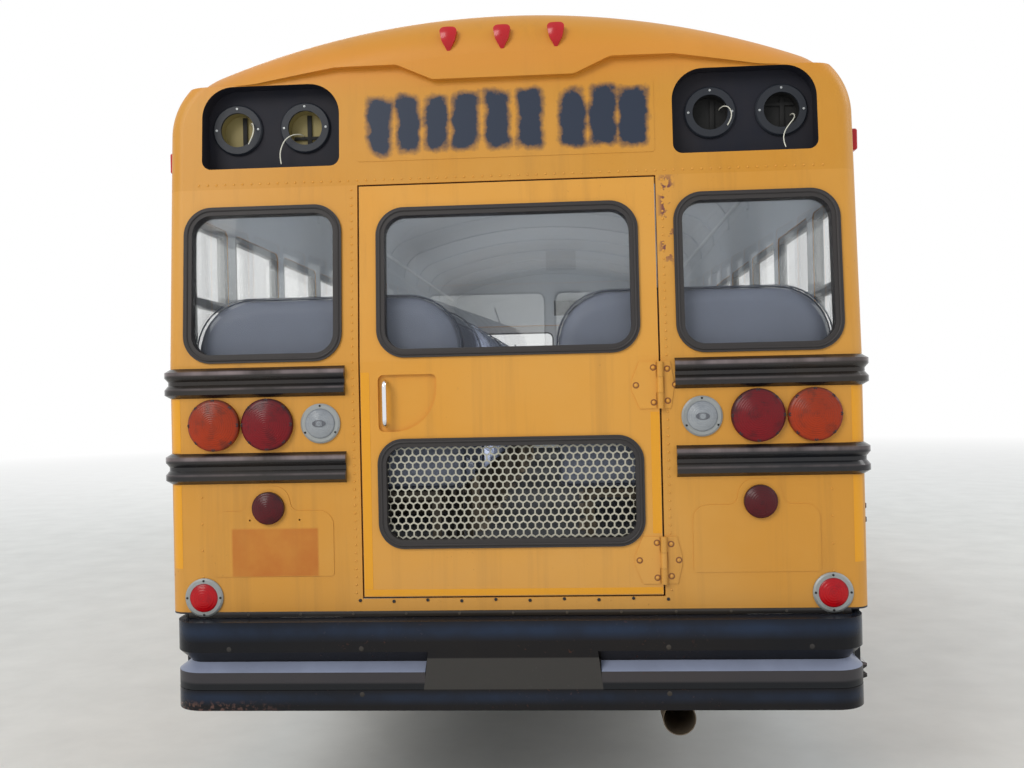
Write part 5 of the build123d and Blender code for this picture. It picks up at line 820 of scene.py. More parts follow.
# %% Tests for the faces of a second finish
CABIN_X, CABIN_Y, CABIN_Z = 0.60, (-4.60, 3.00), (1.20, 2.40)
INSIDE_TURN, INSIDE_SKIN = 0.30, 0.020
POCKET_X, POCKET_Z, POCKET_BACK = (0.589, 1.091), (2.510, 2.813), 0.1355
FRONT_WALL_Y, FRONT_BELT, FRONT_LEAN, FRONT_POCKET_BACK = 3.520, 1.640, 0.1405, 0.235
SOCKET_X, SOCKET_Z = (0.730, 0.980), 2.669
BORE_R, BORE_BACK, FRONT_BORE_DEEP = 0.066, 0.176, 0.042
JUST_BEHIND, MIRROR_FACE_X = 0.001, 1.35


def cabin_side(centre, normal):
    """True where a face looks into the cabin."""
    if centre.y < rear_face(centre.z) + INSIDE_SKIN:
        return False
    core = Vector((max(-CABIN_X, min(CABIN_X, centre.x)), max(CABIN_Y[0], min(CABIN_Y[1], centre.y)),
                   max(CABIN_Z[0], min(CABIN_Z[1], centre.z))))
    return normal.dot((core - centre).normalized()) > INSIDE_TURN


def in_outline(centre):
    """True within the outline that the rear and front lamp recesses share."""
    return POCKET_X[0] < abs(centre.x) < POCKET_X[1] and POCKET_Z[0] < centre.z < POCKET_Z[1]


def in_pocket(centre, normal):
    """True in the two recesses that held the warning lamps."""
    behind = centre.y - rear_face(centre.z) > JUST_BEHIND
    return in_outline(centre) and behind and centre.y < REAR_Y + POCKET_BACK


def in_front_pocket(centre, normal):
    """True in the two matching recesses over the windscreens."""
    face = FRONT_WALL_Y - (centre.z - FRONT_BELT) * FRONT_LEAN
    deep = FRONT_WALL_Y - FRONT_POCKET_BACK < centre.y < face - JUST_BEHIND
    return in_outline(centre) and normal.y > -0.3 and deep


def near_bore(centre):
    """True within a lamp bore's radius, at the rear or the front."""
    return min(hypot(abs(centre.x) - x, centre.z - SOCKET_Z) for x in SOCKET_X) < BORE_R


def bore_side(side):
    """A test for the faces inside the lamp bores on one side of the bus."""
    def test(centre, normal):
        """True inside these two bores."""
        deep = POCKET_BACK < centre.y - REAR_Y < BORE_BACK
        return centre.x * side > 0 and near_bore(centre) and deep
    return test


def in_front_bore(centre, normal):
    """True inside the four lamp bores behind the front recesses."""
    back = FRONT_WALL_Y - FRONT_POCKET_BACK
    return near_bore(centre) and back - FRONT_BORE_DEEP < centre.y < back


def second_finish(node, paint, test):
    """Gives the faces of a node that pass a test another finish."""
    mesh = NODES[node].data
    mesh.materials.append(PAINT[paint])
    number = len(mesh.materials) - 1
    count = 0
    for face in mesh.polygons:
        if test(face.center, face.normal):
            face.material_index = number
            count += 1
    return count


print("tests ready")

# %% [markdown]
# Order matters here. Where two tests pass for one face, the finish that is given last stays, so the
# cabin comes first and the lamp bores last.

# %% Give the second finishes
for node in ("rear_wall", "rear_door", "rear_cap", "front_cap", "roof", "left_wall", "right_wall",
             "front_wall", "entry_leaf_front", "entry_leaf_rear"):
    print(node, second_finish(node, "cabin_grey", cabin_side), "faces inside")
SECOND_FINISHES = (
    ("rear_cap", "pocket_navy", in_pocket),
    ("front_cap", "pocket_navy", in_front_pocket),
    ("marker_lamps", "marker_amber", lambda centre, normal: centre.y > 0),
    ("floor", "floor_rubber", lambda centre, normal: normal.z > 0.5),
    ("mirrors", "mirror_face", lambda centre, normal: normal.y < -0.9 and abs(centre.x) > MIRROR_FACE_X),
    ("rear_cap", "bulkhead_olive", bore_side(-1)),
    ("rear_cap", "socket_cavity", bore_side(1)),
    ("front_cap", "socket_cavity", in_front_bore),
)
for node, paint, test in SECOND_FINISHES:
    print(node, second_finish(node, paint, test), "faces", paint)

# %% [markdown]
# Floor. It is a large sheet under the wheels, pale, with a faint mottle like swept concrete, and it
# turns white far from the bus, so that no horizon line cuts across the picture.

# %% The floor
FLOOR_SHADES, FLOOR_ROUGH = (srgb(222, 222, 219), srgb(232, 232, 229)), 0.8
floor_corners = [(x * FLOOR_REACH, y * FLOOR_REACH, 0) for x, y in ((-1, -1), (1, -1), (1, 1), (-1, 1))]
floor_mesh = bpy.data.meshes.new("studio_floor")
floor_mesh.from_pydata(floor_corners, [], [(0, 1, 2, 3)])
studio_floor = bpy.data.objects.new("studio_floor", floor_mesh)
bpy.context.scene.collection.objects.link(studio_floor)
floor_paint, tree, shader = new_finish("floor_pale", FLOOR_ROUGH, 0.0, 0.0)
where, across, along, _ = own_place(tree)
pale = mixed(tree, remap(tree, mottle(tree, where, 2.5, 6.0), 0.3, 0.7), *FLOOR_SHADES)
tree.links.new(pale, shader.inputs["Base Color"])
distance = maths(tree, "SQRT", maths(tree, "ADD", maths(tree, "MULTIPLY", across, across),
                                     maths(tree, "MULTIPLY", along, along)))
white = tree.nodes.new("ShaderNodeEmission")
white.inputs["Strength"].default_value = 1.0
fade = tree.nodes.new("ShaderNodeMixShader")
tree.links.new(remap(tree, distance, FLOOR_FADE_FROM, FLOOR_FADE_TO), fade.inputs[0])
tree.links.new(shader.outputs[0], fade.inputs[1])
tree.links.new(white.outputs[0], fade.inputs[2])
tree.links.new(fade.outputs[0], tree.nodes["Material Output"].inputs["Surface"])
floor_mesh.materials.append(floor_paint)
studio_floor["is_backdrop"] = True
print("floor reaches", FLOOR_REACH, "m")

# %% [markdown]
# Shapes. Each helper gives points and faces. Most shapes are rows of points, one row a section, and
# `row_faces` joins each row to the next. `joined` puts many shapes into one mesh, and `piece` makes
# the object, merges doubled points, turns the faces outwards and hangs it on its body.

# %% Helpers for meshes
SHARP, DOUBLED = radians(38), 2e-6
SIDES, REARWARD = (-1, 1), (0, -1, 0)


def joined(shapes):
    """Many shapes as one."""
    points, faces = [], []
    for shape_points, shape_faces in shapes:
        start = len(points)
        points.extend(shape_points)
        faces.extend([[start + i for i in face] for face in shape_faces])
    return points, faces


def piece(name, shape, paint, body="root", bevel=0.0, replaces=()):
    """A mesh piece in its finish, riding on a body."""
    mesh = bpy.data.meshes.new(name)
    mesh.from_pydata([tuple(p) for p in shape[0]], [], shape[1])
    shell = bmesh.new()
    shell.from_mesh(mesh)
    bmesh.ops.remove_doubles(shell, verts=shell.verts, dist=DOUBLED)
    if bevel:
        bmesh.ops.bevel(shell, geom=shell.edges, offset=bevel, segments=2, profile=0.5, affect="EDGES")
    bmesh.ops.recalc_face_normals(shell, faces=shell.faces)
    shell.to_mesh(mesh)
    shell.free()
    mesh.shade_smooth()
    mesh.set_sharp_from_angle(angle=SHARP)
    mesh.materials.append(PAINT[paint])
    made = bpy.data.objects.new(name, mesh)
    bpy.context.scene.collection.objects.link(made)
    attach(made, body)
    if replaces:
        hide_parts(*replaces)
    return made


def block(low, high):
    """A block between two corners."""
    (x0, y0, z0), (x1, y1, z1) = low, high
    points = [(x, y, z) for z in (z0, z1) for x, y in ((x0, y0), (x1, y0), (x1, y1), (x0, y1))]
    faces = [(3, 2, 1, 0), (4, 5, 6, 7), (0, 1, 5, 4), (1, 2, 6, 5), (2, 3, 7, 6), (3, 0, 4, 7)]
    return points, faces


def row_faces(rows, size, ring=False):
    """Faces from each row of points to the next; a ring closes on its first row and has no ends."""
    faces = []
    for i in range(rows if ring else rows - 1):
        j = (i + 1) % rows
        for k in range(size):
            m = (k + 1) % size
            faces.append((i * size + k, i * size + m, j * size + m, j * size + k))
    if not ring:
        faces += [tuple(reversed(range(size))), tuple(range((rows - 1) * size, rows * size))]
    return faces


def turned(profile, place, axis, sides=24):
    """A turned shape: (radius, height) points swung about an axis through a place."""
    along = Vector(axis).normalized()
    across = along.orthogonal().normalized()
    third = along.cross(across)
    place = Vector(place)
    points = []
    for radius, height in profile:
        for k in range(sides):
            turn = 2 * pi * k / sides
            points.append(place + along * height + (across * cos(turn) + third * sin(turn)) * radius)
    return points, row_faces(len(profile), sides)


def round_head(place, axis, radius, sides=8):
    """A rivet's domed head."""
    dome = ((1.0, 0.0), (0.86, 0.34), (0.45, 0.58), (0.0, 0.66))
    return turned([(radius * r, radius * h) for r, h in dome], place, axis, sides)


def screw_head(place, radius):
    """A pan head that faces the rear, with a sunk middle for the driver."""
    pan = ((1.0, 0.0), (1.0, 0.35), (0.82, 0.55), (0.4, 0.58), (0.32, 0.25), (0.0, 0.22))
    return turned([(radius * r, radius * h) for r, h in pan], place, REARWARD, 12)


def pipe(path, radius, sides=8, closed=False):
    """A round pipe along points, with its section carried from point to point."""
    path = [Vector(p) for p in path]
    count = len(path)
    points = []
    side_way = None
    for i, here in enumerate(path):
        before = path[i - 1] if (i or closed) else here
        after = path[(i + 1) % count] if (i < count - 1 or closed) else here
        along = (after - before).normalized()
        side_way = along.orthogonal() if side_way is None else side_way - along * side_way.dot(along)
        side_way.normalize()
        third = along.cross(side_way)
        for k in range(sides):
            turn = 2 * pi * k / sides
            points.append(here + (side_way * cos(turn) + third * sin(turn)) * radius)
    return points, row_faces(count, sides, closed)


def spread(first, last, pitch):
    """Evenly spaced values from first to last, about a pitch apart."""
    count = max(1, round(abs(last - first) / pitch))
    return [first + (last - first) * i / count for i in range(count + 1)]


print("mesh helpers ready")

# %% [markdown]
# Lamps. A lens is a thin drum with a shallow dome, and its look comes from the rings moulded into
# it, which catch the light one by one. The rings are real ridges here, under a millimetre high, and
# the lens stays inside the plain one that it replaces. Small screws sit round its rim.

# %% Lenses with moulded rings
LENS_DRUM, LENS_EDGE, LENS_SIDES = 0.45, 0.0012, 56
RING_STEPS, RING_DEEP, DOME_SINK = 4, 0.0009, 0.0006
LENSES = (  # name, x, z, radius, depth, seat, rings, rim, finish, slot, node
    ("amber_lenses", AMBER_X, LAMP_Z, MAIN_R, 0.042, 0, 11, 0.012, "lens_amber", "lens_amber",
     "amber_lamps"),
    ("red_lenses", RED_X, LAMP_Z, MAIN_R, 0.042, 0, 11, 0.012, "lens_red", "lens_red", "red_lamps"),
    ("low_red_lenses", LOW_X, LOW_Z, LOW_R, 0.024, 0, 5, 0.006, "lens_bright_red", "lens_red", "red_lamps"),
    ("stop_lenses", BRAKE_X, BRAKE_Z, BRAKE_R, 0.034, 0.0025, 7, 0.004, "lens_maroon", "lens_red",
     "red_lamps"),
    ("clear_lenses", CLEAR_X, LAMP_Z, CLEAR_R, 0.030, 0, 7, 0.006, "lens_clear", "lens_clear",
     "clear_lamps"),
)


def ringed_lens(x, z, radius, depth, seat, rings, rim):
    """A lens with a smooth rim, then rings up to the middle of its dome."""
    drum = depth * LENS_DRUM
    rise = depth - drum
    ball = (radius**2 + rise**2) / (2 * rise)
    profile = [(radius, 0.0), (radius, drum * 0.9), (radius - LENS_EDGE, drum)]
    steps = rings * RING_STEPS
    for k in range(steps + 1):
        r = (radius - rim) * (1 - k / steps)
        dome = drum + sqrt(ball**2 - r**2) - (ball - rise)
        ridge = RING_DEEP * (0.5 - 0.5 * cos(2 * pi * k / RING_STEPS))
        profile.append((max(r, 0.0), dome - DOME_SINK - ridge))
    return turned(profile, (x, REAR_Y - seat, z), REARWARD, LENS_SIDES)


for name, x, z, radius, depth, seat, rings, rim, paint, slot, node in LENSES:
    pair = [ringed_lens(s * x, z, radius, depth, seat, rings, rim) for s in SIDES]
    piece(name, joined(pair), paint, replaces=(node,))
print("lenses on the rear wall:", 2 * len(LENSES))

# %% [markdown]
# Screws hold the lenses. The big ones have eight each, in their own dark heads; the small ones have
# three or four in the metal rim round the lens.

# %% Screws of the lamps
RIM_SCREWS = (  # x, z, radius of the circle, out, count, size
    (AMBER_X, LAMP_Z, 0.0850, 0.0188, 8, 0.0066), (RED_X, LAMP_Z, 0.0850, 0.0188, 8, 0.0066),
    (CLEAR_X, LAMP_Z, 0.062, 0.0099, 3, 0.0038), (LOW_X, LOW_Z, 0.0595, 0.0099, 4, 0.0042),
)


def rim_screws(x, z, radius, out, count, size):
    """Screws evenly round a rim, facing the rear."""
    heads = []
    for k in range(count):
        turn = 2 * pi * k / count
        heads.append(screw_head((x + radius * sin(turn), REAR_Y - out, z + radius * cos(turn)), size))
    return heads


lens_screws = [h for s in SIDES for x, *rest in RIM_SCREWS[:2] for h in rim_screws(s * x, *rest)]
bezel_screws = [h for x, *rest in RIM_SCREWS[2:] for s in SIDES for h in rim_screws(s * x, *rest)]
piece("lens_screws", joined(lens_screws), "lamp_bulb")
piece("bezel_screws", joined(bezel_screws), "black_enamel")
print("lamp screws:", len(lens_screws) + len(bezel_screws))

# %% [markdown]
# Behind each clear lens the bulb's holder shows as a grey oval with paler bars across it. It sits on
# the lens as a thin moulded badge, because the lens is not see-through enough to look into.

# %% Bulb holders of the clear lamps
OVAL_WIDE, OVAL_HIGH, OVAL_OUT, OVAL_THICK, OVAL_SIDES = 0.0235, 0.0125, 0.0262, 0.0024, 28
BAR_STEPS, BAR_PITCH, BAR_HALF = (-1.0, -0.6, -0.2, 0.2, 0.6, 1.0), 0.0095, 0.0011
BAR_TALL, BAR_SHORTENS, BAR_NEAR, BAR_FAR = 0.0100, 0.6, 0.0290, 0.0270


def bulb_oval(x):
    """A thin oval badge on a clear lens."""
    turns = [2 * pi * k / OVAL_SIDES for k in range(OVAL_SIDES)]
    oval = [(x + OVAL_WIDE * cos(turn), LAMP_Z + OVAL_HIGH * sin(turn)) for turn in turns]
    points = [(px, REAR_Y - OVAL_OUT - out, pz) for out in (OVAL_THICK, 0.0) for px, pz in oval]
    return points, row_faces(2, OVAL_SIDES)


def bulb_bar(middle_x, step):
    """One upright bar of the badge; the outer ones are shorter."""
    x = middle_x + step * BAR_PITCH
    tall = BAR_TALL * sqrt(1 - (step * BAR_SHORTENS) ** 2)
    low = (x - BAR_HALF, REAR_Y - BAR_NEAR, LAMP_Z - tall)
    return block(low, (x + BAR_HALF, REAR_Y - BAR_FAR, LAMP_Z + tall))


ovals = [bulb_oval(s * CLEAR_X) for s in SIDES]
bars = [bulb_bar(s * CLEAR_X, step) for s in SIDES for step in BAR_STEPS]
piece("bulb_ovals", joined(ovals), "bulb_shade")
piece("bulb_bars", joined(bars), "lens_clear", bevel=0.0003)
print("bulb holders:", len(ovals), "bars:", len(bars))

# %% [markdown]
# Empty sockets. What is left in the four round openings is an upright bracket in each, a cross arm
# in two of them, and three screws round each opening's ring.

# %% Brackets left in the empty sockets
BRACKET_Y, BRACKET_X, BRACKET_SIZE = REAR_Y + 0.166, (-0.966, -0.724, 0.742, 0.990), (0.008, 0.007, 0.055)
ARM_PLACES, ARM_SIZE, ARM_Y = ((-0.730, 2.640), (0.980, 2.700)), (0.052, 0.006), (0.0005, 0.006)
RING_SCREW_OUT, RING_SCREW_Y, RING_SCREW_TURNS = 0.077, REAR_Y + 0.1223, (pi / 2, -pi / 2, 0.0)

wide, deep, tall = BRACKET_SIZE
brackets = [block((x - wide, BRACKET_Y, SOCKET_Z - tall), (x + wide, BRACKET_Y + deep, SOCKET_Z + tall))
            for x in BRACKET_X]
(wide, tall), (near, far) = ARM_SIZE, ARM_Y
brackets += [block((x - wide, BRACKET_Y + near, z - tall), (x + wide, BRACKET_Y + far, z + tall))
             for x, z in ARM_PLACES]
piece("socket_brackets", joined(brackets), "socket_cavity", bevel=0.001)
ring_screws = []
for x in [s * x for s in SIDES for x in SOCKET_X]:
    for turn in RING_SCREW_TURNS:
        place = (x + RING_SCREW_OUT * sin(turn), RING_SCREW_Y, SOCKET_Z + RING_SCREW_OUT * cos(turn))
        ring_screws.append(screw_head(place, 0.0045))
piece("socket_screws", joined(ring_screws), "zinc")
print("brackets:", len(brackets), "socket screws:", len(ring_screws))

# %% [markdown]
# Rivets. The sheets of a bus body are riveted to the frame in long rows, about 28 mm apart along
# the door posts and the header, and wider on the roof. Each head is a small dome, and each row is
# one joined mesh.

# %% Rows of rivets
RIVET, SUNK = 0.0042, 0.0001
HEADER_ROW_X, HEADER_ROW_Z, HEADER_PITCH = 1.10, HEADER_LOW + 0.014, 0.032
REAR_ROWS = (  # x, low z, top z, pitch, on both sides
    (0.547, 1.00, 2.42, 0.028), (1.095, 1.06, 1.34, 0.093),
)
SIDE_ROWS, SIDE_ROW_Y = ((1.816, 0.050), (1.365, 0.060), (1.300, 0.060)), (-4.98, 2.50)  # (z, pitch), ends
POSTS, POST_ROW_Z, POST_PITCH = 11, (1.84, 2.40), 0.050


def rear_row(x0, x1, z0, z1, pitch):
    """A straight row of rivets on the rear face."""
    count = max(1, round(hypot(x1 - x0, z1 - z0) / pitch))
    heads = []
    for i in range(count + 1):
        x, z = x0 + (x1 - x0) * i / count, z0 + (z1 - z0) * i / count
        lean = LEAN if z > BELT else 0.0
        heads.append(round_head((x, rear_face(z) - SUNK, z), (0, -1, lean), RIVET))
    return heads


def side_rivet(side, y, z):
    """A rivet on a side wall."""
    return round_head((side * (HALF - SUNK), y, z), (side, 0, 0), RIVET, 6)


rear_rivets = rear_row(-HEADER_ROW_X, HEADER_ROW_X, HEADER_ROW_Z, HEADER_ROW_Z, HEADER_PITCH)
for side in SIDES:
    for x, low, top, pitch in REAR_ROWS:
        rear_rivets += rear_row(side * x, side * x, low, top, pitch)
piece("rear_rivets", joined(rear_rivets), "bus_yellow")

side_rivets = []
for side in SIDES:
    for z, pitch in SIDE_ROWS:
        side_rivets += [side_rivet(side, y, z) for y in spread(*SIDE_ROW_Y, pitch)]
    for k in range(POSTS):
        y = SEAM_FIRST + SEAM_PITCH * k
        side_rivets += [side_rivet(side, y, z) for z in spread(*POST_ROW_Z, POST_PITCH)]
piece("side_rivets", joined(side_rivets), "bus_yellow")
print("rivets:", len(rear_rivets) + len(side_rivets))

# %% [markdown]
# Screws and the black strip. A narrow black strip covers the joint below the rear panels. Small
# screws hold it, and a row of dark screws runs under the door, every second one a little lower.

# %% Strip and screws below the door
STRIP_HALF, STRIP_Z, STRIP_OUT, STRIP_IN = 1.150, (0.9165, 0.9355), 0.0030, 0.0001
STRIP_SCREW_X, STRIP_SCREW_Z, STRIP_SCREW_PITCH, STRIP_SCREW_R = 1.12, 0.9265, 0.187, 0.0050
DOOR_SCREW_X, DOOR_SCREW_Z, DOOR_SCREW_PITCH, DOOR_SCREW_R = 0.535, 0.973, 0.119, 0.0058
EVERY_SECOND_LOWER = 0.004

strip = block((-STRIP_HALF, REAR_Y - STRIP_OUT, STRIP_Z[0]), (STRIP_HALF, REAR_Y - STRIP_IN, STRIP_Z[1]))
piece("joint_strip", strip, "black_enamel", bevel=0.0008)
strip_screws = [screw_head((x, REAR_Y - STRIP_OUT + SUNK, STRIP_SCREW_Z), STRIP_SCREW_R)
                for x in spread(-STRIP_SCREW_X, STRIP_SCREW_X, STRIP_SCREW_PITCH)]
piece("strip_screws", joined(strip_screws), "rim_black")
door_screws = []
for i, x in enumerate(spread(-DOOR_SCREW_X, DOOR_SCREW_X, DOOR_SCREW_PITCH)):
    z = DOOR_SCREW_Z - EVERY_SECOND_LOWER * (i % 2)
    door_screws.append(screw_head((x, REAR_Y - SUNK, z), DOOR_SCREW_R))
piece("dark_screws", joined(door_screws), "gasket_rubber")
print("screws:", len(strip_screws) + len(door_screws))

# %% [markdown]
# The bumper's step. Inside the pressed channel a second pressing stands out as a step: its upper
# slope faces the sky and is painted pale for the sky's reflection, its face is scuffed like the pad
# in the middle, and its foot is painted dark for the shadow under the slope. The section is drawn
# once and carried along the bumper and round its corners.

# %% Step and bolts of the rear bumper
BUMPER_LOW, BUMPER_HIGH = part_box("rear_bumper")
BUMPER_TURN, BUMPER_BACK, TURN_STEPS = 0.110, 0.225, 10
STEP_START = 0.300
STEP_SECTION = ((0.0006, 0.6836), (0.0006, 0.7420), (0.0414, 0.7705), (0.0414, 0.7030))  # depth, height
BOLT_PROFILE = ((0.0085, 0.0), (0.0085, 0.0020), (0.0060, 0.0028), (0.0, 0.0030))
BOLT_SEAT, TOP_BOLTS, LOW_BOLTS = 0.0015, (0.824, (-0.980, -0.518, 0.526, 1.000)), (0.668, (-0.518, 0.526))


def bumper_step(side):
    """The step's section carried from the pad to the end of the bumper's return."""
    centre_x, centre_y = BUMPER_HIGH.x - BUMPER_TURN, BUMPER_LOW.y + BUMPER_TURN
    stations = [(STEP_START, BUMPER_LOW.y, 0.0)]
    for k in range(TURN_STEPS + 1):
        turn = radians(90 * k / TURN_STEPS)
        stations.append((centre_x + BUMPER_TURN * sin(turn), centre_y - BUMPER_TURN * cos(turn), turn))
    stations.append((BUMPER_HIGH.x, BUMPER_LOW.y + BUMPER_BACK, pi / 2))
    points = [(side * (x - deep * sin(turn)), y + deep * cos(turn), z)
              for x, y, turn in stations for deep, z in STEP_SECTION]
    return points, row_faces(len(stations), len(STEP_SECTION))


piece("bumper_step", joined([bumper_step(s) for s in SIDES]), "step_enamel")
bumper_bolts = [turned(BOLT_PROFILE, (x, BUMPER_LOW.y + BOLT_SEAT, z), REARWARD, 12)
                for z, places in (TOP_BOLTS, LOW_BOLTS) for x in places]
piece("bumper_bolts", joined(bumper_bolts), "black_enamel")
print("bumper bolts:", len(bumper_bolts))

# %% [markdown]
# Reflective tape. Strips of deep yellow tape, 30 mm wide, mark the emergency door's edges and the
# corner of the body. They are thin sheets that lie on the paint. The one on the corner is bent
# round it, so it is made from the corner's own radius.

# %% Reflective tape
TAPE, TAPE_THICK, TAPE_LIFT = 0.030, 0.0006, 0.00005
HINGE_Z, HINGE_HALF = (1.103, 1.705), 0.092
LOW_TAPE_Z, LEFT_TAPE_Z = (DOOR_LOW + 0.003, DOOR_LOW + 0.025), (DOOR_LOW + 0.026, 1.770)
CORNER_TAPE_Z, CORNER_TAPE_TURN = ((1.500, 1.688), (1.090, 1.384)), (8, 46)  # heights, degrees
CORNER_STEPS = 8


def door_tape(x0, x1, z0, z1):
    """A flat strip on the door."""
    return block((x0, REAR_Y - TAPE_THICK, z0), (x1, REAR_Y - TAPE_LIFT, z1))


def corner_tape(side, z0, z1):
    """Tape bent round the body's upright corner."""
    start, end = CORNER_TAPE_TURN
    turns = [radians(start + (end - start) * k / CORNER_STEPS) for k in range(CORNER_STEPS + 1)]
    points = []
    for turn in turns:
        for radius, z in ((CORNER + TAPE_THICK, z0), (CORNER + TAPE_THICK, z1),
                          (CORNER + TAPE_LIFT, z1), (CORNER + TAPE_LIFT, z0)):
            x, y = HALF - CORNER + radius * sin(turn), REAR_Y + CORNER - radius * cos(turn)
            points.append((side * x, y, z))
    return points, row_faces(len(turns), 4)


door_edge = DOOR_HALF - 0.002
strips = [door_tape(-door_edge, -door_edge + TAPE, *LEFT_TAPE_Z),
          door_tape(-door_edge, door_edge, *LOW_TAPE_Z),
          door_tape(door_edge - TAPE, door_edge, HINGE_Z[0] + HINGE_HALF, HINGE_Z[1] - HINGE_HALF)]
piece("door_tape", joined(strips), "reflective_tape", body="rear_door")
bent = [corner_tape(s, *heights) for s in SIDES for heights in CORNER_TAPE_Z]
piece("corner_tape", joined(bent), "reflective_tape")
print("tape strips:", len(strips) + len(bent))

# %% [markdown]
# Window rubber. Each fixed pane sits in a rubber profile that is locked by a round filler bead
# pressed into its groove. The bead runs round the window in the middle of the rubber.

# %% Filler beads of the rear windows
BEAD_R, BEAD_IN, BEAD_OUT, BEAD_STEPS = 0.0050, 0.012, 0.0075, 8
SIDE_WINDOW = (0.583, 1.152, 1.813, 2.373, 0.100)  # near x, far x, low z, top z, corner
DOOR_WINDOW, DOOR_GRILLE = (0.460, 1.819, 2.352, 0.100), (0.463, 1.152, 1.536, 0.090)  # half x, z, z, corner


def round_path(x0, x1, z0, z1, corner, out):
    """A closed rectangle path with round corners on the rear face."""
    path = []
    corners = ((x1 - corner, z0 + corner, -90), (x1 - corner, z1 - corner, 0),
               (x0 + corner, z1 - corner, 90), (x0 + corner, z0 + corner, 180))
    for cx, cz, start in corners:
        for k in range(BEAD_STEPS + 1):
            turn = radians(start + 90 * k / BEAD_STEPS)
            x, z = cx + corner * cos(turn), cz + corner * sin(turn)
            path.append((x, rear_face(z) - out, z))
    return path


def bead(x0, x1, low, top, corner):
    """A bead in the middle of a window's rubber."""
    path = round_path(x0 + BEAD_IN, x1 - BEAD_IN, low + BEAD_IN, top - BEAD_IN, corner - BEAD_IN, BEAD_OUT)
    return pipe(path, BEAD_R, 8, closed=True)


near, far, *rest = SIDE_WINDOW
body_beads = [bead(-far, -near, *rest), bead(near, far, *rest)]
piece("body_beads", joined(body_beads), "gasket_rubber")
door_beads = [bead(-half, half, *rest) for half, *rest in (DOOR_WINDOW, DOOR_GRILLE)]
piece("door_beads", joined(door_beads), "gasket_rubber", body="rear_door")
print("filler beads:", len(body_beads) + len(door_beads))

# %% [markdown]
# Door furniture. The hinge straps are bolted through, with round heads that have been painted over
# along with the door, and each head stands in a worn, rusty ring. A rubber seal shows dark in the
# gap along the door's top, its foot and its free edge.

# %% Door seal
SEAL_NEAR, SEAL_FAR, SEAL_GAP = 0.014, 0.034, (0.0015, 0.0055)


def seal_bar(x0, x1, z0, z1):
    """A bar of the seal, a little behind the leaning rear face."""
    points = [(x, rear_face(z) + y, z) for z in (z0, z1)
              for x, y in ((x0, SEAL_NEAR), (x1, SEAL_NEAR), (x1, SEAL_FAR), (x0, SEAL_FAR))]
    return points, row_faces(2, 4)


near, far = SEAL_GAP
seal = [seal_bar(-DOOR_HALF - far, DOOR_HALF, DOOR_TOP + near, DOOR_TOP + far),
        seal_bar(-DOOR_HALF - far, DOOR_HALF, DOOR_LOW - far, DOOR_LOW - near),
        seal_bar(-DOOR_HALF - far, -DOOR_HALF - near, DOOR_LOW - near, BELT),
        seal_bar(-DOOR_HALF - far, -DOOR_HALF - near, BELT, DOOR_TOP + near)]
piece("door_seal", joined(seal), "gasket_rubber")
print("seal bars:", len(seal))

# %% [markdown]
# Hinge bolts. Three bolts go through the leaf on the door and three through the leaf on the wall.
# Those of the door ride on it, so each leaf has pieces of its own.

# %% Hinge bolts and their rings
STRAP_Y, HINGE_BOLT_R = -5.204, 0.0072
RING_PROFILE = ((0.0115, 0.0), (0.0112, 0.0007), (0.0, 0.0007))
HINGE_LEAVES = (  # name, body, (x, height over the hinge's middle) of its bolts
    ("door", "rear_door", ((0.500, 0.060), (0.500, -0.060), (0.440, 0.0))),
    ("wall", "root", ((0.548, 0.055), (0.548, -0.055), (0.574, 0.0))),
)


def leaf_places(holes):
    """Where the bolts of both hinges go through a leaf."""
    return [(x, STRAP_Y, z + above) for z in HINGE_Z for x, above in holes]


for leaf, body, holes in HINGE_LEAVES:
    bolts = [round_head(place, REARWARD, HINGE_BOLT_R, 12) for place in leaf_places(holes)]
    piece("hinge_bolts_" + leaf, joined(bolts), "bus_yellow", body=body)
    print("bolts on the", leaf, len(bolts))
for leaf, body, holes in HINGE_LEAVES:
    rings = [turned(RING_PROFILE, place, REARWARD, 14) for place in leaf_places(holes)]
    piece("hinge_rings_" + leaf, joined(rings), "bolt_rust", body=body)

# %% [markdown]
# The guard in the door's lower window is a sheet with hexagonal holes, 27.5 mm apart. Each cell is
# a hexagonal ring: six front faces, six back faces and six walls of the hole. Cells that reach past
# the opening end inside the rubber that holds the sheet.

# %% The perforated guard
GUARD_LOW, GUARD_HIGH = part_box("rear_door_guard")
CELL_PITCH, HOLE_SHARE, GUARD_CORNER, GUARD_PAST = 0.0275, 0.80, 0.060, 0.006
HEXAGON = [(cos(radians(30 + 60 * k)), sin(radians(30 + 60 * k))) for k in range(6)]


def inside_round(x, z, half_x, half_z, corner):
    """True inside a rectangle with round corners about the origin."""
    dx, dz = max(abs(x) - (half_x - corner), 0.0), max(abs(z) - (half_z - corner), 0.0)
    return hypot(dx, dz) <= corner


def guard_cell(x, z, reach):
    """One hexagonal ring: its outer and inner points on the front, then on the back."""
    points = [(x + c * reach * share, y, z + s * reach * share)
              for y in (GUARD_LOW.y, GUARD_HIGH.y) for share in (1.0, HOLE_SHARE) for c, s in HEXAGON]
    faces = []
    for k in range(6):
        m = (k + 1) % 6
        faces += [(k, m, 6 + m, 6 + k), (12 + m, 12 + k, 18 + k, 18 + m), (6 + k, 6 + m, 18 + m, 18 + k)]
    return points, faces


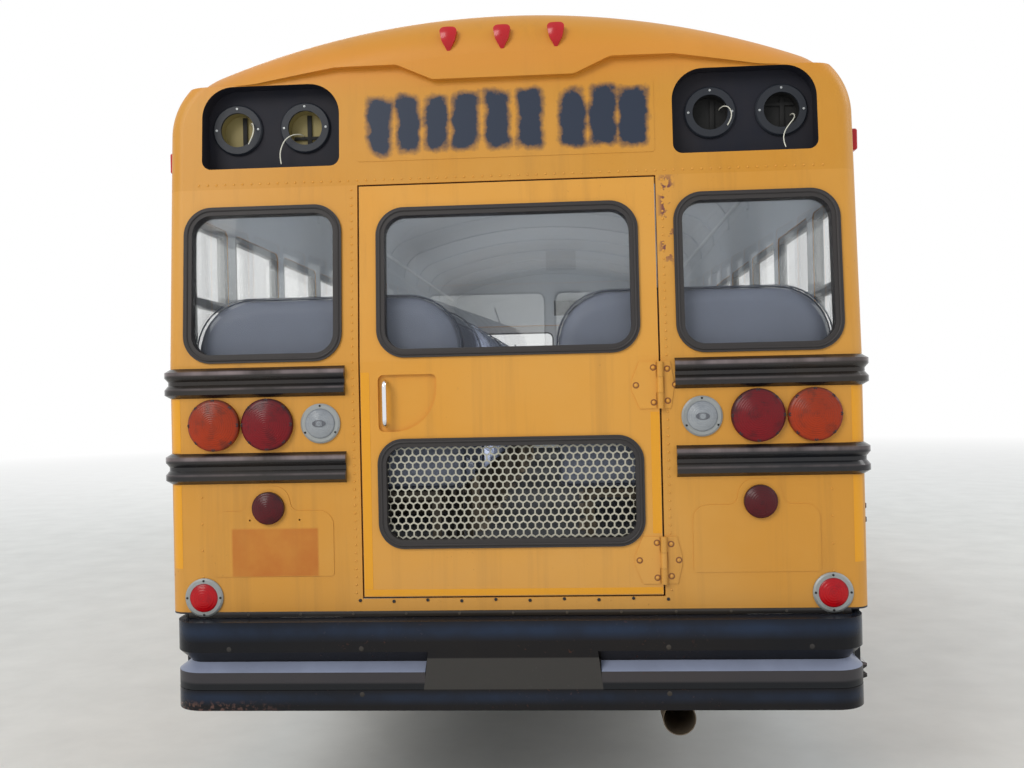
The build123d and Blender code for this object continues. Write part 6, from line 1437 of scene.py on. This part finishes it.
def guard_cells():
    """The cells that fill the opening, every second row moved by half a pitch."""
    reach = CELL_PITCH / sqrt(3)
    half_x, half_z = GUARD_HIGH.x, (GUARD_HIGH.z - GUARD_LOW.z) / 2
    middle_z = (GUARD_HIGH.z + GUARD_LOW.z) / 2
    rows = int(half_z / (1.5 * reach)) + 1
    columns = int(half_x / CELL_PITCH) + 2
    cells = []
    for row in range(-rows, rows + 1):
        for column in range(-columns, columns + 1):
            x, z = (column + 0.5 * (row % 2)) * CELL_PITCH, row * 1.5 * reach
            if inside_round(x, z, half_x + GUARD_PAST, half_z + GUARD_PAST, GUARD_CORNER):
                cells.append(guard_cell(x, middle_z + z, reach))
    return cells


cells = guard_cells()
piece("guard_sheet", joined(cells), "guard_grey", body="rear_door",
      replaces=("rear_door_guard",))
print("guard cells:", len(cells))

# %% [markdown]
# Tyres. A bus tyre has a rib tread: five ribs with four round grooves between them, and short slots
# cut into the two outer ribs. The section is drawn once as a list of points from bead to bead, and
# swung about the axle. In the slots the shoulder's points drop by the slot's depth.

# %% Tyres with tread
TYRE_R, CROWN_RISE, TREAD_EDGE, RIB_EDGE = 0.527, 0.004, 0.0995, 0.080
GROOVE_DEEP, SLOT_DEEP, SLOTS, STEPS_PER_SLOT = 0.011, 0.008, 56, 4
GROOVES, GROOVE_HALF = (-0.066, -0.023, 0.023, 0.066), 0.0052
GROOVE_SECTION = ((-1.25, 0), (-1.0, 1), (1.0, 1), (1.25, 0))  # share of its half width, of its depth
SIDEWALL = (  # distance from the middle, radius
    (0.1075, 0.292), (0.1135, 0.304), (0.1285, 0.330), (0.1320, 0.352), (0.1380, 0.392), (0.1395, 0.412),
    (0.1380, 0.440), (0.1335, 0.467), (0.1310, 0.474), (0.1285, 0.490), (0.1215, 0.511))
LINING = ((0.0935, 0.292), (0.1155, 0.352), (0.1235, 0.412), (0.0935, 0.487))
DUAL_OUTER, DUAL_INNER = 1.065, 0.735


def tread_rise(w):
    """The tread's radius across its width: a slight crown."""
    return TYRE_R - CROWN_RISE * (w / TREAD_EDGE) ** 2


def mirrored(half):
    """The same section points on the other side of the tyre's middle."""
    return [(-w, r, slotted) for w, r, slotted in half]


def tyre_section():
    """(distance from the middle, radius, slotted) points from bead to bead and back inside."""
    crown = []
    for groove in GROOVES:
        for offset, deep in GROOVE_SECTION:
            w = groove + offset * GROOVE_HALF
            crown.append((w, tread_rise(w) - deep * GROOVE_DEEP, False))
    outer = [(w, tread_rise(w), True) for w in (TREAD_EDGE, RIB_EDGE)]
    half = [(w, r, False) for w, r in SIDEWALL] + outer
    inner = [(w, r, False) for w, r in LINING]
    return mirrored(half) + crown + half[::-1] + inner + mirrored(inner)[::-1]


def tyre_shape(x, y):
    """A tyre about its axle; where a slot is, the slotted points lie deeper."""
    section = tyre_section()
    turns = SLOTS * STEPS_PER_SLOT
    points = []
    for k in range(turns):
        turn = 2 * pi * k / turns
        in_slot = k % STEPS_PER_SLOT == 0
        for w, r, slotted in section:
            radius = r - (SLOT_DEEP if slotted and in_slot else 0.0)
            points.append((x + w, y + radius * sin(turn), TYRE_R - radius * cos(turn)))
    return points, row_faces(turns, len(section), ring=True)


def middle(node, axis):
    """The middle of a node's box along X, Y or Z."""
    low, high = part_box(node)
    return (low[axis] + high[axis]) / 2


for label, side in (("left", -1), ("right", 1)):
    front = "tyre_front_" + label
    piece("tread_front_" + label, tyre_shape(middle(front, 0), middle(front, 1)), "tyre_rubber",
          body="wheel_front_" + label, replaces=(front,))
    rear = "tyres_rear_" + label
    pair_of = [tyre_shape(side * x, middle(rear, 1)) for x in (DUAL_OUTER, DUAL_INNER)]
    piece("tread_rear_" + label, joined(pair_of), "tyre_rubber", body="wheels_rear_" + label,
          replaces=(rear,))
print("tyre section points:", len(tyre_section()))

# %% [markdown]
# Wheel nuts. Ten nuts hold each disc to its hub, with a stud's end standing out of each nut. A nut
# is a six-sided turned shape with a chamfer.

# %% Wheel nuts
NUT_COUNT, NUT_CIRCLE = 10, 0.163
NUT_PROFILE = ((0.016, 0.0), (0.016, 0.014), (0.0128, 0.018), (0.010, 0.018), (0.010, 0.026), (0.0, 0.027))
FRONT_DISC_X, REAR_DISC_X = 1.111, 0.912


def wheel_nuts(face_x, side, y):
    """The nuts of one wheel, standing on its disc."""
    nuts = []
    for k in range(NUT_COUNT):
        turn = 2 * pi * k / NUT_COUNT
        place = (face_x, y + NUT_CIRCLE * sin(turn), TYRE_R + NUT_CIRCLE * cos(turn))
        nuts.append(turned(NUT_PROFILE, place, (side, 0, 0), 6))
    return nuts


for label, side in (("left", -1), ("right", 1)):
    front = wheel_nuts(side * FRONT_DISC_X, side, middle("tyre_front_" + label, 1))
    piece("nuts_front_" + label, joined(front), "zinc", body="wheel_front_" + label)
    rear = wheel_nuts(side * REAR_DISC_X, side, middle("tyres_rear_" + label, 1))
    piece("nuts_rear_" + label, joined(rear), "zinc", body="wheels_rear_" + label)
print("wheel nuts:", 4 * NUT_COUNT)

# %% [markdown]
# Seats. A school bus seat has a tall padded back with large rounded upper corners, and a flat
# cushion, both in blue-grey vinyl. One back and one cushion are made as rounded slabs and blown up
# by the cloth solver, which gives the slight swell between the seams, and all the rows share them.

# %% The padding maker
VOXEL, SMOOTHING = 0.019, 3
PRESSURE, CLOTH_FRAMES = 4.0, 20


def rounded_outline(half, low, top, corner, foot, steps=10):
    """An upright outline in (x, z): large round corners at the top, small ones at the foot."""
    corners = ((half - foot, low + foot, foot, -90), (half - corner, top - corner, corner, 0),
               (-half + corner, top - corner, corner, 90), (-half + foot, low + foot, foot, 180))
    points = []
    for cx, cz, r, start in corners:
        for k in range(steps + 1):
            turn = radians(start + 90 * k / steps)
            points.append((cx + r * cos(turn), cz + r * sin(turn)))
    return points


def slab_from(outline, y0, y1, edge):
    """A slab with a softened border, from an outline in (x, z)."""
    count = len(outline)
    cx = sum(p[0] for p in outline) / count
    cz = sum(p[1] for p in outline) / count
    points = []
    for y, shrink in ((y0, edge), (y0 + edge, 0.0), (y1 - edge, 0.0), (y1, edge)):
        for x, z in outline:
            span = hypot(x - cx, z - cz)
            points.append((x - (x - cx) / span * shrink, y, z - (z - cz) / span * shrink))
    return points, row_faces(4, count)


def apply_modifier(pad, modifier):
    """Makes a modifier's result the pad's own mesh."""
    with bpy.context.temp_override(object=pad, active_object=pad, selected_objects=[pad]):
        bpy.ops.object.modifier_apply(modifier=modifier.name)


def blow_up(pad, cap):
    """Moves the pad's points as cloth under pressure does, but only outwards and by a cap at most."""
    rest = [v.co.copy() for v in pad.data.vertices]
    cloth = pad.modifiers.new("cloth", "CLOTH")
    cloth.settings.use_pressure = True
    cloth.settings.uniform_pressure_force = PRESSURE
    cloth.settings.effector_weights.gravity = 0.0
    for number in range(1, CLOTH_FRAMES + 1):
        bpy.context.scene.frame_set(number)
    solved = pad.evaluated_get(bpy.context.evaluated_depsgraph_get())
    places = [v.co.copy() for v in solved.data.vertices]
    pad.modifiers.remove(cloth)
    outwards = [v.normal.copy() for v in pad.data.vertices]
    for vertex, start, end, out in zip(pad.data.vertices, rest, places, outwards):
        way = out * max(0.0, (end - start).dot(out))
        if way.length > cap:
            way = way.normalized() * cap
        vertex.co = start + way
    bpy.context.scene.frame_set(1)


def swelled(name, shape, cap):
    mesh = bpy.data.meshes.new(name)
    mesh.from_pydata(shape[0], [], shape[1])
    pad = bpy.data.objects.new(name, mesh)
    bpy.context.scene.collection.objects.link(pad)
    bpy.context.view_layer.objects.active = pad
    even = pad.modifiers.new("even", "REMESH")
    even.mode = "VOXEL"
    even.voxel_size = VOXEL
    apply_modifier(pad, even)
    smooth = pad.modifiers.new("smooth", "SMOOTH")
    smooth.iterations = SMOOTHING
    apply_modifier(pad, smooth)
    blow_up(pad, cap)
    pad.data.shade_smooth()
    return pad


print("padding maker ready")

# %% [markdown]
# Slabs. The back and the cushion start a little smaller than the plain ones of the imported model,
# by the slack, and the swell fills that room.

# %% One seat back and one cushion
SEAT_IN, SEAT_OUT, SLACK = 0.160, 1.145, 0.012
BACK_DEEP, BACK_LOW, BACK_TOP, BACK_CORNER, BACK_FOOT = 0.080, 1.340, 2.055, 0.190, 0.035
BACK_SOFT, BACK_SWELL = 0.016, 0.011
CUSHION_DEEP, CUSHION_Z, CUSHION_CORNER, CUSHION_FOOT = 0.400, (0.006, 0.100), 0.030, 0.016
CUSHION_SOFT, CUSHION_SWELL = 0.020, 0.010

seat_middle = (SEAT_IN + SEAT_OUT) / 2
seat_half = (SEAT_OUT - SEAT_IN) / 2 - SLACK
back_outline = rounded_outline(seat_half, BACK_LOW + SLACK, BACK_TOP - SLACK, BACK_CORNER, BACK_FOOT)
back_slab = slab_from(back_outline, SLACK, BACK_DEEP - SLACK, BACK_SOFT)
back_master = swelled("seat_back_master", back_slab, BACK_SWELL)
low, top = CUSHION_Z
cushion_outline = rounded_outline(seat_half, low, top - SLACK, CUSHION_CORNER, CUSHION_FOOT, 5)
cushion_slab = slab_from(cushion_outline, 0.0, CUSHION_DEEP - 2 * SLACK, CUSHION_SOFT)
cushion_master = swelled("cushion_master", cushion_slab, CUSHION_SWELL)
for master in (back_master, cushion_master):
    master.data.materials.append(PAINT["seat_vinyl"])
    bpy.context.scene.collection.objects.unlink(master)
print("seat back points:", len(back_master.data.vertices), "cushion:", len(cushion_master.data.vertices))

# %% [markdown]
# Rows. Eleven rows stand 711 mm apart on each side of the aisle. Every back and cushion shares its
# master's mesh. The piping along the seams of the backs is one mesh for all of them.

# %% Place the seats
ROWS, ROW_PITCH, FIRST_ROW_Y, FILL = 11, 0.711, -5.125, 0.8
PIPING_R, PIPING_IN, PIPING_OUT, PIPING_UP = 0.0032, 0.018, 1.004, 0.002


def place_seat(name, master, place):
    """A seat part that shares its master's mesh."""
    seat = bpy.data.objects.new(name, master.data)
    seat.location = place
    bpy.context.scene.collection.objects.link(seat)
    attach(seat, "root")
    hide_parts("bench_seats")


piping = []
for row in range(ROWS):
    y = FIRST_ROW_Y + ROW_PITCH * row
    for label, side in (("left", -1), ("right", 1)):
        x = side * seat_middle
        place_seat(f"seat_back_{label}_{row + 1}", back_master, (x, y, 0))
        cushion_place = (x, y + BACK_DEEP + SLACK, BACK_LOW)
        place_seat(f"seat_cushion_{label}_{row + 1}", cushion_master, cushion_place)
        for depth in (PIPING_IN, BACK_DEEP - PIPING_IN):
            line = [(x + px * PIPING_OUT, y + depth, pz + PIPING_UP) for px, pz in back_outline]
            piping.append(pipe(line, PIPING_R, 5, closed=True))
seat_piping = piece("seat_piping", joined(piping), "seam_vinyl")
print("seats:", ROWS * 4, "piping faces:", len(seat_piping.data.polygons))

# %% [markdown]
# Driver's seat. It is a cloth bucket on a pedestal: a cushion, a tall back with rounded shoulders,
# and a rubber bellows below that hides the suspension. The pads are swelled in the same way.

# %% Driver's seat
DRIVER_X, DRIVER_Y, DRIVER_HALF = -0.560, 2.475, 0.225
DRIVER_SOFT, DRIVER_SWELL, DRIVER_FILL = 0.022, 0.010, 0.7
DRIVER_BACK_Z, DRIVER_BACK_DEEP, DRIVER_BACK_AHEAD = (1.500, 2.050), 0.085, 0.015
DRIVER_CUSHION_HIGH, DRIVER_CUSHION_DEEP = 0.105, 0.480
DRIVER_CUSHION_AHEAD, DRIVER_CUSHION_Z = 0.100, 1.400
FOLDS, FOLD_OUT, FOLD_IN, FOLD_FIRST, FOLD_PITCH = 19, 0.175, 0.150, 0.020, 0.018
PLATE_LOW, PLATE_HIGH = ((0.19, 0.0), (0.19, 0.018)), ((0.20, 0.375), (0.20, 0.398), (0.0, 0.398))
PEDESTAL_AHEAD, PEDESTAL_Z = 0.340, 1.001

outline = rounded_outline(DRIVER_HALF, *DRIVER_BACK_Z, 0.110, 0.05)
slab = slab_from(outline, 0.0, DRIVER_BACK_DEEP, DRIVER_SOFT)
driver_back = swelled("driver_back", slab, DRIVER_SWELL)
driver_back.location = (DRIVER_X, DRIVER_Y + DRIVER_BACK_AHEAD, 0)
outline = rounded_outline(DRIVER_HALF, 0.0, DRIVER_CUSHION_HIGH, 0.035, 0.02, 5)
slab = slab_from(outline, 0.0, DRIVER_CUSHION_DEEP, DRIVER_SOFT)
driver_cushion = swelled("driver_cushion", slab, DRIVER_SWELL)
driver_cushion.location = (DRIVER_X, DRIVER_Y + DRIVER_CUSHION_AHEAD, DRIVER_CUSHION_Z)
for pad in (driver_back, driver_cushion):
    pad.data.materials.append(PAINT["driver_cloth"])
    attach(pad, "root")
    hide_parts("driver_seat")
folds = tuple((FOLD_IN if k % 2 else FOLD_OUT, FOLD_FIRST + FOLD_PITCH * k) for k in range(FOLDS))
pedestal_place = (DRIVER_X, DRIVER_Y + PEDESTAL_AHEAD, PEDESTAL_Z)
bellows = turned(PLATE_LOW + folds + PLATE_HIGH, pedestal_place, (0, 0, 1))
piece("driver_pedestal", bellows, "dash_plastic", replaces=("driver_seat",))
print("folds of the bellows:", len(folds))

# %% [markdown]
# Cabin trim. Pressed bows stiffen the roof over each window post, and a pale moulding covers the
# joint between the ceiling and the window header on each side. The bows follow the roof's own two
# arcs, a little inside its skin.

# %% Roof bows and mouldings
ROOF_R, ROOF_Z, SHOULDER_R, SHOULDER_X, SHOULDER_Z = 3.050, 0.020, 0.255, 0.964, 2.6435
ROOF_SKIN, BOW_GAP, BOW_HALF, BOW_DEEP, BOW_SLOPE, BOW_AHEAD = 0.040, 0.0005, 0.022, 0.007, 0.008, 0.030
ARC_STEPS = 10
MOULDING_X, MOULDING_Z, MOULDING_Y, MOULDING_R = 1.158, 2.722, (-4.55, 2.86), 0.012


def roof_line(inset):
    """(x, z) points along the roof's section, moved in by a distance, from the left to the right."""
    tip = asin(SHOULDER_X / (ROOF_R - SHOULDER_R))
    half = [(ROOF_R - inset, ROOF_Z, 0.0, tip * k / ARC_STEPS) for k in range(ARC_STEPS)]
    half += [(SHOULDER_R - inset, SHOULDER_Z, SHOULDER_X, tip + (pi / 2 - tip) * k / ARC_STEPS)
             for k in range(ARC_STEPS + 1)]
    right_half = [(x + r * sin(turn), z + r * cos(turn)) for r, z, x, turn in half]
    return [(-x, z) for x, z in reversed(right_half[1:])] + right_half


def roof_bow(y):
    """One bow: a shallow band across the ceiling with sloped sides."""
    outer, inner = roof_line(ROOF_SKIN + BOW_GAP), roof_line(ROOF_SKIN + BOW_DEEP)
    foot, crest = BOW_HALF, BOW_HALF - BOW_SLOPE
    points = []
    for (x0, z0), (x1, z1) in zip(outer, inner):
        points += [(x0, y - foot, z0), (x1, y - crest, z1), (x1, y + crest, z1), (x0, y + foot, z0)]
    return points, row_faces(len(outer), 4)


bows = [roof_bow(SEAM_FIRST + BOW_AHEAD + SEAM_PITCH * k) for k in range(POSTS)]
piece("roof_bows", joined(bows), "cabin_grey")
mouldings = [pipe([(side * MOULDING_X, y, MOULDING_Z) for y in MOULDING_Y], MOULDING_R) for side in SIDES]
piece("ceiling_mouldings", joined(mouldings), "strip_light")
print("roof bows:", len(bows), "mouldings:", len(mouldings))

# %% [markdown]
# Cabin mirror. The driver's wide mirror hangs over the windscreens, on an arm that runs up to the
# front wall.

# %% The driver's mirror
MIRROR_PLACE, MIRROR_HALF, MIRROR_DEEP = Vector((0.110, 3.060, 2.620)), Vector((0.130, 0.0, 0.085)), 0.022
ARM_POINTS, ARM_R = ((0.0, 0.021, 0.04), (0.0, 0.12, 0.07), (0.0, 0.28, 0.08)), 0.009

far_corner = MIRROR_PLACE + MIRROR_HALF + Vector((0.0, MIRROR_DEEP, 0.0))
mirror = block(MIRROR_PLACE - MIRROR_HALF, far_corner)
piece("cabin_mirror", mirror, "dash_plastic", bevel=0.006)
mirror_arm = pipe([MIRROR_PLACE + Vector(p) for p in ARM_POINTS], ARM_R)
piece("cabin_mirror_arm", mirror_arm, "zinc")
print("mirror", 2 * MIRROR_HALF.x, "m wide")

# %% [markdown]
# Wipers. Two arms stand on the cowl below the windscreens and lean inwards, each with a blade that
# lies on the glass. They are pipes and thin bars that follow the leaning front wall.

# %% Wipers
WIPER_OUT, ARM_OUT, KNEE_OUT, HOOK_OUT = 0.018, 0.030, 0.034, 0.022
FOOT_PLACE, KNEE_PLACE = (0.250, 1.668), (0.430, 1.990)  # x, z
BLADE_PLACES = ((0.360, 1.760), (0.500, 2.230))
WIPER_ARM_R, BLADE_R = 0.006, 0.007
PIVOT_PROFILE, PIVOT_AXIS = ((0.020, 0.0), (0.020, 0.030), (0.012, 0.038), (0.0, 0.040)), (0, 1, 0.14)


def front_place(side, place, out):
    """A point in front of the leaning front wall."""
    x, z = place
    return (side * x, FRONT_WALL_Y - (z - FRONT_BELT) * FRONT_LEAN + out, z)


arms, blades = [], []
for side in SIDES:
    arm = [front_place(side, FOOT_PLACE, ARM_OUT), front_place(side, KNEE_PLACE, KNEE_OUT),
           front_place(side, KNEE_PLACE, HOOK_OUT)]
    arms.append(pipe(arm, WIPER_ARM_R))
    arms.append(turned(PIVOT_PROFILE, front_place(side, FOOT_PLACE, 0.0), PIVOT_AXIS, 12))
    blades.append(pipe([front_place(side, place, WIPER_OUT) for place in BLADE_PLACES], BLADE_R, 6))
piece("wiper_arms", joined(arms), "black_enamel")
piece("wiper_blades", joined(blades), "gasket_rubber")
print("wipers:", len(blades))

# %% [markdown]
# Shade behind the grille. A dark sheet lies close behind the bars of the grille: painted shade, so
# that the engine bay shows only as darkness. It is part of the hood and tilts with it.

# %% Painted shade behind the grille
SCREEN_BORDER, SCREEN_GAP, SCREEN_THICK = 0.0245, 0.0005, 0.003
low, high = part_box("grille")
screen = block((low.x + SCREEN_BORDER, low.y + SCREEN_GAP, low.z + SCREEN_BORDER),
               (high.x - SCREEN_BORDER, low.y + SCREEN_GAP + SCREEN_THICK, high.z - SCREEN_BORDER))
piece("grille_shade_sheet", screen, "socket_cavity", body="hood")
print("grille screen", round(high.x - low.x - 2 * SCREEN_BORDER, 3), "m wide")

# %% [markdown]
# Sizes. The last step prints the size of the dressed bus.

# %% Print the size of the dressed bus
low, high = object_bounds()
print("visual box", [round(c, 3) for c in high - low])
